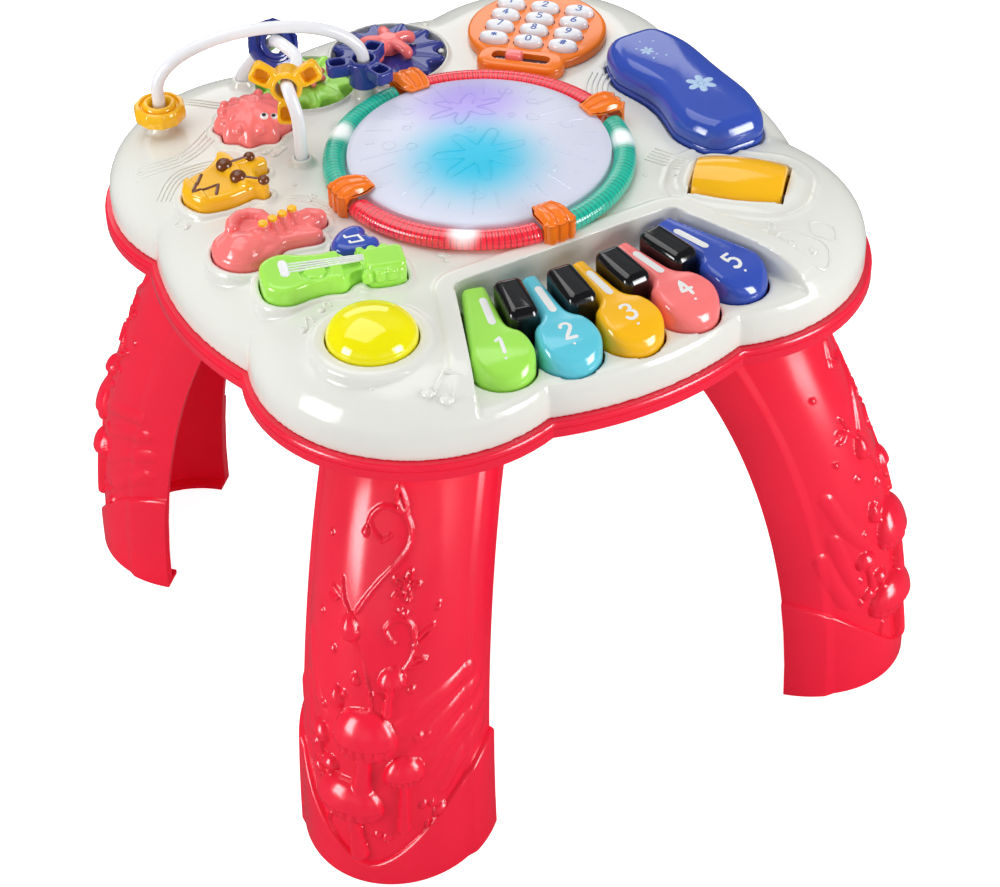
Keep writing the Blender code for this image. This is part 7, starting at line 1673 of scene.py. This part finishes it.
def keypad():
    def seated(mesh, x=0.0, y=0.0):
        return transformed(mesh, (*on_pad(x, y), 0), KEYPAD_TURN)

    def on_pad(x, y):
        return moved([(x, y)], KEYPAD_PLACE, KEYPAD_TURN)[0]

    cover = [soft_prism("cover", circle(KEYPAD_RADIUS, 96), KEYPAD_BASE, KEYPAD_TOP, 0.0022)]
    tab = rounded_box(TAB_LENGTH / 2, TAB_WIDTH / 2, TAB_WIDTH * 0.45, 12)
    tab = [(x, y - TAB_REACH + TAB_WIDTH / 2) for x, y in tab]
    cover.append(soft_prism("tab", tab, KEYPAD_BASE, TAB_TOP, 0.0026))
    slot_y = -TAB_REACH + TAB_WIDTH / 2
    slot = moved(rounded_box(SLOT_LENGTH / 2, SLOT_WIDTH / 2, SLOT_WIDTH * 0.42, 8), (0, slot_y))
    floor = TAB_TOP - 0.003
    cuts = [prism("slot", slot, floor, TAB_TOP + 0.001),
            prism("cavity", circle(KEYPAD_RADIUS - WALL, 64), KEYPAD_BASE - 0.001, KEYPAD_TOP - WALL)]
    oval = [(NUMBER_LONG * cos(2 * pi * s / 48), NUMBER_WIDE * sin(2 * pi * s / 48)) for s in range(48)]
    places = [(NUMBER_X * (column - 1), NUMBER_Y * (row - 1.5)) for row in range(4) for column in range(3)]
    for place in places:
        cuts.append(prism("hole", moved(offset_outline(oval, 0.0005), place), KEYPAD_BASE, KEYPAD_TOP + 0.001))
    piece = combine("keypad_cover", cover, cuts)
    seated(piece.data)
    show(finished(piece, M_ORANGE, 35), "table", "orange_plastic", "keypad_cover")
    flat = moved(rounded_box(SLOT_LENGTH / 2 - 0.0002, SLOT_WIDTH / 2 - 0.0002, SLOT_WIDTH * 0.40, 8), (0, slot_y))
    plate = seated(prism("slot_plate", flat, floor - 0.0001, floor + 0.0001))
    show(put("slot_plate", plate, M_DARK), "table", "orange_plastic")
    for text, shift in (("ON", 0.0098), ("OFF", -0.0104)):
        strokes = glyph_strokes(text, 0.0026, on_pad(shift, slot_y), KEYPAD_TURN)
        words = printed("switch_" + text, strokes, 0.0004, lambda x, y: floor + 0.0001, 0.00012)
        show(put("switch_" + text.lower(), words, M_LABEL), "table", "orange_plastic")
    under = KEYPAD_TOP - WALL - 0.0002
    upright = KEYPAD_TOP + 0.0008
    for number, (sign, place) in enumerate(zip("*0#789456123", places), 1):
        name = f"number_key_{number:02d}"
        rings = [flat_ring(offset_outline(oval, 0.0008), under - WALL / 2),
                 flat_ring(offset_outline(oval, 0.0006), under - 0.0002), flat_ring(oval, under),
                 flat_ring(oval, upright)]
        for step in range(1, 9):
            a = pi / 2 * step / 8
            rings.append(flat_ring(offset_outline(oval, -0.0016 * (1 - cos(a))),
                                   upright + (NUMBER_TOP - KEYPAD_TOP - 0.0008) * sin(a)))
        mesh = seated(loft(name, rings, smooth=50), *place)
        show(put(name, mesh, M_WHITE), name, "white_plastic", name)
        strokes = glyph_strokes(sign, 0.0048, on_pad(*place), KEYPAD_TURN)
        mesh = printed("sign", strokes, 0.0008, lambda x, y: NUMBER_TOP, 0.00014)
        show(put(f"number_sign_{number:02d}", mesh, M_INK), name, "white_plastic")
    half = SLOT_WIDTH / 2 - 0.0004
    outline = rounded_box(0.0085 / 2, half, half * 0.6, 8)
    mesh = seated(soft_prism("power_slider", outline, floor + 0.0002, TAB_TOP + 0.0025, 0.0012), -0.0035, slot_y)
    show(put("power_slider", mesh, M_PINK), "power_slider", "pink_plastic", "power_slider")


keypad()


# Gears and their caps
def spoke(name, angle, inner, outer, radius, sides):
    """A round bar from one radius and height to another."""
    return capsule(name, [(r * cos(angle), r * sin(angle), z) for r, z in (inner, outer)], radius, sides)


def gear(name, teeth, pitch, at, turn, phase, material, slot, petal):
    def outline(shrink, height):
        points = []
        for step in range(teeth * 20):
            a = 2 * pi * step / (teeth * 20)
            wave = cos(teeth * a)
            wave = wave * (1.25 - 0.25 * wave * wave)
            radius = pitch - shrink + phase * height * wave
            points.append((radius * cos(a), radius * sin(a)))
        return points

    rings = [flat_ring(outline(0.0, TOOTH * 0.96), z) for z in (GEAR_BASE, GEAR_TOP - 0.0018)]
    for step in range(1, 6):
        a = pi / 2 * step / 5
        rings.append(flat_ring(outline(0.0016 * (1 - cos(a)), TOOTH * 0.94), GEAR_TOP - 0.0018 * (1 - sin(a))))
    adds = [loft(name, rings)]
    top = GEAR_TOP - 0.0002
    for tooth in range(teeth):
        a = 2 * pi * (tooth + (0 if phase > 0 else 0.5)) / teeth
        inner, outer = pitch * (0.62 if petal else 0.50), pitch + TOOTH * 0.35
        adds.append(spoke("ridge", a, (inner, top - 0.0016), (outer, top - 0.0020), 0.0030 if petal else 0.0026, 14))
    # The flat seat under the cap is kept free
    cuts = [turned("bore", [(0.0036, GEAR_BASE - 0.002), (0.0036, GEAR_TOP + 0.003)], 32),
            turned("limit", [(pitch * 0.56, GEAR_TOP + 0.00005), (pitch * 0.56, GEAR_TOP + 0.006)], 48)]
    piece = moulded(name, material, adds, cuts, FINE, keep=0.6)
    transformed(piece.data, (*at, 0), turn)
    show(piece, name, slot, name)


gear("lime_gear", 10, lime_pitch, lime_at, GEAR_TURN, 1, M_LIME, "lime_plastic", True)
gear("blue_gear", 12, blue_pitch, blue_at, GEAR_TURN + 180, -1, M_NAVY, "blue_plastic", False)


def cap_done(name, adds, at, body):
    """Mould a cap with a flat foot and set it on its gear."""
    floor = turned("floor", [(0.03, CAP_LOW - 0.01), (0.03, CAP_LOW)], 24)
    piece = moulded(name, M_PINK, adds, [floor], FINE * 0.9, keep=0.7)
    transformed(piece.data, (*at, 0))
    show(piece, body, "pink_plastic", name)


def crown_cap():
    low, high = CAP_LOW, CAP_LOW + CAP_HEIGHT
    adds = [turned("core", [(0.0066, low), (0.0074, low + 0.003), (0.0058, low + 0.006), (0.0030, high)], 40)]
    for number in range(8):
        a = 2 * pi * number / 8
        adds.append(spoke("spike", a, (0.004, low + 0.0045), (0.0092, low + 0.0020), 0.0017, 14))
        adds.append(spoke("upper", a + pi / 8, (0.002, low + 0.0062), (0.0068, low + 0.0052), 0.0013, 12))
    cap_done("crown_cap", adds, lime_at, "lime_gear")


def flower_cap():
    low, high = CAP_LOW, CAP_LOW + CAP_HEIGHT
    adds = [turned("core", [(0.0058, low), (0.0066, low + 0.004), (0.0056, high - 0.001), (0.0040, high)], 40)]
    for number in range(5):
        a = 2 * pi * number / 5 + radians(GEAR_TURN)
        c, s = cos(a), sin(a)
        stops = ((0.002, high - 0.0032), (0.008, high - 0.0030), (0.0118, high - 0.0040), (0.0128, low + 0.0032))
        route = spline([Vector((r * c, r * s, z)) for r, z in stops], 5)
        adds.append(capsule("arm", route, 0.0029, 18))
    cap_done("flower_cap", adds, blue_at, "blue_gear")


crown_cap()
flower_cap()


# Bead wires and beads
def arch_route():
    mx, my = (LONG_A[0] + LONG_B[0]) / 2, (LONG_A[1] + LONG_B[1]) / 2
    half_x, half_y = (LONG_B[0] - LONG_A[0]) / 2, (LONG_B[1] - LONG_A[1]) / 2
    points = [Vector((*LONG_A, WIRE_END + 0.0002))]
    points += [Vector((*LONG_A, WIRE_END + (LONG_UPRIGHT - WIRE_END) * s / 6)) for s in range(1, 6)]
    for step in range(49):
        a = pi * step / 48
        points.append(Vector((mx - half_x * cos(a), my - half_y * cos(a),
                              LONG_UPRIGHT + (LONG_TOP - LONG_UPRIGHT) * sin(a))))
    points += [Vector((*LONG_B, WIRE_END + (LONG_UPRIGHT - WIRE_END) * s / 6)) for s in range(5, 0, -1)]
    points.append(Vector((*LONG_B, WIRE_END + 0.0002)))
    return points


show(put("long_wire", tube("long_wire", arch_route(), WIRE, 28), M_WHITE), "table", "white_plastic", "long_wire")
wave = ([Vector((*SHORT_A, WIRE_END + 0.0002))] + spline([Vector(p) for p in SHORT_WAVE], 8)
        + [Vector((*SHORT_B, WIRE_END + 0.0002))])
show(put("short_wire", tube("short_wire", wave, WIRE, 28), M_WHITE), "table", "white_plastic", "short_wire")


def ring_bead(name, at, rotation, material, slot):
    half, outer = RING_HALF, RING_BEAD
    rising = [(outer, half * 0.45), (outer * 0.94, half * 0.74), (outer * 0.82, half * 0.80),
              (outer * 0.76, half * 0.50), (outer * 0.68, half * 0.55), (outer * 0.66, half - 0.0006),
              (outer * 0.60, half), (BORE + 0.0008, half), (BORE, half - 0.0008)]
    profile = [(r, -z) for r, z in rising[::-1]] + [(outer * 1.015, 0)] + rising
    rings = []
    for step in range(120):
        a = 2 * pi * step / 120
        nub = 0.0005 * max(cos(10 * a), 0) ** 2
        grown = [(r + nub if r > outer * 0.9 else r, z) for r, z in profile]
        rings.append([(r * cos(a), r * sin(a), z) for r, z in grown])
    mesh = transformed(loft(name, rings, closed=True, smooth=50), at, rotation=rotation)
    show(put(name, mesh, material), name, slot, name)


def propeller(name, at, rotation, material, slot):
    half = HUB_LENGTH / 2
    hub = [(HUB - 0.0012, -half), (HUB, -half + 0.0012), (HUB, half - 0.0014), (HUB - 0.0014, half)]
    adds = [turned("hub", hub, 56)]
    cuts = [turned("bore", [(BORE, -half - 0.002), (BORE, half + 0.002)], 40)]
    lip = [(BORE, half - 0.004), (BORE + 0.0012, half - 0.004), (BORE + 0.0012, half), (BORE, half)]
    adds.append(turned_ring("lip", lip, 48))
    top = half - 0.0005
    low = top - BLADE_DEPTH
    start = HUB - 0.0016
    blade_outline = []
    for x, y in rounded_box((BLADE - start) / 2, BLADE_HALF, 0.0030, 8):
        flare = 0.84 + 0.16 * (x / ((BLADE - start) / 2) + 1) / 2
        blade_outline.append((x + (start + BLADE) / 2, y * flare))
    inner_start, inner_end = HUB + 0.0014, BLADE - 0.0018
    scoop_outline = [(x + (inner_start + inner_end) / 2, y * 0.92) for x, y in
                     rounded_box((inner_end - inner_start) / 2, BLADE_HALF - 0.0018, 0.0020, 6)]

    def turned_blade(shape, outline, turn, levels):
        return loft(shape, [flat_ring(moved(offset_outline(outline, -inset) if inset else outline, (0, 0), turn), z)
                            for inset, z in levels])

    for turn in (0, 120, 240):
        adds.append(turned_blade("blade", blade_outline, turn, ((0.0012, low), (0, low + 0.0012), (0, top - 0.0006),
                                                                (0.0006, top))))
        cuts.append(turned_blade("scoop", scoop_outline, turn, ((0.0006, low + 0.0020), (0, low + 0.0030),
                                                                (0, top + 0.001))))
    piece = moulded(name, material, adds, cuts, FINE * 0.9, keep=0.6)
    transformed(piece.data, at, rotation=rotation)
    show(piece, name, slot, name)


def wave_station(number):
    along = Vector(SHORT_WAVE[number + 1]) - Vector(SHORT_WAVE[number - 1])
    return Vector(SHORT_WAVE[number]), along.normalized()


ring_bead("yellow_ring_bead", (*LONG_A, WIRE_COLLAR_TOP + 0.0002 + RING_HALF), Quaternion(), M_AMBER, "amber_plastic")
propeller("blue_propeller_bead", (*LONG_B, WIRE_COLLAR_TOP + PROPELLER_STAND + 0.0002 + HUB_LENGTH / 2),
          Quaternion((0, 0, 1), radians(PROPELLER_TURN)), M_NAVY, "blue_plastic")
point, along = wave_station(3)
propeller("yellow_propeller_bead", point,
          (-along).to_track_quat("Z", "Y") @ Quaternion((0, 0, 1), radians(SHORT_PROPELLER_TURN)),
          M_AMBER, "amber_plastic")
point, along = wave_station(7)
upright = Vector((0, 0, 1)) - along * along.z
ring_bead("blue_ring_bead", point - upright.normalized() * BEAD_HANG, along.to_track_quat("Z", "Y"), M_NAVY,
          "blue_plastic")

# Inner pieces keep their CAD shape and get their own finish
for node, material in (("main_board", M_BOARD), ("speaker", M_STEEL), ("battery_1", M_CELL), ("battery_2", M_CELL),
                       ("battery_3", M_CELL), ("battery_door", M_RED), ("battery_door_screw", M_STEEL),
                       ("roller_axle", M_STEEL)):
    NODES[node].data.materials.clear()
    NODES[node].data.materials.append(material)


# Stage: white floor and sky, soft boxes at the left, right, top and back, and their faces as gloss sees them
SKY, SKY_GLOSS, CAMERA_WHITE = 0.44, 0.10, 1.02
# Each soft box face: azimuth, elevation, half width and height as shares of its distance, strength, softness
PANELS = ((-92, 14, 0.20, 0.30, 9.0, 0.12), (34, 14, 0.18, 0.30, 9.0, 0.12), (150, 50, 0.7, 0.3, 0.3, 0.5),
          (-60, 2, 0.5, 0.35, 0.6, 0.6), (5, 2, 0.35, 0.35, 0.6, 0.6))


def stage():
    world = bpy.data.worlds.new("studio")
    bpy.context.scene.world = world
    world.use_nodes = True
    tree = world.node_tree
    tree.nodes.clear()
    out = tree.nodes.new("ShaderNodeOutputWorld")
    sky = tree.nodes.new("ShaderNodeBackground")
    sky.inputs["Color"].default_value = (0.96, 0.98, 1.0, 1)
    path = tree.nodes.new("ShaderNodeLightPath")
    # The camera sees white, and gloss sees a dim room with the faces of the soft boxes
    view = tree.nodes.new("ShaderNodeTexCoord").outputs["Generated"]
    panels = None
    for azimuth, elevation, half_width, half_height, strength, soft in PANELS:
        a, e = radians(azimuth), radians(elevation)
        facing = Vector((sin(a) * cos(e), -cos(a) * cos(e), sin(e)))
        across = Vector((cos(a), sin(a), 0))
        dots = []
        for axis in (facing, across, facing.cross(across)):
            dots.append(vector_node(tree, "DOT_PRODUCT", view, axis))
        lit = math_node(tree, "GREATER_THAN", dots[0], 0.05)
        for dot, half in zip(dots[1:], (half_width, half_height)):
            ahead = math_node(tree, "MAXIMUM", dots[0], 0.05)
            share = math_node(tree, "DIVIDE", math_node(tree, "ABSOLUTE", dot), ahead)
            edge = range_node(tree, share, (half * (1 - soft), half * (1 + soft)), curve="SMOOTHSTEP")
            lit = math_node(tree, "MULTIPLY", lit, edge)
        lit = math_node(tree, "MULTIPLY", lit, strength)
        panels = math_node(tree, "ADD", panels, lit) if panels else lit
    gloss = math_node(tree, "ADD", panels, SKY_GLOSS - SKY)
    glossy = math_node(tree, "MULTIPLY", path.outputs["Is Glossy Ray"], gloss)
    seen = math_node(tree, "MULTIPLY", path.outputs["Is Camera Ray"], CAMERA_WHITE - SKY)
    link(tree, math_node(tree, "ADD", math_node(tree, "ADD", glossy, seen), SKY), sky.inputs["Strength"])
    link(tree, sky.outputs["Background"], out.inputs["Surface"])
    floor_mesh = prism("floor", circle(4.0, 64), -0.02, 0.0)
    floor_material = bpy.data.materials.new("white_floor")
    floor_material.use_nodes = True
    tree = floor_material.node_tree
    shader = tree.nodes["Principled BSDF"]
    coords = tree.nodes.new("ShaderNodeTexCoord").outputs["Object"]
    pale = ramp_node(tree, noise_node(tree, coords, 3.0), [(0.3, (0.80, 0.80, 0.80)), (0.7, (0.83, 0.83, 0.83))])
    path = tree.nodes.new("ShaderNodeLightPath")
    link(tree, mix_colour(tree, path.outputs["Is Glossy Ray"], pale, (0.16, 0.16, 0.17)), shader.inputs["Base Color"])
    shader.inputs["Roughness"].default_value = 0.8
    shader.inputs["Specular IOR Level"].default_value = 0.1
    shader.inputs["Emission Color"].default_value = (1, 1, 1, 1)
    link(tree, math_node(tree, "MULTIPLY", path.outputs["Is Camera Ray"], 0.9), shader.inputs["Emission Strength"])
    floor = put("floor", floor_mesh, floor_material)

    def soft_box(name, size_x, size_y, power, place, target):
        data = bpy.data.lights.new(name, "AREA")
        data.shape = "RECTANGLE"
        data.size, data.size_y = size_x, size_y
        data.energy = power
        lamp = bpy.data.objects.new(name, data)
        bpy.context.scene.collection.objects.link(lamp)
        lamp.location = place
        lamp.rotation_euler = (Vector(target) - Vector(place)).to_track_quat("-Z", "Y").to_euler()

    soft_box("box_left", 0.55, 0.8, 9.5, (-1.55, -0.05, 0.50), (0, 0, 0.15))
    soft_box("box_right", 0.55, 0.8, 13.0, (0.87, -1.30, 0.50), (0, 0, 0.15))
    soft_box("box_top", 1.5, 1.5, 15.5, (-0.2, 0.5, 1.9), (0, 0, 0.2))
    soft_box("box_back", 1.2, 0.5, 4.0, (0.5, 1.5, 1.0), (0, 0, 0.2))


stage()


def camera():
    azimuth, elevation, roll = radians(-28.826), radians(39.505), radians(-1.523)
    target, distance, lens = Vector((-0.0188, -0.0471, 0.1375)), 1.3104, 95.19
    back = Vector((sin(azimuth) * cos(elevation), -cos(azimuth) * cos(elevation), sin(elevation)))
    right = (-back).cross(Vector((0, 0, 1))).normalized()
    up = right.cross(-back)
    right_rolled = right * cos(roll) + up * sin(roll)
    up_rolled = up * cos(roll) - right * sin(roll)
    data = bpy.data.cameras.new("camera")
    data.sensor_width = 36
    data.lens = lens
    eye = bpy.data.objects.new("camera", data)
    bpy.context.scene.collection.objects.link(eye)
    turn = Matrix((right_rolled, up_rolled, back)).transposed().to_4x4()
    eye.matrix_world = Matrix.Translation(target + back * distance) @ turn
    bpy.context.scene.camera = eye


camera()
bpy.context.scene.view_settings.view_transform = "Standard"
